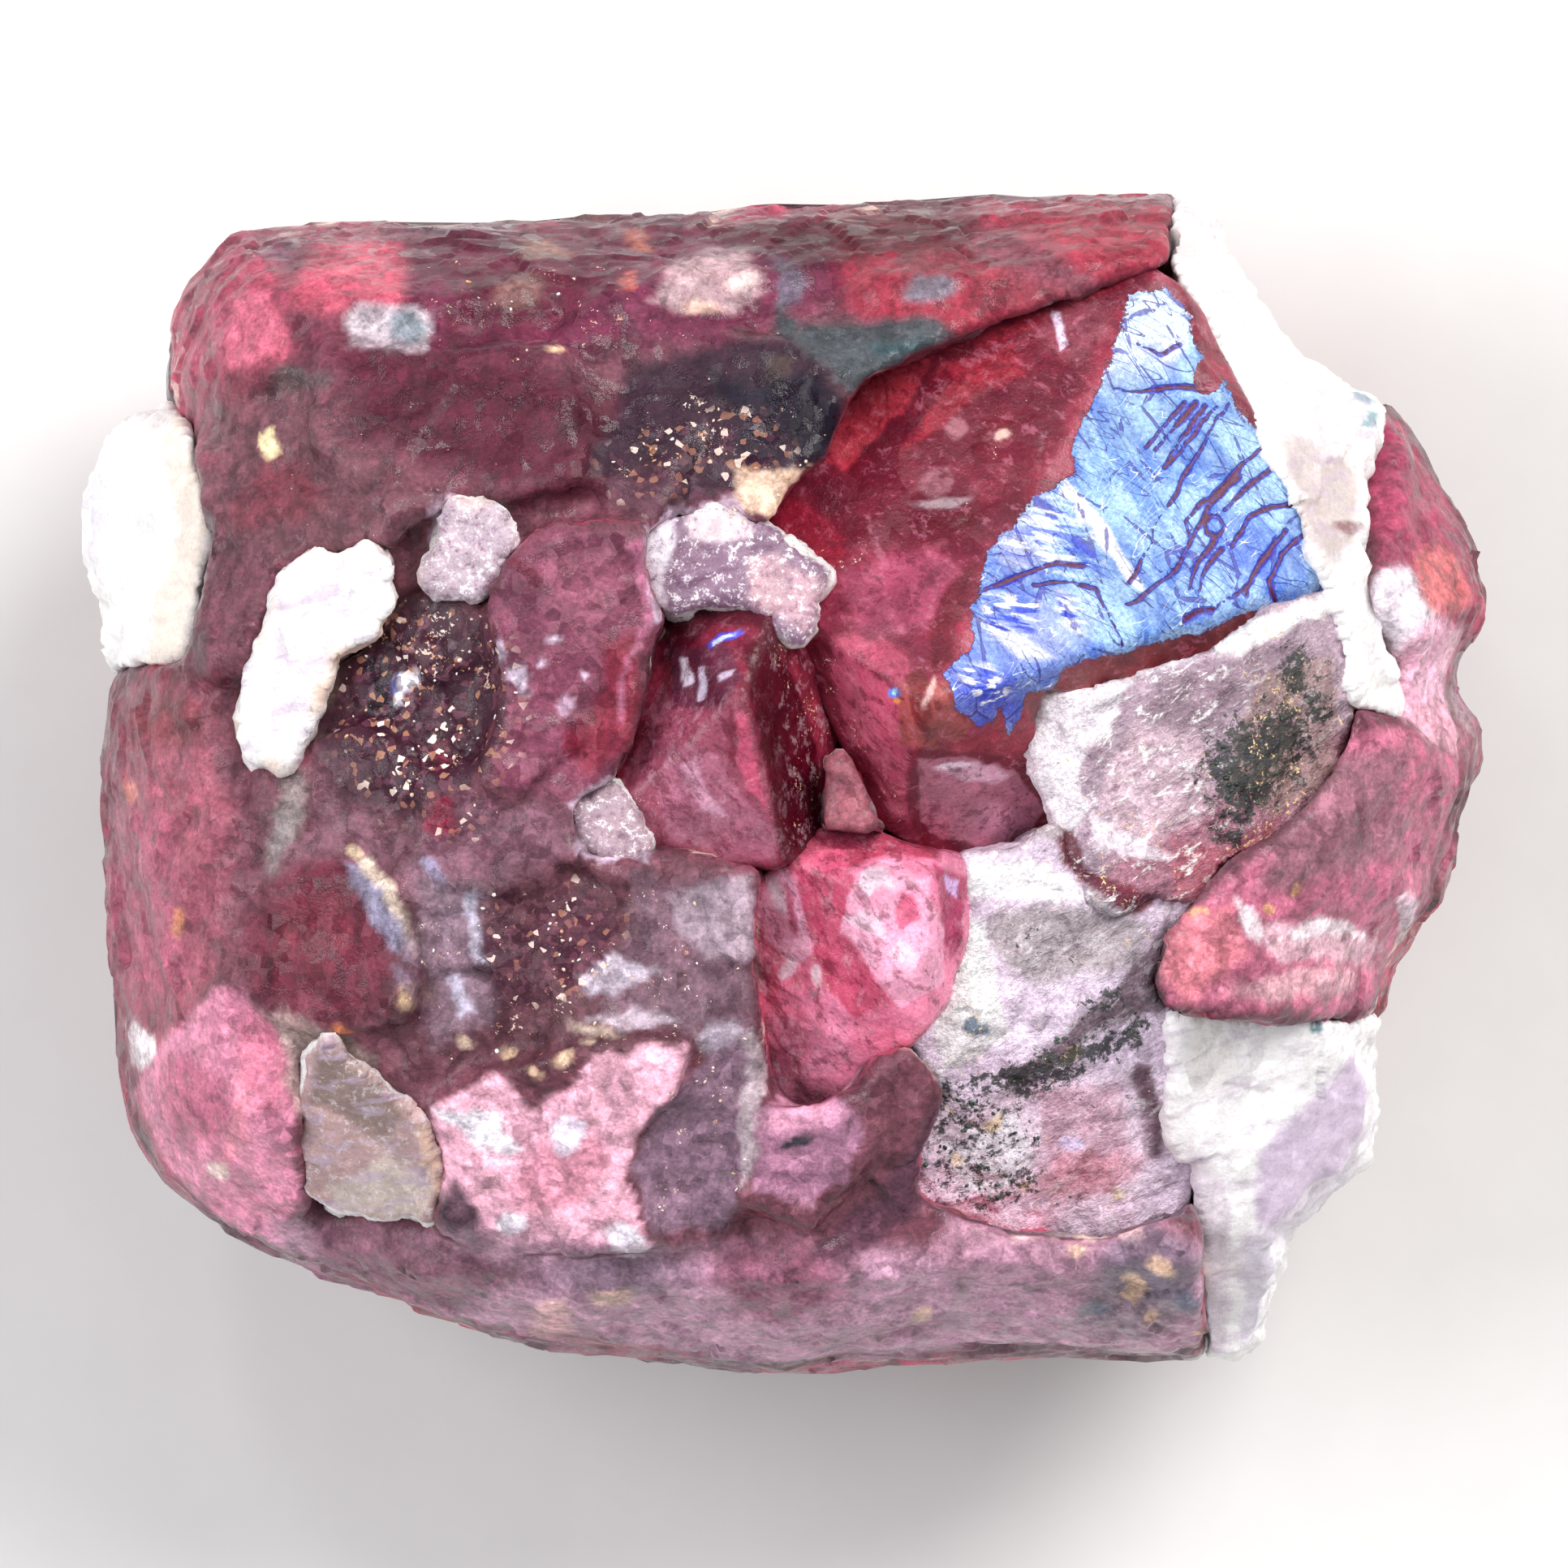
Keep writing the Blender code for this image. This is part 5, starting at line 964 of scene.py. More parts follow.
BLUE_CRACKS = [
    [(3.75, 3.21), (3.59, 2.95), (3.42, 2.66), (3.26, 2.37), (3.13, 2.18), (3.1, 2.01), (3, 1.85),
    (2.91, 1.69)], [(3.49, 3.22), (3.13, 2.82)], [(3.39, 3.21), (3.05, 2.84)], [(3.65, 3.18), (3.23, 2.66)],
    [(3.57, 3.2), (3.3, 2.84), (3.22, 2.66)], [(4.04, 2.85), (3.84, 2.66), (3.68, 2.47), (3.49, 2.34),
    (3.39, 2.21), (3.44, 2.05), (3.26, 1.76), (3, 1.56), (2.87, 1.5)], [(3.84, 2.6), (3.59, 2.34),
    (3.49, 2.11), (3.3, 1.78)], [(4.16, 2.7), (3.9, 2.48), (3.72, 2.3)], [(3.58, 2.24), (3.66, 2.26),
    (3.72, 2.18), (3.68, 2.09), (3.58, 2.1), (3.55, 2.18), (3.58, 2.24)], [(3.65, 2.05), (3.49, 1.85),
    (3.42, 1.64)], [(3.7, 1.98), (3.56, 1.8), (3.5, 1.62)], [(4.36, 2.37), (4.1, 2.34), (3.94, 2.24),
    (3.78, 2.01)], [(4.4, 2.1), (4.2, 1.94), (4.1, 1.7), (4.14, 1.54)], [(4.24, 2.14), (4.02, 1.86),
    (3.9, 1.6)], [(1.6, 1.58), (1.78, 1.66), (2.03, 1.76), (2.29, 1.85), (2.52, 1.82)], [(2.1, 1.66),
    (2.23, 1.69), (2.45, 1.69), (2.62, 1.63), (2.71, 1.43), (2.84, 1.21)], [(3.36, 1.4), (3.66, 1.5),
    (3.96, 1.7)], [(3, 3.72), (3.18, 3.62), (3.34, 3.7)], [(2.78, 3.34), (3.02, 3.3), (3.3, 3.36),
    (3.62, 3.34)],
]

# On the blue face: where its painted reflection is pale, violet or finely striped, and the hole in the film.
BLUE_PALE_SHEEN = [
    (0.45, 0.25, [(2.8, 4.4), (2.5, 3.4), (3.2, 3.5), (3.6, 4.1)]),
    (0.4, 0.15, (2.05, 2.15, 0.3, 0.3)),
    (0.25, 0.15, (2.3, 1.35, 0.35, 0.22, 30)),
    (1, 0.02, [(2.38, 2.58), (2.56, 2.4), (2.74, 2.2), (2.86, 1.96), (3, 1.76), (3.08, 1.6), (2.9, 1.72),
        (2.8, 1.9), (2.66, 2.02), (2.6, 2.18), (2.48, 2.24), (2.46, 2.38), (2.32, 2.44)]),
    (0.7, 0.02, [(2.3, 1.66), (2.42, 1.6), (2.46, 1.4), (2.56, 1.26), (2.4, 1.3), (2.32, 1.46)]),
    (0.8, 0.03, [(1.62, 1.4), (1.72, 1.3), (2, 1.06), (2.3, 1.06), (2.1, 1.2), (1.84, 1.36)]),
    (0.7, 0.04, (3.3, 3.72, 0.08, 0.16, -30)),
    (0.5, 0.05, (3.1, 4.05, 0.2, 0.08)),
]
BLUE_VIOLET_SHEEN = [
    (0.45, 0.3, [(1.3, 0.4), (2, 0.4), (2.6, 1.1), (1.7, 2), (1.3, 1)]),
    (0.7, 0.1, [(1.3, 0.4), (2, 0.5), (1.9, 0.9), (1.4, 1)]),
    (0.35, 0.2, (1.9, 1.9, 0.3, 0.3)),
    (0.25, 0.4, (3.9, 1.9, 0.4, 0.3)),
]
BLUE_STRIPED_SHEEN = [
    (0.7, 0.12, [(1.8, 2), (2.3, 2.5), (2.6, 2.1), (2.7, 1.8), (2.2, 1.8)]),
    (1, 0.05, [(1.66, 1.6), (2.16, 1.6), (2.14, 1.28), (1.74, 1.24)]),
    (1, 0.04, [(2.3, 1.62), (2.58, 1.58), (2.56, 1.36), (2.34, 1.36)]),
    (0.9, 0.05, [(1.44, 0.98), (1.74, 1.02), (1.92, 0.76), (1.7, 0.62)]),
]
BLUE_HOLE = (3.6, 3.46, 0.15, 0.2, -20)

BLUE_CRYSTAL_PATCHES = [
    ((134, 42, 64), 0.2, 1, [(-0.3, 1.9), (1, 2.1), (1.7, 2.1), (1.2, 1), (2.4, -0.4), (1.1, -0.7), (0, 1)]),
    ((108, 26, 44), 0.25, 0.9, [(0.2, 2.6), (1.2, 3.7), (3, 4.4), (2.6, 3.4), (2, 2.5), (1.6, 1.9),
        (0.2, 2)]),
    ((182, 56, 70), 0.04, 0.9, [(0.4, 2.75), (0.5, 3.2), (0.72, 3.5), (1.25, 3.62), (1.05, 3.3), (0.8, 2.95),
        (0.55, 2.62)]),
    ((160, 44, 58), 0.08, 0.9, [(1.3, 3.55), (1.95, 3.75), (2.05, 3.5), (1.5, 3.25), (1.1, 2.95),
        (0.95, 2.8)]),
    ((106, 20, 38), 0.04, 0.9, [(1.34, 3.52), (1.4, 3.4), (0.98, 3), (0.7, 2.62), (0.52, 2.58),
        (0.85, 3.05)]),
    ((150, 40, 54), 0.04, 0.9, [(1.3, 3.72), (2.4, 4.12), (3, 4.36), (3, 4.26), (2.4, 4), (1.4, 3.6)]),
    ((90, 26, 40), 0.04, 0.8, (1.46, 3.66, 0.16, 0.05, 25)),
    ((160, 84, 96), 0.15, 0.6, (2.5, 3.85, 0.3, 0.25, 30)),
    ((150, 30, 52), 0.08, 0.9, [(-0.15, 2.15), (0.1, 2.45), (0.4, 2.2), (0.55, 1.9), (0.25, 1.78),
        (-0.05, 1.95)]),
    ((176, 116, 122), 0.04, 0.8, (1.42, 3.04, 0.1, 0.1)),
    ((170, 110, 118), 0.05, 0.8, (1.27, 2.55, 0.14, 0.15, -30)),
    ((104, 22, 36), 0.06, 0.9, (1.78, 3, 0.22, 0.16, 30)),
    ((216, 178, 160), 0.02, 0.9, (1.84, 2.95, 0.07, 0.05)),
    ((108, 24, 38), 0.05, 0.8, (1.35, 2.2, 0.28, 0.09, 10)),
    ((206, 180, 184), 0.02, 0.8, (1.33, 2.37, 0.22, 0.035, 6)),
    ((250, 226, 246), 0.02, 1, [(2.3, 4.02), (2.36, 4), (2.42, 3.68), (2.34, 3.66), (2.33, 3.85)]),
    ((164, 72, 98), 0.1, 0.8, [(0.45, 1.75), (1.3, 2), (1.5, 1.8), (1.2, 1.3), (0.7, 1.3)]),
    ((192, 82, 106), 0.06, 0.9, [(0.5, 1.3), (1, 1.2), (1.15, 0.5), (1.05, -0.3), (0.7, 0.1), (0.35, 0.8)]),
    ((112, 24, 44), 0.04, 0.9, [(0.1, 1.5), (0.26, 1.6), (0.3, 1.2), (0.46, 0.7), (0.8, 0), (0.98, -0.5),
        (0.8, -0.5), (0.4, 0.3), (0.18, 0.9)]),
    ((196, 96, 116), 0.03, 0.8, [(0.52, 1), (0.62, 0.95), (0.92, 0.2), (1.02, -0.3), (0.9, -0.2),
        (0.66, 0.4)]),
    ((168, 84, 74), 0.05, 0.8, [(0.95, 0.85), (1.35, 0.9), (1.6, 0.5), (1.4, 0.3), (1, 0.3)]),
    ((120, 40, 40), 0.02, 0.9, [(1, 0.92), (1.16, 1), (1.28, 0.6), (1.2, 0.36), (1.1, 0.6)]),
    ((236, 190, 180), 0.02, 0.8, (1.22, 0.78, 0.03, 0.14, -12)),
    ((110, 22, 40), 0.02, 0.9, [(1.04, 0.28), (1.46, 0.32), (2.06, 0.22), (2.34, -0.22), (2.2, -0.6),
        (1.72, -0.7), (1.14, -0.52), (1.02, -0.24)]),
    ((178, 112, 128), 0.02, 1, [(1.12, 0.21), (1.46, 0.24), (1.97, 0.14), (2.2, -0.23), (2.08, -0.46),
        (1.72, -0.56), (1.22, -0.41), (1.12, -0.23)]),
    ((216, 176, 190), 0.03, 0.8, [(1.3, 0.12), (1.6, 0.2), (1.95, 0.1), (1.8, 0), (1.45, 0.04)]),
    ((198, 140, 156), 0.08, 0.7, (1.8, -0.3, 0.25, 0.14, -10)),
    ((255, 236, 246), 0.015, 0.9, (1.42, 0.16, 0.14, 0.025, 8)),
    ((150, 44, 58), 0.02, 0.9, [(1.3, 0.3), (2, 0.24), (2.2, 0.5), (2, 0.62), (1.7, 0.42), (1.35, 0.4)]),
    ((122, 44, 44), 0.03, 0.95, [(2, 0.8), (2.3, 0.92), (2.9, 1.12), (3.5, 1.28), (4, 1.48), (4.6, 1.6),
        (4, 1.2), (3.5, 1), (2.9, 0.82), (2.1, 0.5)]),
    ((104, 28, 38), 0.04, 0.8, [(1.2, 1.3), (1.52, 1.85), (1.6, 1.8), (1.5, 1.4), (1.42, 1.1), (1.25, 1)]),
    # Painted glint: a tiny blue flash with a pale core and an orange edge.
    ((90, 140, 240), 0.012, 1, (0.93, 0.76, 0.05, 0.06)),
    ((190, 240, 250), 0.008, 1, (0.93, 0.77, 0.02, 0.03)),
    ((226, 140, 70), 0.01, 1, (0.95, 0.68, 0.04, 0.025)),
]
BLUE_CRYSTAL_FLECKS = [
    (1, 0.05, [(-0.1, 1.9), (0.8, 2.12), (1.6, 2.5), (1.62, 2.4), (0.8, 1.9), (0.2, 1.75)]),
    (0.8, 0.1, [(0.2, 1.4), (0.4, 1.4), (0.7, 0.6), (1.1, -0.4), (0.8, -0.4), (0.3, 0.8)]),
    (0.5, 0.3, [(0.5, 2.4), (2.4, 3.9), (2, 2.6), (1.4, 2.2)]),
]

CENTRAL_PATCHES = [
    ((124, 34, 54), 0.1, 1, [(-1.6, -0.8), (-1.2, 1.7), (0, 1.8), (0.5, 0.6), (0.4, -0.8)]),
    ((80, 14, 32), 0.04, 0.95, [(-1.1, 1), (-0.95, 1.4), (-0.6, 1.6), (-0.2, 1.56), (0.02, 1.3), (-0.1, 1.1),
        (-0.3, 1.34), (-0.62, 1.38), (-0.84, 1.16)]),
    ((144, 72, 90), 0.04, 0.95, [(-1.4, -0.2), (-1.22, 0.4), (-1.04, 0.84), (-0.9, 0.66), (-0.4, 0.74),
        (-0.24, 0.5), (-0.1, -0.1), (-0.06, -0.7), (-0.8, -0.7), (-1.3, -0.4)]),
    ((92, 40, 60), 0.04, 0.9, [(-0.98, 1.16), (-0.5, 1.2), (-0.36, 0.86), (-0.5, 0.64), (-0.92, 0.62)]),
    # Painted highlights: pale glinting streaks.
    ((240, 226, 240), 0.02, 0.9, [(-0.9, 1.08), (-0.84, 1.08), (-0.8, 0.84), (-0.88, 0.8)]),
    ((226, 214, 232), 0.02, 0.8, [(-0.76, 0.96), (-0.7, 0.98), (-0.68, 0.72), (-0.74, 0.7)]),
    ((226, 214, 232), 0.02, 0.7, [(-0.6, 0.9), (-0.44, 0.94), (-0.46, 0.88), (-0.58, 0.84)]),
    ((164, 96, 116), 0.03, 0.95, [(-0.98, 0.23), (-0.8, 0.3), (-0.6, 0.22), (-0.36, -0.1), (-0.1, -0.4),
        (-0.08, -0.62), (-0.5, -0.66), (-0.95, -0.46), (-1.06, -0.1)]),
    ((204, 150, 170), 0.03, 0.8, [(-0.86, 0.16), (-0.74, 0.2), (-0.66, -0.04), (-0.5, -0.3), (-0.7, -0.24)]),
    ((196, 84, 112), 0.02, 0.95, [(-0.4, 0.62), (-0.3, 0.6), (-0.2, 0.2), (-0.16, -0.2), (-0.3, -0.06),
        (-0.38, 0.2)]),
    ((120, 30, 52), 0.02, 0.8, [(-0.46, 0.66), (-0.4, 0.66), (-0.38, 0.1), (-0.48, 0.2)]),
    ((74, 2, 20), 0.03, 1, [(-0.38, 1.16), (-0.15, 1.26), (0.08, 0.92), (0.3, 0.3), (0.3, -0.42),
        (0.06, -0.74), (-0.09, -0.5), (-0.1, -0.1), (-0.2, 0.5)]),
    ((150, 46, 66), 0.03, 0.8, [(0, 1.25), (0.2, 0.95), (0.4, 0.45), (0.32, 0.25), (0.18, 0.7)]),
    # Painted reflection: a small blue glint with a pale core.
    ((60, 80, 220), 0.015, 0.9, [(-0.66, 1.2), (-0.56, 1.3), (-0.4, 1.3), (-0.36, 1.24), (-0.54, 1.22),
        (-0.62, 1.14)]),
    ((220, 236, 255), 0.01, 1, [(-0.62, 1.21), (-0.54, 1.28), (-0.42, 1.28), (-0.52, 1.24), (-0.6, 1.17)]),
]
CENTRAL_FLECKS = [
    (0.9, 0.06, [(-0.2, 1.3), (0.1, 1.2), (0.45, 0.5), (0.3, -0.6), (0.05, -0.6), (0, 0.4)]),
    (0.5, 0.1, [(-1.3, 0.3), (-0.9, 0.8), (-0.7, 0.4), (-0.9, -0.3), (-1.3, -0.2)]),
]

LOWER_PATCHES = [
    ((236, 136, 164), 0.1, 1, [(-0.4, -0.4), (1.7, -0.4), (1.7, -2), (0.4, -2.9), (-0.4, -2.6)]),
    ((170, 56, 80), 0.05, 0.9, [(-0.1, -0.4), (1.3, -0.38), (1.3, -0.66), (0.9, -0.64), (0.55, -0.72),
        (0, -0.76)]),
    ((206, 88, 116), 0.03, 1, [(0.06, -0.6), (0.5, -0.56), (0.6, -0.85), (0.5, -1.25), (0.74, -1.5),
        (0.92, -1.88), (0.6, -2), (0.4, -1.76), (0.27, -1.42), (0.16, -1)]),
    # Painted highlight: the bright facet on the right and the white spots on it are the facet's shine.
    ((250, 172, 196), 0.02, 1, [(0.6, -0.76), (0.93, -0.66), (1.2, -0.89), (1.39, -1.29), (1.36, -1.68),
        (0.95, -1.9), (0.74, -1.48), (0.51, -1.22)]),
    ((255, 226, 236), 0.02, 0.95, [(0.62, -0.8), (0.72, -0.72), (0.86, -0.74), (0.92, -0.88), (0.8, -0.84),
        (0.7, -0.92)]),
    ((255, 214, 226), 0.02, 0.9, [(0.54, -1.12), (0.7, -1.02), (0.84, -1.08), (0.92, -1.3), (0.8, -1.24),
        (0.66, -1.2)]),
    ((255, 206, 222), 0.02, 0.8, [(0.92, -1.4), (1.04, -1.3), (1.2, -1.44), (1.1, -1.62), (1, -1.56)]),
    ((214, 84, 116), 0.02, 0.8, [(0.96, -0.9), (1.1, -0.94), (1.16, -1.16), (1.02, -1.24), (0.94, -1.08)]),
    ((176, 60, 96), 0.03, 0.9, [(1.26, -0.7), (1.55, -0.8), (1.52, -1.3), (1.44, -1.5), (1.36, -1.2)]),
    ((226, 190, 240), 0.02, 0.9, [(1.36, -0.78), (1.48, -0.84), (1.46, -1), (1.38, -0.92)]),
    # Painted highlight: the left facet's pinkish white and the white spots on and below it stand for its
    # shine.
    ((255, 190, 214), 0.03, 1, [(-0.24, -0.72), (0.01, -0.7), (0.15, -1.02), (0.25, -1.42), (0.08, -1.55),
        (-0.15, -1.35), (-0.24, -1.1)]),
    ((255, 240, 248), 0.02, 0.9, [(-0.14, -0.8), (-0.04, -0.8), (0.02, -1.05), (0, -1.2), (-0.08, -1.05)]),
    ((196, 96, 128), 0.02, 0.8, [(0, -0.86), (0.08, -0.96), (0.14, -1.3), (0.06, -1.24)]),
    ((255, 236, 246), 0.02, 0.9, (0.02, -1.56, 0.12, 0.06, 60)),
    ((255, 236, 240), 0.02, 0.9, (0.28, -1.62, 0.05, 0.1, 10)),
    ((240, 152, 180), 0.06, 0.8, (0.2, -2.1, 0.35, 0.4, 10)),
    ((236, 132, 160), 0.05, 0.8, (0.75, -2.05, 0.25, 0.14, 40)),
    ((236, 140, 166), 0.05, 0.8, (0.25, -2.55, 0.2, 0.12)),
    ((236, 210, 200), 0.02, 0.9, [(-0.4, -0.8), (-0.26, -0.8), (-0.24, -1.5), (-0.16, -2.6), (-0.3, -2.8)]),
]
LOWER_FLECKS = [
    (0.3, 0.1, (0.7, -1.6, 0.6, 0.8)),
    (1, 0.08, [(-0.25, -1.2), (0.2, -1.3), (0.45, -1.7), (0.3, -2.2), (0.1, -2.6), (-0.2, -2.4)]),
]

SLAB_PATCHES = [
    ((182, 156, 172), 0.2, 1, [(2, 0.9), (4.9, 1.8), (4.9, -0.2), (3.4, -1.2), (2.2, -0.8)]),
    ((168, 112, 130), 0.25, 0.95, [(3, -0.2), (3.6, -0.1), (4.9, 0.5), (4.9, -0.6), (3.4, -1.4),
        (2.6, -0.9)]),
    ((206, 176, 188), 0.1, 0.9, [(2.9, 0.45), (3.3, 0.6), (3.7, 0.3), (3.5, -0.3), (3, -0.6), (2.7, -0.2)]),
    ((150, 124, 138), 0.1, 0.9, [(3.2, 0.85), (4, 1.15), (4.4, 1.2), (4, 0.7), (3.4, 0.45), (3, 0.5)]),
    ((152, 122, 118), 0.1, 0.8, [(4, 0.9), (4.7, 1.1), (4.7, 0.1), (4.1, -0.3), (3.7, 0)]),
    ((240, 230, 238), 0.05, 1, [(1.9, 0.5), (2.4, 0.95), (2.9, 1), (3.6, 1.24), (3.4, 1.02), (2.9, 0.78),
        (2.72, 0.46), (2.54, 0.4), (2.5, 0), (2.62, -0.26), (2.46, -0.4), (2.5, -0.76), (2.1, -0.5)]),
    ((255, 250, 250), 0.04, 0.9, [(3.4, 1.12), (4.2, 1.5), (4.9, 1.75), (4.8, 1.46), (4.3, 1.36),
        (3.9, 1.12)]),
    ((240, 226, 236), 0.04, 0.8, [(2.6, -0.3), (3, -0.5), (3.4, -0.64), (3, -0.66), (2.6, -0.56)]),
    ((186, 176, 186), 0.06, 0.9, [(2.2, -0.8), (2.7, -0.98), (3.1, -1.06), (3, -1.4), (2.3, -1.4)]),
    ((108, 30, 52), 0.03, 0.95, [(2.26, -0.42), (2.45, -0.45), (2.55, -0.75), (2.8, -0.85), (3.1, -0.9),
        (3.15, -1), (2.95, -1.12), (2.75, -1.05), (2.5, -0.85), (2.26, -0.65)]),
    ((178, 96, 112), 0.08, 0.8, [(3.3, -0.45), (3.8, -0.55), (4.2, -0.35), (4, -0.8), (3.3, -1)]),
]
SLAB_GREEN = [
    (0.5, 0.3, [(3.4, 0.6), (4.7, 1.1), (4.6, -0.2), (3.5, -0.5)]),
    (0.9, 0.2, [(3.62, 0.25), (3.9, 0.45), (4.3, 0.62), (4.4, 0.3), (4.15, 0), (3.9, -0.35), (3.68, -0.2)]),
    (0.8, 0.12, (4.34, 1, 0.14, 0.24)),
    *alike((0.7, 0.08), (4.55, 0.65, 0.12, 0.12), (3.75, -0.45, 0.12, 0.2, 30)),
]
SPECKLED_PATCHES = [
    ((234, 212, 234), 0.2, 1, [(1, -0.5), (3.6, -0.4), (3.6, -4), (1, -4)]),
    ((255, 252, 255), 0.04, 0.95, [(1.5, -0.62), (2.1, -0.6), (2.55, -0.95), (2.3, -1.05), (1.9, -0.95),
        (1.55, -0.95)]),
    ((168, 156, 160), 0.12, 0.9, [(1.8, -1.05), (2.6, -1.05), (3.05, -1.2), (3, -1.6), (2.1, -1.7),
        (1.65, -1.4)]),
    ((246, 242, 244), 0.06, 0.9, [(1.45, -1.3), (1.75, -1.5), (2, -2.1), (1.7, -2.2), (1.3, -2.4),
        (1.3, -1.9)]),
    ((246, 240, 246), 0.04, 0.9, [(1.05, -2.2), (1.3, -2.4), (1.3, -2.6), (1, -2.7)]),
    ((116, 36, 48), 0.03, 0.95, [(2.3, -0.42), (2.45, -0.45), (2.55, -0.75), (2.8, -0.85), (3.1, -0.9),
        (3.15, -1), (2.95, -1.12), (2.75, -1.05), (2.5, -0.85), (2.3, -0.65)]),
    ((86, 44, 58), 0.06, 0.9, [(2.95, -2.4), (3.15, -2.4), (3.2, -3.2), (3, -3.2)]),
    ((112, 84, 96), 0.08, 0.85, [(3.3, -1), (3.1, -1.4), (2.6, -1.95), (1.4, -2.9), (1.1, -3.3), (1.4, -3.1),
        (2.6, -2.15), (3.3, -1.9)]),
    ((244, 216, 236), 0.2, 0.9, [(1.2, -2.8), (2, -2.6), (2.9, -2.4), (3.1, -3.3), (3, -3.9), (1.2, -3.9)]),
    ((226, 176, 198), 0.12, 0.8, [(2.1, -2.6), (2.8, -2.5), (2.9, -3.1), (2.6, -3.5), (2.2, -3.2)]),
    ((248, 242, 252), 0.08, 0.85, [(1.3, -2.95), (1.9, -2.8), (2.1, -3.2), (1.8, -3.5), (1.4, -3.4)]),
    ((232, 214, 250), 0.02, 0.9, (2.48, -3.04, 0.1, 0.08)),
    *alike(((246, 216, 176), 0.03, 0.9), (2.42, -2.3, 0.1, 0.06, 30), (1.74, -2.86, 0.08, 0.06)),
    ((246, 220, 190), 0.03, 0.9, (2.02, -3.46, 0.08, 0.06)),
    ((250, 228, 206), 0.03, 0.9, (2.9, -3.46, 0.1, 0.05, -30)),
    ((246, 220, 190), 0.03, 0.9, (1.44, -3.16, 0.06, 0.06)),
    ((255, 255, 255), 0.04, 0.9, [(1.45, -1), (1.7, -1.2), (1.66, -1.6), (1.9, -1.9), (1.6, -2.1),
        (1.36, -1.8), (1.5, -1.4)]),
    ((196, 120, 136), 0.1, 0.7, (2.55, -3.35, 0.45, 0.2, 15)),
    ((56, 84, 110), 0.04, 0.9, (1.65, -2.02, 0.14, 0.08, -20)),
]
SPECKLED_GREEN = [
    (0.35, 0.2, (2.2, -1.35, 0.6, 0.3)),
    (0.8, 0.15, [(1.2, -2.55), (1.8, -2.4), (2.6, -2.1), (3.1, -1.9), (3.1, -2.2), (2.3, -2.6),
        (1.5, -2.95)]),
    (0.7, 0.1, (2.7, -1.85, 0.3, 0.12, 25)),
    (0.5, 0.25, (1.7, -3.15, 0.6, 0.55)),
    *alike((0.6, 0.1), (1.5, -2.85, 0.3, 0.12, -10), (1.95, -3.42, 0.25, 0.12, 20)),
    (0.45, 0.15, (2.7, -2.65, 0.35, 0.12)),
    (0.45, 0.12, (2.5, -3.3, 0.2, 0.1)),
]

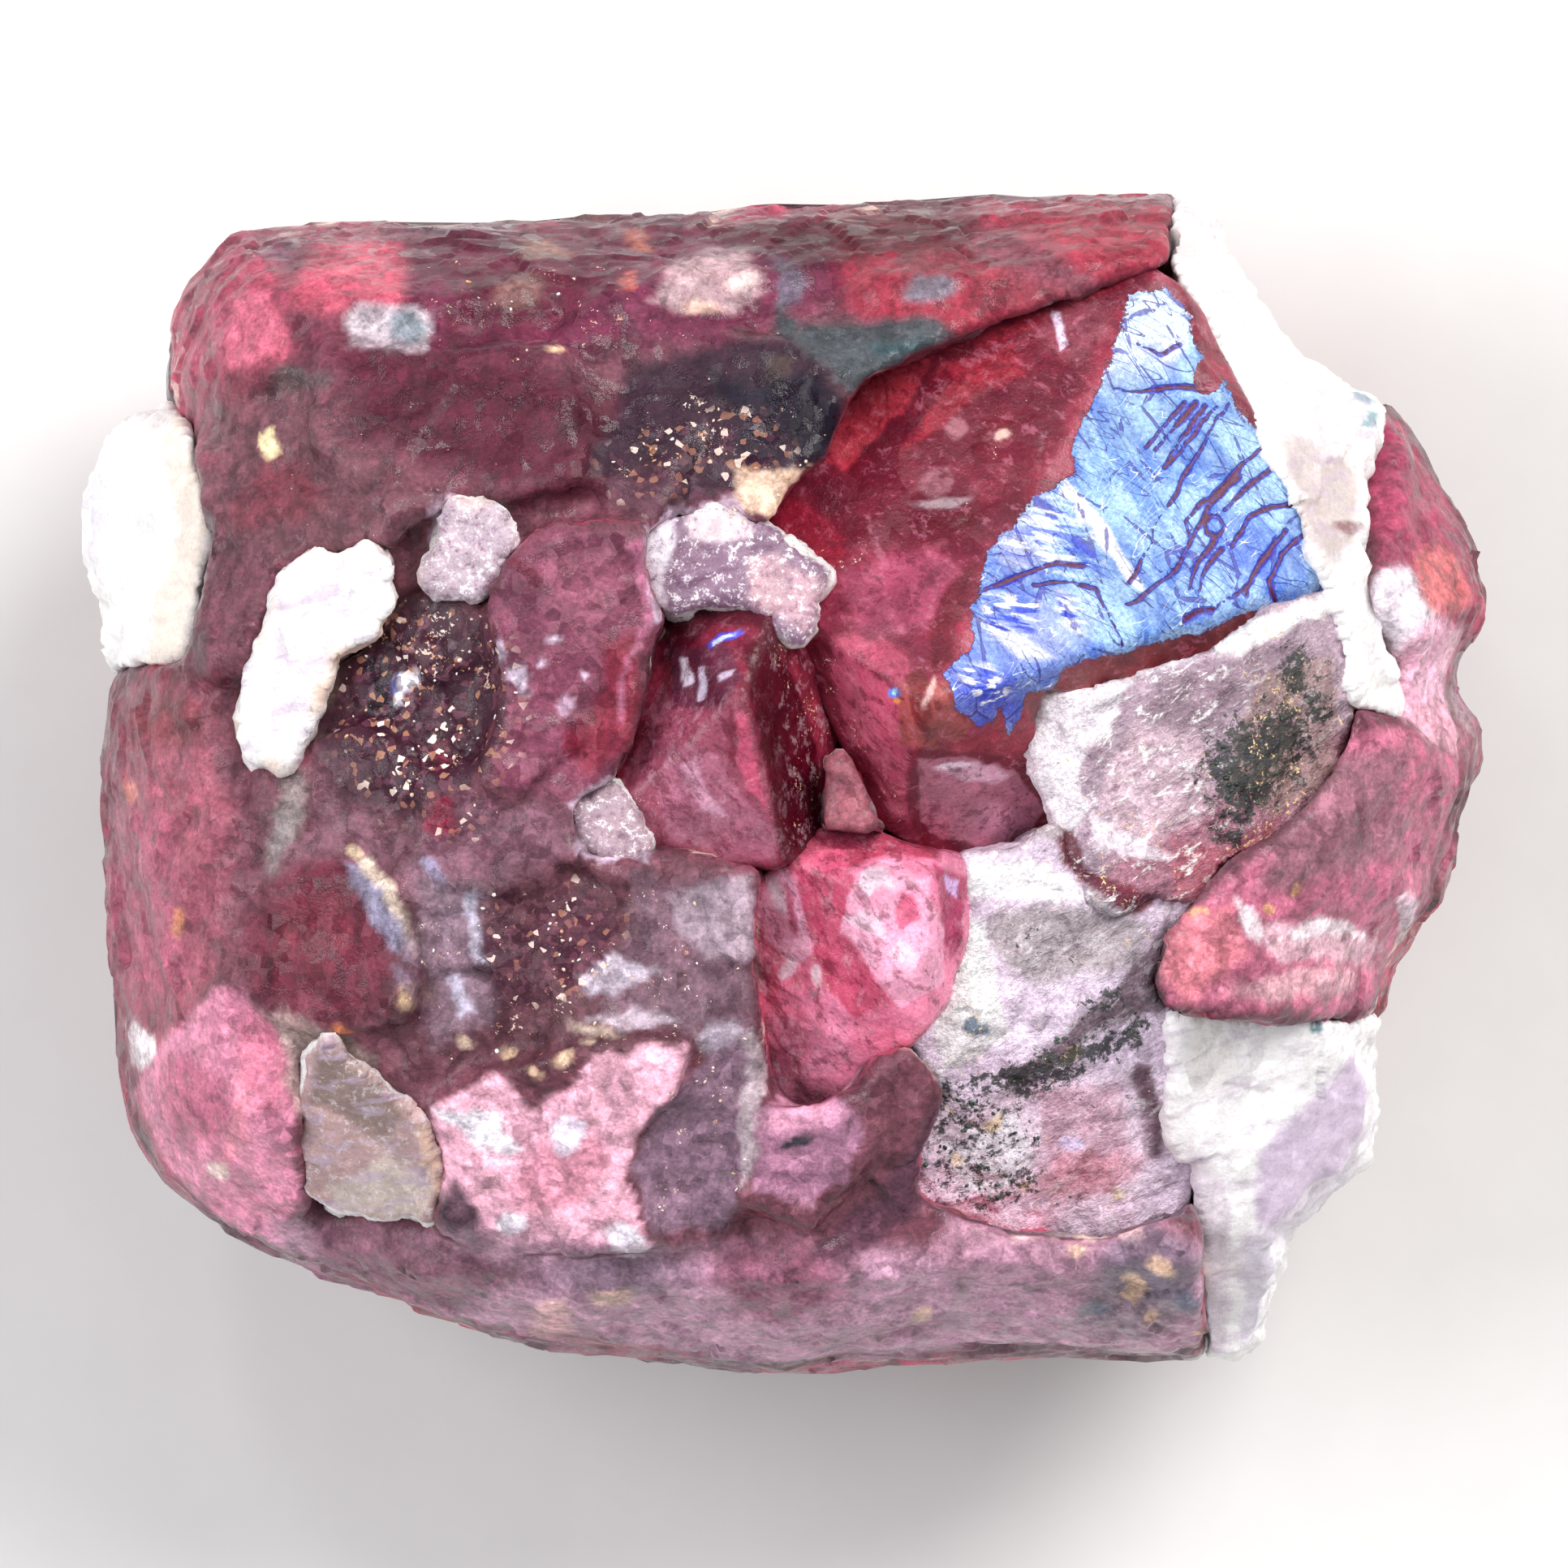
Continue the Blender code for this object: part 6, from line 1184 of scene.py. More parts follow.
CALCITE_PATCHES = {
    "calcite_ridge": [
        ((196, 180, 176), 0.12, 0.9, [(4.2, 2.9), (4.6, 3.1), (4.9, 2.6), (4.8, 2), (4.6, 1.8), (4.4, 2.2)]),
        ((232, 220, 224), 0.2, 0.6, (4.6, 3.3, 0.4, 0.5)),
        ((228, 196, 196), 0.08, 0.7, (3.5, 4.75, 0.2, 0.3)),
        ((120, 62, 66), 0.03, 0.8, (4.78, 2.2, 0.1, 0.06, 20)),
        ((40, 120, 136), 0.03, 0.9, (4.88, 3.28, 0.16, 0.07, -30)),
        ((60, 140, 150), 0.03, 0.8, (4.97, 3.08, 0.1, 0.05)),
    ],
    "calcite_foot": [
        ((255, 252, 252), 0.3, 1, (4.3, -3.3, 3, 3)),
        ((214, 194, 218), 0.08, 0.95, [(4.85, -2.25), (5.1, -2.75), (4.8, -3.45), (4.25, -3.95), (4, -3.7),
            (4.05, -3.1), (4.45, -2.7)]),
        ((214, 204, 222), 0.1, 0.7, [(3.95, -3.8), (4.3, -3.8), (4.3, -4.9), (3.9, -5)]),
        ((216, 200, 212), 0.08, 0.7, [(3.5, -3), (3.8, -3.6), (3.8, -4.9), (3.4, -4.9), (3.3, -3.4)]),
        ((30, 110, 120), 0.02, 0.9, (4.6, -2.1, 0.06, 0.08)),
        ((250, 244, 238), 0.15, 0.6, (3.6, -2.3, 0.2, 0.4)),
    ],
    "calcite_left_lump": [
        ((252, 236, 220), 0.1, 0.9, [(-5.1, 3.2), (-4.9, 2.2), (-5.1, 1.1), (-5.4, 1), (-5.2, 2.2),
            (-5.3, 3.2)]),
        ((222, 214, 232), 0.15, 0.7, [(-6.1, 3.3), (-5.8, 2.8), (-5.9, 1.4), (-6.2, 1)]),
    ],
    "grey_calcite_grain": [
        ((182, 148, 146), 0.2, 1, [(-4.3, -2), (-2.8, -2), (-2.8, -3.9), (-4.3, -3.9)]),
        ((206, 190, 180), 0.1, 0.8, [(-3.9, -3.4), (-3.4, -3.1), (-3, -3.4), (-3.1, -3.7), (-3.8, -3.6)]),
        ((128, 108, 98), 0.1, 0.8, [(-4, -2.3), (-3.7, -2.2), (-3.2, -2.8), (-3.4, -3), (-4, -2.7)]),
        ((226, 186, 160), 0.05, 0.7, (-3.02, -3.2, 0.08, 0.35, 10)),
    ],
    "calcite_blade": [
        ((228, 214, 226), 0.1, 0.7, [(-4.3, 1.6), (-3.6, 1.8), (-3.9, 0.8), (-4.4, 0.3)]),
    ],
    "calcite_chip": [
        ((184, 162, 174), 0.3, 1, (-2.7, 1.95, 0.6, 0.6)),
    ],
    "calcite_cap": [
        ((134, 102, 126), 0.1, 1, [(-1.3, 1.3), (-1.2, 2.3), (0.5, 2.4), (0.5, 1.1)]),
        ((128, 92, 118), 0.1, 0.8, (-0.75, 1.95, 0.25, 0.25)),
        ((238, 228, 240), 0.05, 0.9, [(-1.2, 2.1), (-0.95, 2.3), (-0.9, 2.1), (-1.02, 1.75), (-0.95, 1.45),
            (-1.2, 1.5)]),
        ((240, 220, 224), 0.05, 0.7, [(-0.9, 2.35), (-0.3, 2.3), (-0.3, 2.1), (-0.8, 2.15)]),
        ((196, 156, 166), 0.05, 0.9, [(-0.35, 1.95), (-0.1, 1.95), (0.35, 1.7), (0.15, 1.3), (-0.3, 1.6)]),
    ],
    "calcite_tooth": [
        ((168, 140, 150), 0.3, 1, (-1.45, -0.35, 0.6, 0.6)),
    ],
}
PLAIN_BANDS, PLAIN_SUGAR = 0.1, 0.15  # for the grains that aren't listed
MOST_SUGAR = 0.9  # from here on a grain counts as a sugary chip
# How strong the lilac bands are, how sugary the grain is, and the cream rim along its outline: (strength,
# outline).
BANDS = {"calcite_blade": 0.5, "grey_calcite_grain": 0.5, "calcite_ridge": 0.35, "calcite_foot": 0.3}
SUGAR = {"calcite_chip": 1.0, "calcite_cap": 0.9, "calcite_tooth": 1.0, "grey_calcite_grain": 0.4}
RIMS = {
    "calcite_blade": (0.8, [
        (-4.26, 1.78), (-4.02, 1.95), (-3.76, 1.92), (-3.52, 2.08), (-3.38, 1.9), (-3.34, 1.58),
        (-3.46, 1.26), (-3.8, 1.05), (-3.95, 0.72), (-4, 0.46), (-4.2, 0.14), (-4.54, 0.2), (-4.6, 0.42),
        (-4.52, 1), (-4.44, 1.34),
    ]),
    "calcite_left_lump": (0.5, [
        (-5, 3.3), (-7, 3.6), (-7, 0.6), (-5.1, 1), (-4.9, 1.6), (-4.85, 2.3),
    ]),
    "calcite_chip": (0.3, [
        (-3.08, 1.72), (-2.9, 2), (-2.8, 2.4), (-2.5, 2.36), (-2.3, 2.05), (-2.4, 1.85), (-2.6, 1.55),
    ]),
}


def levels(points, patches):
    """One number for each point, laid from patches of (level, softness, shape)."""
    total = np.zeros(len(points))
    for level, soft, shape in patches:
        cover = smoothstep(-soft, soft, patch_depth(shape, points))
        total += (level - total) * cover
    return total


def crown_share(points, low=2.4, high=4.0, facing=None):
    """How far the plan's patches reach: full on the crown, none down the flank or on a steep wall."""
    share = smoothstep(low, high, points[:, 2])
    return share if facing is None else share * smoothstep(0.02, 0.34, facing[:, 2])


FLANK_GRAINS = ("plum", "mauve", "wine", "grey_mauve", "rose", "brown")
# Each stain: (colour, size in mm, from which noise value it shows, strength).
FLANK_STAINS = (
    ("maroon", 1.1, 0.0, 0.7),
    ("plum", 0.7, 0.1, 0.6),
    ("rose", 0.8, 0.25, 0.5),
    ("grey", 0.6, 0.42, 0.8),
    ("cream", 0.45, 0.62, 0.9),
)


def flank_colour(points, salt):
    """The massive spinel's own mixture, for the flank and the base."""
    colour = plain("maroon", points)
    shaken = points + 0.12 * layered_noise(points, 0.5, salt)[:, None]
    pick = hashed(grains(shaken, 1.25, salt + 3)[1], salt + 9)
    for number, other in enumerate(FLANK_GRAINS):
        colour[(pick > 0.16 * number + 0.05) & (pick <= 0.16 * number + 0.21)] = tone(other)
    for other, size, low, strength in FLANK_STAINS:
        salt += 17
        cover = smoothstep(low, low + 0.14, layered_noise(points, size, salt, 5)) * strength
        colour += (tone(other) - colour) * cover[:, None]
    return colour


RESTING_EDGE = 0.02  # up to what height the flat resting face is left alone, mm


def moved_out(mesh, height):
    """Moves each point out along its normal, but leaves the flat resting face alone."""
    points, facing = coordinates(mesh), normals(mesh)
    resting = (points[:, 2] < RESTING_EDGE) & (facing[:, 2] < -0.5)
    place(mesh, points + facing * np.where(resting, 0, height)[:, None])


def grown_by(piece, distance):
    mesh = piece.data
    place(mesh, coordinates(mesh) + normals(mesh) * distance)


def surface_of(node, step, most, low, high, closed=0.0):
    """The node's solid as an even mesh: fine where it shows from above, coarse where it is hidden.

    Clefts up to twice closed wide, in mm, are filled, by growing the form and drawing it in again.
    """
    piece = solid_copy(node)
    if closed:
        remeshed(piece, closed / 2)
        grown_by(piece, closed)
        remeshed(piece, closed / 2)
        softened(piece.data, 2)
        grown_by(piece, -closed)
    remeshed(piece, step)
    count = sum(len(face.vertices) - 2 for face in piece.data.polygons)
    if count > most:
        thinned(piece, unseen(piece.data, low, high), most / count)
    return piece


# How far a piece grows into the open hairline round it, in mm.
SEAM_FILL = 0.06
CHIP_FILL = 0.085  # for the small sugary chips, which lie flush
LUMP_FILL = 0.028  # for the lump, which would hide its crystals' edges
OUTER_FILL = 0.01  # where a piece is the outside of the stone
VIOLET_CAST = np.array([1.02, 0.98, 1.06])  # the spinel's own cast, over all its patches


def seam_fill(points, fill=SEAM_FILL):
    """How far to grow each point: into its neighbours, but hardly at all round the stone's outside."""
    middle = (CAD_LOW + CAD_HIGH) / 2
    reach = np.abs(points - middle) / ((CAD_HIGH - CAD_LOW) / 2)
    outer = smoothstep(0.80, 0.93, np.maximum(reach[:, 0], reach[:, 1]))
    outer = np.maximum(outer, 1 - smoothstep(2.5, 3.5, points[:, 2]))
    return fill + (OUTER_FILL - fill) * outer


def started(node, settings, low, high, rounds, closed=0.0):
    """Begins a node's surface: (the piece, its points in mm, how high its relief is in mm)."""
    piece = surface_of(node, settings.step / MM, settings.most, low, high, closed)
    softened(piece.data, rounds)
    return piece, coordinates(piece.data), settings.relief / MM


def make_lump(settings, material):
    piece, points, relief = started("spinel_lump", settings, 2.2, 4.4, 2, 0.10)
    mesh = piece.data
    shaken = points + 0.03 * layered_noise(points, 0.2, 8)[:, None]
    height = broken_facets(points, 0.85, 5) * 0.7 * relief
    height += broken_facets(shaken, 0.34, 21) * 0.95 * relief
    height += layered_noise(points, 0.7, 31, 5) * 0.32 * relief
    height += np.clip(levels(points, LUMP_PIT), 0, 1) * broken_facets(points, 0.22, 77) * 2.2 * relief
    facing = normals(mesh)
    height *= 1 - levels(points, LUMP_SMOOTH) * crown_share(points)
    moved_out(mesh, seam_fill(points, LUMP_FILL) + height)
    points = coordinates(mesh)
    colour = flank_colour(points, 40)
    share = crown_share(points, facing=facing)
    colour += (tone((112, 66, 76)) - colour) * share[:, None]
    painted(colour, points, LUMP_PATCHES, 60, 1.0, share)
    gap = grains(points, 0.55, 88)[2]
    colour *= (0.72 + 0.28 * smoothstep(0.0, 0.06, gap))[:, None]
    keep(
        mesh,
        tint=colour * VIOLET_CAST,
        specks=0.25 * (1 - share) + levels(points, LUMP_FLECKS) * share,
        glass=levels(points, LUMP_GLASS) * share,
    )
    return finished(piece, "spinel_lump_surface", material, "massive_spinel", "spinel_lump")


def make_blue_crystal(settings, material):
    piece, points, relief = started("blue_faced_crystal", settings, 4.7, 6.1, 1)
    mesh = piece.data
    inside = depth_inside(BLUE_FACE, points)
    inside += layered_noise(points, 0.12, 3, 3) * 0.03
    film = np.where(smoothstep(5.2, 5.6, points[:, 2]) > 0.5, inside, -0.2)
    wander = np.stack([layered_noise(points, 0.11, 13 + axis, 2) * 0.016 for axis in range(3)], axis=1)
    width = np.clip(0.85 + 0.7 * layered_noise(points, 0.3, 23, 2), 0.35, 1.6)
    lines = distance_to_lines(BLUE_CRACKS, points + wander * (1, 1, 0)) / width
    height = broken_facets(points, 0.5, 15) * 0.5 * relief
    height += layered_noise(points, 0.3, 35, 4) * 0.35 * relief
    height = height * (1 - 0.8 * smoothstep(-0.05, 0.05, film))
    plates = broken_facets(points * (1, 1, 0) @ TURN, 0.5, 29) * 0.25 * relief
    cut = 0.5 * relief * smoothstep(0.04, 0.0, lines)
    height += smoothstep(0.0, 0.03, film) * (0.3 * relief + plates - cut)
    moved_out(mesh, seam_fill(points) + height)
    points = coordinates(mesh)
    colour = plain("wine", points)
    dark = smoothstep(-0.3, 0.5, layered_noise(points, 0.5, 4)) * 0.7
    colour += (tone("maroon") - colour) * dark[:, None]
    painted(colour, points, BLUE_CRYSTAL_PATCHES, 70, 0.6)
    hole = smoothstep(0.0, 0.05, spot_depth(BLUE_HOLE, points))
    keep(
        mesh,
        tint=colour * VIOLET_CAST,
        film=np.where(hole > 0.5, -0.05, film),
        crack=lines,
        pale=np.clip(levels(points, BLUE_PALE_SHEEN), 0, 1),
        violet=np.clip(levels(points, BLUE_VIOLET_SHEEN), 0, 1),
        striped=np.clip(levels(points, BLUE_STRIPED_SHEEN), 0, 1),
        specks=levels(points, BLUE_CRYSTAL_FLECKS) * smoothstep(5.6, 6.0, points[:, 2]),
    )
    return finished(piece, "blue_faced_crystal_surface", material, "crystal_spinel", "blue_faced_crystal")


def make_red_crystal(node, settings, material, patches, fleck_patches, salt):
    piece, points, relief = started(node, settings, 5.3, 6.3, 2)
    mesh = piece.data
    height = broken_facets(points, 0.42, salt) * 0.6 * relief
    height += layered_noise(points, 0.3, salt + 3, 4) * 0.5 * relief
    moved_out(mesh, seam_fill(points) + height)
    points = coordinates(mesh)
    colour = painted(plain("wine", points), points, patches, salt + 20, 0.5)
    specks = levels(points, fleck_patches) * smoothstep(5.4, 6.0, points[:, 2])
    keep(mesh, tint=colour * VIOLET_CAST, specks=specks)
    return finished(piece, node + "_surface", material, "crystal_spinel", node)


def make_marble(node, settings, material, patches, green, veins, salt):
    piece, points, relief = started(node, settings, 4.6, 5.6, 1)
    mesh = piece.data
    height = broken_facets(points, 0.5, salt) * 0.8 * relief
    height += broken_facets(points, 0.2, salt + 4) * 1.2 * relief
    height += layered_noise(points, 0.4, salt + 8, 5) * 0.6 * relief
    moved_out(mesh, seam_fill(points) + height)
    points = coordinates(mesh)
    colour = painted(plain((176, 160, 164), points), points, patches, salt + 20, 0.9)
    brown = smoothstep(3.4, 4.1, points[:, 0])
    keep(
        mesh,
        tint=colour,
        green=np.clip(levels(points, green), 0, 1.3),
        veins=veins * (1 - 0.7 * brown) * (1 - 0.8 * smoothstep(0.55, 0.85, colour.min(axis=1))),
        specks=0.3 + 0.4 * layered_noise(points, 0.8, salt + 30, 2) + 0.35 * brown,
    )
    return finished(piece, node + "_surface", material, "marble", node)


def make_calcite(node, settings, material, salt):
    low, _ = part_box(node)
    floor = low[2] / MM
    piece, points, relief = started(node, settings, floor + 0.3, floor + 1.2, 1)
    mesh = piece.data
    cleaved = points @ TURN * (1, 0.6, 1)
    height = broken_facets(cleaved, 0.55, salt) * 0.9 * relief
    height += broken_facets(points, 0.22, salt + 4) * 0.9 * relief
    height += layered_noise(points, 0.5, salt + 8, 4) * 0.5 * relief
    facing = normals(mesh)
    wall = 1 - smoothstep(0.3, 0.8, facing[:, 2])
    height += wall * layered_noise(points, 0.22, salt + 12, 3) * 0.7 * relief
    sugar = SUGAR.get(node, PLAIN_SUGAR)
    height += sugar * broken_facets(points, 0.30, salt + 21) * 1.6 * relief
    fill = CHIP_FILL if sugar >= MOST_SUGAR else SEAM_FILL
    moved_out(mesh, seam_fill(points, fill) + height)
    points = coordinates(mesh)
    share = crown_share(points, 1.5, 3.0, facing)
    colour = painted(plain("white", points), points, CALCITE_PATCHES[node], salt + 20, 0.8, share)
    rim = np.zeros(len(points))
    if node in RIMS:
        rim_strength, outline = RIMS[node]
        rim = smoothstep(0.16, 0.0, np.abs(depth_inside(outline, points))) * rim_strength
    keep(
        mesh,
        tint=colour,
        rim=rim * smoothstep(-0.2, 0.5, layered_noise(points, 0.4, salt + 33, 3)),
        bands=np.full(len(points), BANDS.get(node, PLAIN_BANDS)),
        sugar=np.full(len(points), sugar),
        specks=0.2 + 0.5 * layered_noise(points, 0.9, salt + 30, 2),
    )
    slot = "marble" if node == "grey_calcite_grain" else "calcite"
    return finished(piece, node + "_surface", material, slot, node)


# ------------------------------------------------------------------ crumbs and specks

CRUMB_SPOTS = [
    *alike((0.08, 0.1), [(-3.2, -0.9), (-0.4, -0.9), (-0.4, -2.2), (-3.2, -2.3)], [(-1.2, -2.4), (-0.3, -2.1),
        (-0.3, -3.7), (-1.1, -3.7)]),
    (0.03, 0.3, [(-3.3, 4.6), (-0.2, 4.6), (-0.2, 3.8), (-3.3, 3.6)]),
    (0.2, 0.2, (-3, 0.8, 0.7, 0.8)),
    (1, 0.04, [(-1.55, 2.75), (-1.2, 2.95), (-0.8, 2.95), (-0.4, 3), (-0.4, 2.75), (-1, 2.75), (-1.5, 2.65)]),
    (1, 0.05, [(-0.45, 2.75), (-0.1, 2.6), (0.3, 2.75), (0.1, 2.4), (-0.15, 2.2), (-0.45, 2.3)]),
    (0.8, 0.06, [(-0.75, 3.4), (-0.4, 3.3), (-0.3, 2.9), (-0.6, 2.8)]),
    (1, 0.04, [(-2.8, -0.1), (-2.5, -0.15), (-2.5, -0.42), (-2.75, -0.42)]),
    (0.6, 0.05, [(-3.5, 0.3), (-3.1, 0.35), (-3.1, -0.3), (-3.3, -0.3)]),
    (0.8, 0.04, [(-2.25, -0.8), (-1.9, -0.85), (-1.9, -1.3), (-2.2, -1.3)]),
]
SPECK_SPOTS = [
    (1, 0.1, [(3.6, 0.4), (4.3, 0.6), (4.45, 0.2), (3.95, -0.35), (3.6, -0.2)]),
    (0.8, 0.1, [(1.2, -2.5), (2.2, -2.2), (3.1, -1.9), (3.1, -2.15), (2.2, -2.6), (1.5, -2.9)]),
    (0.6, 0.2, (1.9, -3.2, 0.6, 0.3)),
]


def crumb_nodes():
    """Scatters small uneven stones over a mesh, thick where its layer called crowd is near 1."""
    tree = bpy.data.node_groups.new("Scattered crumbs", "GeometryNodeTree")
    face = tree.interface
    face.new_socket("Ground", in_out="INPUT", socket_type="NodeSocketGeometry")
    for name, kind in (("Per square metre", "NodeSocketFloat"), ("Size", "NodeSocketFloat"),
                       ("Seed", "NodeSocketInt"), ("Material", "NodeSocketMaterial")):
        face.new_socket(name, in_out="INPUT", socket_type=kind)
    face.new_socket("Crumbs", in_out="OUTPUT", socket_type="NodeSocketGeometry")
    add, link = tree.nodes.new, tree.links.new
    given, out = add("NodeGroupInput"), add("NodeGroupOutput")
    crowd = add("GeometryNodeInputNamedAttribute")
    crowd.data_type = "FLOAT"
    crowd.inputs["Name"].default_value = "crowd"
    thick = add("ShaderNodeMath")
    thick.operation = "MULTIPLY"
    link(crowd.outputs["Attribute"], thick.inputs[0])
    link(given.outputs["Per square metre"], thick.inputs[1])
    points = add("GeometryNodeDistributePointsOnFaces")
    link(given.outputs["Ground"], points.inputs["Mesh"])
    link(thick.outputs[0], points.inputs["Density"])
    link(given.outputs["Seed"], points.inputs["Seed"])
    stone = add("GeometryNodeMeshIcoSphere")
    stone.inputs["Radius"].default_value = 1.0
    stone.inputs["Subdivisions"].default_value = 1
    size = add("FunctionNodeRandomValue")
    size.data_type = "FLOAT_VECTOR"
    size.inputs[0].default_value = (0.25, 0.25, 0.2)
    size.inputs[1].default_value = (1.0, 0.8, 0.6)
    link(given.outputs["Seed"], size.inputs["Seed"])
    scale = add("ShaderNodeVectorMath")
    scale.operation = "SCALE"
    link(size.outputs[0], scale.inputs[0])
    link(given.outputs["Size"], scale.inputs["Scale"])
    turn = add("FunctionNodeRandomValue")
    turn.data_type = "FLOAT_VECTOR"
    turn.inputs[1].default_value = (math.tau,) * 3
    link(given.outputs["Seed"], turn.inputs["Seed"])
    copies = add("GeometryNodeInstanceOnPoints")
    link(points.outputs["Points"], copies.inputs["Points"])
    link(stone.outputs["Mesh"], copies.inputs["Instance"])
    link(turn.outputs[0], copies.inputs["Rotation"])
    link(scale.outputs[0], copies.inputs["Scale"])
    real = add("GeometryNodeRealizeInstances")
    link(copies.outputs[0], real.inputs[0])
    dressed = add("GeometryNodeSetMaterial")
    link(real.outputs[0], dressed.inputs["Geometry"])
    link(given.outputs["Material"], dressed.inputs["Material"])
    link(dressed.outputs[0], out.inputs["Crumbs"])
    return tree


def joined_surfaces(names, spots, salt):
    """A copy of some finished surfaces as one mesh that says where crumbs crowd."""
    form = bmesh.new()
    for name in names:
        form.from_mesh(bpy.data.objects[name].data)
    mesh = bpy.data.meshes.new("ground")
    form.to_mesh(mesh)
    form.free()
    points, facing = coordinates(mesh) / MM, normals(mesh)
    crowd = np.clip(levels(points, spots), 0, 1) * smoothstep(0.2, 0.5, facing[:, 2])
    crowd = crowd * crown_share(points, 4.0, 5.0)
    keep(mesh, crowd=crowd * smoothstep(-0.2, 0.5, layered_noise(points, 0.3, salt, 3)))
    mesh.materials.clear()
    return mesh


def make_crumbs(name, names, spots, settings, size, material, slot, salt):
    piece = bpy.data.objects.new(name, joined_surfaces(names, spots, salt))
    bpy.context.scene.collection.objects.link(piece)
    tree = bpy.data.node_groups.get("Scattered crumbs") or crumb_nodes()
    scatter = piece.modifiers.new("Scatter", "NODES")
    scatter.node_group = tree
    values = {"Per square metre": settings.crowding / MM**2, "Size": size, "Seed": salt, "Material": material}
    for item in tree.interface.items_tree:
        if item.in_out == "INPUT" and item.name in values:
            scatter[item.identifier] = values[item.name]
    settled(piece)
    mesh = piece.data
    if not len(mesh.polygons):
        raise RuntimeError(name + " has no crumbs")
    points = coordinates(mesh) / MM
    wander = np.stack([soft_noise(points, size / MM, salt + axis) for axis in range(3)], axis=1)
    points += 0.25 * size / MM * wander
    place(mesh, points)
    return finished(piece, name, material, slot)


# ------------------------------------------------------------------ the add-on's settings, buttons and panel


def length(name, description, default):
    return FloatProperty(
        name=name, description=description, default=default, min=0.0, unit="LENGTH", precision=6
    )


def power(name, description, default):
    return FloatProperty(name=name, description=description, default=default, unit="POWER")


def most_faces(default):
    return IntProperty(
        name="Most triangles", description="Most triangles in one piece", default=default, min=2000
    )


class SpecimenLump(PropertyGroup):
    step: length("Mesh step", "Width of the even squares of the lump's surface", 0.000052)
    relief: length("Relief", "Height of the lump's broken grains", 0.00010)
    most: most_faces(195000)


class SpecimenBlue(PropertyGroup):
    step: length("Mesh step", "Width of the even squares of the blue-faced crystal", 0.000025)
    relief: length("Relief", "Height of its breaks and of its film", 0.00004)
    most: most_faces(190000)


class SpecimenRed(PropertyGroup):
    step: length("Mesh step", "Width of the even squares of the small crystals", 0.000026)
    relief: length("Relief", "Height of their breaks", 0.00005)
    most: most_faces(70000)


class SpecimenMarble(PropertyGroup):
    step: length("Mesh step", "Width of the even squares of the marbles", 0.000032)
    relief: length("Relief", "Height of their broken grains", 0.00008)
    most: most_faces(90000)


class SpecimenCalcite(PropertyGroup):
    step: length("Mesh step", "Width of the even squares of the calcite grains", 0.000035)
    relief: length("Relief", "Height of their cleavage steps", 0.00008)
    most: most_faces(60000)


class SpecimenCrumbs(PropertyGroup):
    crowding: FloatProperty(
        name="Crowding",
        description="Crumbs on a square millimetre where they crowd most",
        default=160.0,
        min=0.0,
    )
    crumb: length("Crumb size", "Half the width of the largest calcite crumb", 0.000032)
    speck: length("Speck size", "Half the width of the largest green speck", 0.000035)


class SpecimenStage(PropertyGroup):
    lens: FloatProperty(
        name="Lens", description="Focal length of the camera, in mm", default=1000.0, min=20.0
    )
    width: length("Width in view", "Width of the view at the level of the crown's edge", 0.013347)
    key: power("Key light", "Power of the large soft light", 0.42)
    fill: power("Fill light", "Power of the soft light across from it", 0.27)
    spark: power("Spark light", "Power of the small light that makes the breaks glint", 0.025)


class SPECIMEN_OT_lump(Operator):
    """Builds the surface of the massive spinel lump"""

    bl_idname = "specimen.lump"
    bl_label = "Spinel lump"

    def execute(self, context):
        make_lump(context.scene.specimen_lump, spinel_material())
        return {"FINISHED"}


class SPECIMEN_OT_blue(Operator):
    """Builds the surface of the crystal with the blue film"""

    bl_idname = "specimen.blue"
    bl_label = "Blue-faced crystal"

    def execute(self, context):
        make_blue_crystal(context.scene.specimen_blue, film_material())
        return {"FINISHED"}


class SPECIMEN_OT_red(Operator):
    """Builds the surfaces of the central and the lower crystal"""

    bl_idname = "specimen.red"
    bl_label = "Red crystals"

    def execute(self, context):
        settings = context.scene.specimen_red
        dark = crystal_material("Dark wine spinel", 0.08, 0.30)
        light = crystal_material("Light wine spinel", 0.12, 0.55)
        make_red_crystal("central_crystal", settings, dark, CENTRAL_PATCHES, CENTRAL_FLECKS, 101)
        make_red_crystal("lower_crystal", settings, light, LOWER_PATCHES, LOWER_FLECKS, 151)
        return {"FINISHED"}


class SPECIMEN_OT_marble(Operator):
    """Builds the surfaces of the veined slab and the speckled marble"""

    bl_idname = "specimen.marble"
    bl_label = "Marbles"

    def execute(self, context):
        settings = context.scene.specimen_marble
        marble = marble_material()
        make_marble("veined_marble_slab", settings, marble, SLAB_PATCHES, SLAB_GREEN, 0.85, 201)
        make_marble("speckled_marble", settings, marble, SPECKLED_PATCHES, SPECKLED_GREEN, 0.35, 251)
        return {"FINISHED"}


class SPECIMEN_OT_calcite(Operator):
    """Builds the surfaces of the calcite grains"""

    bl_idname = "specimen.calcite"
    bl_label = "Calcite grains"

    def execute(self, context):
        calcite = calcite_material()
        for number, node in enumerate(CALCITE_PATCHES):
            make_calcite(node, context.scene.specimen_calcite, calcite, 300 + 40 * number)
        return {"FINISHED"}


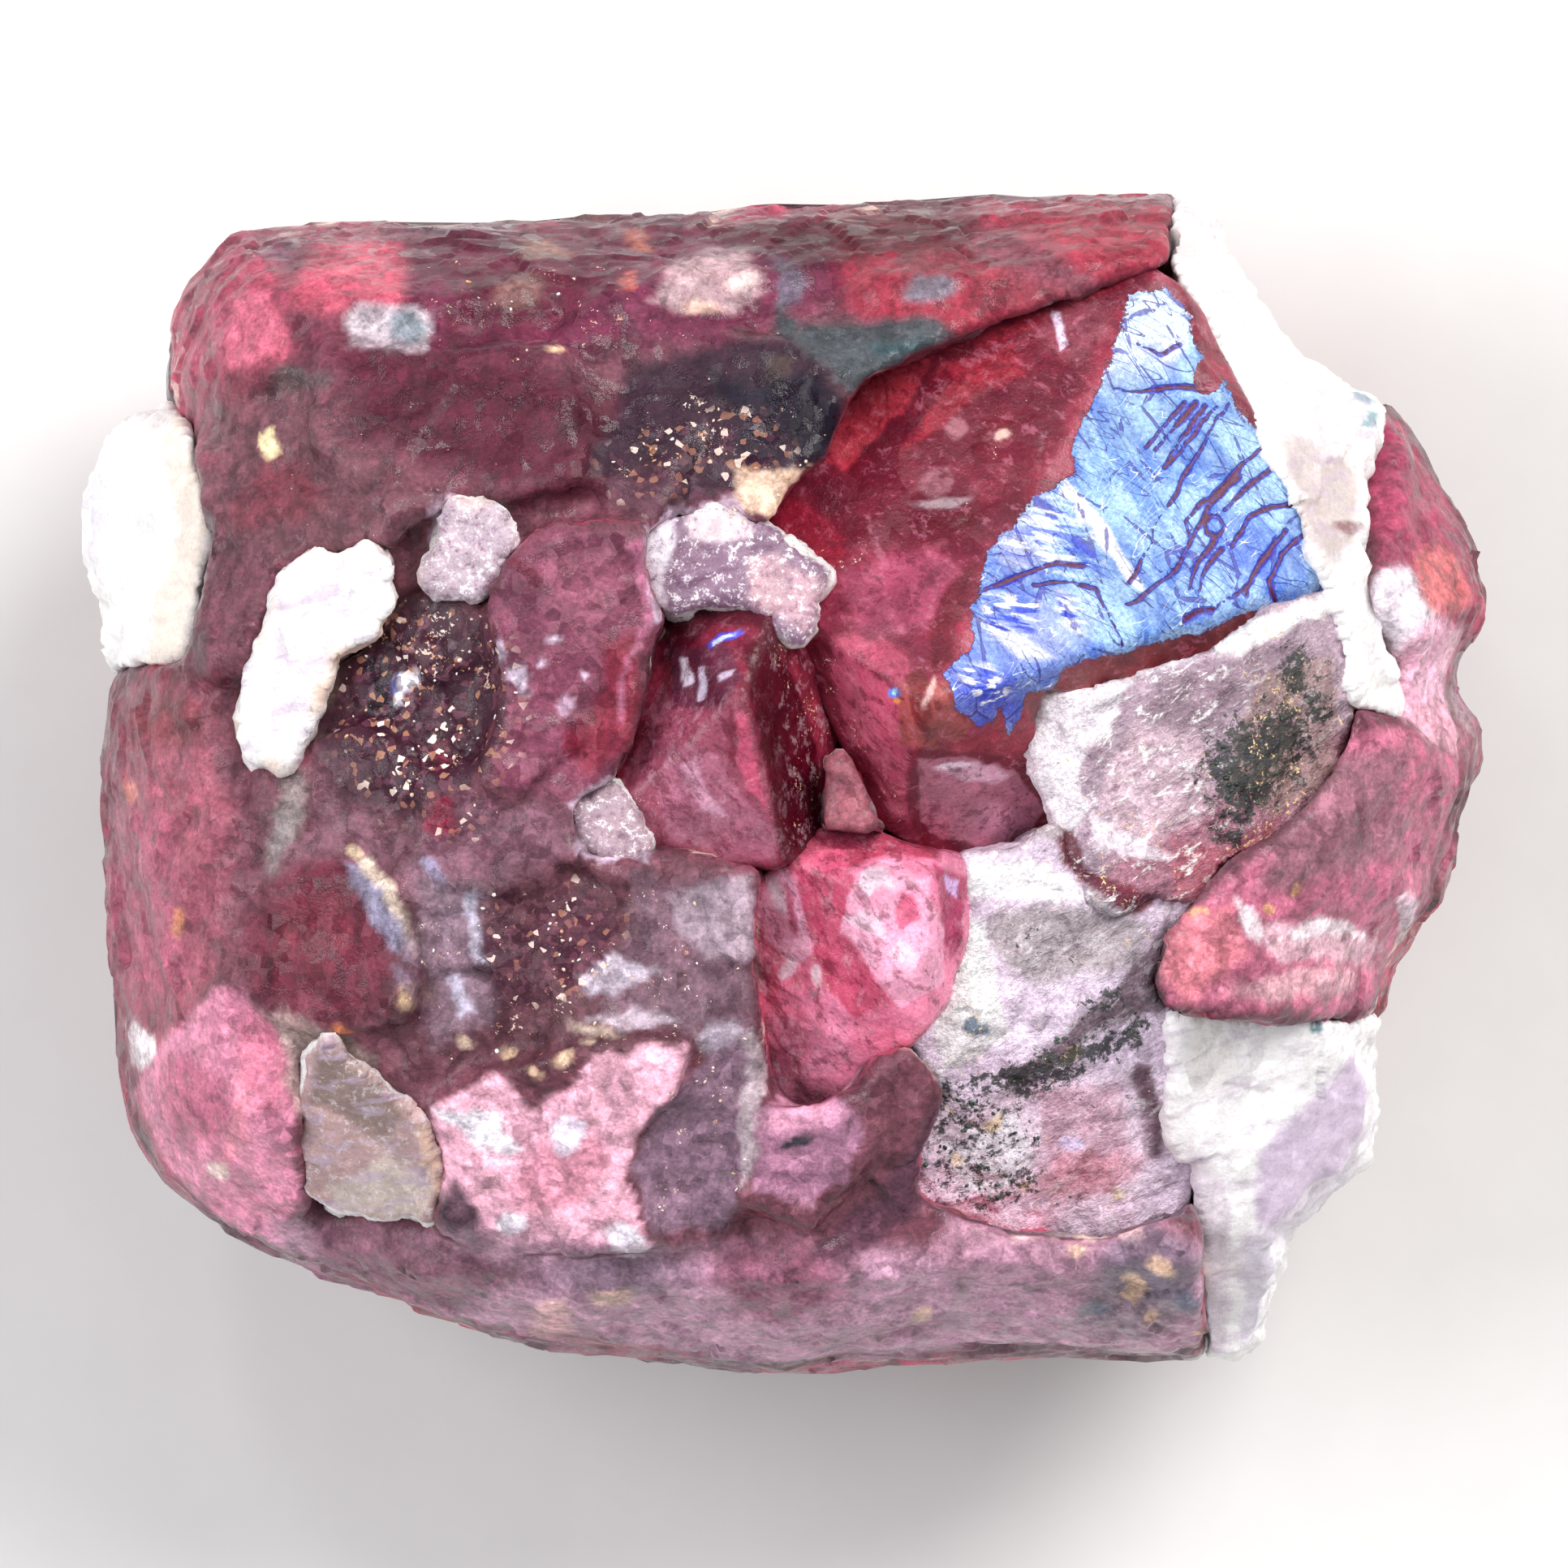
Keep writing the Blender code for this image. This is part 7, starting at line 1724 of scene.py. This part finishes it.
class SPECIMEN_OT_crumbs(Operator):
    """Scatters calcite crumbs and green specks over the finished surfaces"""

    bl_idname = "specimen.crumbs"
    bl_label = "Crumbs and specks"

    def execute(self, context):
        settings = context.scene.specimen_crumbs
        ground = ["spinel_lump_surface", "calcite_cap_surface"]
        pale = crumb_material("Calcite crumbs", (206, 146, 92), "white")
        make_crumbs("calcite_crumbs", ground, CRUMB_SPOTS, settings, settings.crumb, pale, "calcite", 5)
        marbles = ["veined_marble_slab_surface", "speckled_marble_surface"]
        green = crumb_material("Green specks", (24, 34, 36), (70, 92, 76))
        make_crumbs("green_specks", marbles, SPECK_SPOTS, settings, settings.speck, green, "marble", 9)
        return {"FINISHED"}


FLOOR_REACH = 0.6  # metres
AIM = Vector((0.0, 0.0, 0.005))
# Each soft light, which has the power of the setting of its name: (name, place, width, tint), in metres.
LIGHTS = (
    ("key", (0.095, 0.105, 0.16), 0.11, (1.0, 0.98, 0.96)),
    ("fill", (-0.14, 0.02, 0.15), 0.14, (0.96, 0.97, 1.0)),
    ("spark", (-0.05, 0.11, 0.15), 0.022, (1.0, 1.0, 1.0)),
)
SKY_COLOUR = (0.93, 0.94, 0.97, 1)
SKY_STRENGTH = 0.47
SENSOR_WIDTH = 36.0  # mm


def soft_light(name, place, wide, power, tint):
    data = bpy.data.lights.new(name, "AREA")
    data.shape = "DISK"
    data.size = wide
    data.energy = power
    data.color = tint
    light = bpy.data.objects.new(name, data)
    light.location = place
    light.rotation_euler = (Vector(place) - AIM).to_track_quat("Z", "Y").to_euler()
    bpy.context.scene.collection.objects.link(light)


def pale_floor(material):
    """A flat round floor under the resting face."""
    mesh = bpy.data.meshes.new("floor")
    form = bmesh.new()
    bmesh.ops.create_circle(form, cap_ends=True, radius=FLOOR_REACH, segments=96)
    form.to_mesh(mesh)
    form.free()
    mesh.materials.append(material)
    floor = bpy.data.objects.new("floor", mesh)
    bpy.context.scene.collection.objects.link(floor)


def studio_sky():
    world = bpy.data.worlds.new("Studio")
    world.use_nodes = True
    sky = world.node_tree.nodes["Background"]
    sky.inputs["Color"].default_value = SKY_COLOUR
    sky.inputs["Strength"].default_value = SKY_STRENGTH
    return world


def overhead_camera(lens, width):
    """A camera straight above, far enough off to see width across at the level of the crown's edge."""
    data = bpy.data.cameras.new("camera")
    data.lens = lens
    data.sensor_width = SENSOR_WIDTH
    data.sensor_fit = "AUTO"
    data.clip_start = 0.001
    data.clip_end = 5.0
    camera = bpy.data.objects.new("camera", data)
    camera.location = (0.0, 0.0, CROWN_EDGE * MM + width * lens / SENSOR_WIDTH)
    bpy.context.scene.collection.objects.link(camera)
    return camera


class SPECIMEN_OT_stage(Operator):
    """Adds the pale floor, the soft studio lights and the camera"""

    bl_idname = "specimen.stage"
    bl_label = "Stage"

    def execute(self, context):
        settings = context.scene.specimen_stage
        pale_floor(floor_material())
        for name, place, wide, tint in LIGHTS:
            soft_light(name, place, wide, getattr(settings, name), tint)
        context.scene.world = studio_sky()
        context.scene.view_settings.view_transform = "Standard"
        context.scene.camera = overhead_camera(settings.lens, settings.width)
        return {"FINISHED"}


GROUPS = {
    "specimen_lump": SpecimenLump,
    "specimen_blue": SpecimenBlue,
    "specimen_red": SpecimenRed,
    "specimen_marble": SpecimenMarble,
    "specimen_calcite": SpecimenCalcite,
    "specimen_crumbs": SpecimenCrumbs,
    "specimen_stage": SpecimenStage,
}
OPERATORS = (
    SPECIMEN_OT_lump, SPECIMEN_OT_blue, SPECIMEN_OT_red, SPECIMEN_OT_marble, SPECIMEN_OT_calcite,
    SPECIMEN_OT_crumbs, SPECIMEN_OT_stage,
)


class SPECIMEN_PT_panel(Panel):
    """The specimen's buttons, each over its own settings"""

    bl_idname = "SPECIMEN_PT_panel"
    bl_label = "Spinel specimen"
    bl_space_type = "VIEW_3D"
    bl_region_type = "UI"
    bl_category = "Specimen"

    def draw(self, context):
        for operator, (group, kind) in zip(OPERATORS, GROUPS.items()):
            box = self.layout.box()
            box.operator(operator.bl_idname)
            for name in kind.__annotations__:
                box.prop(getattr(context.scene, group), name)


def register():
    for kind in (*GROUPS.values(), *OPERATORS, SPECIMEN_PT_panel):
        bpy.utils.register_class(kind)
    for name, kind in GROUPS.items():
        setattr(bpy.types.Scene, name, PointerProperty(type=kind))


def unregister():
    for name in GROUPS:
        delattr(bpy.types.Scene, name)
    for kind in (SPECIMEN_PT_panel, *reversed(OPERATORS), *GROUPS.values()):
        bpy.utils.unregister_class(kind)


def main():
    register()
    bpy.ops.specimen.lump()
    bpy.ops.specimen.blue()
    bpy.ops.specimen.red()
    bpy.ops.specimen.marble()
    bpy.ops.specimen.calcite()
    bpy.ops.specimen.crumbs()
    bpy.ops.specimen.stage()


if __name__ == "__main__":
    main()
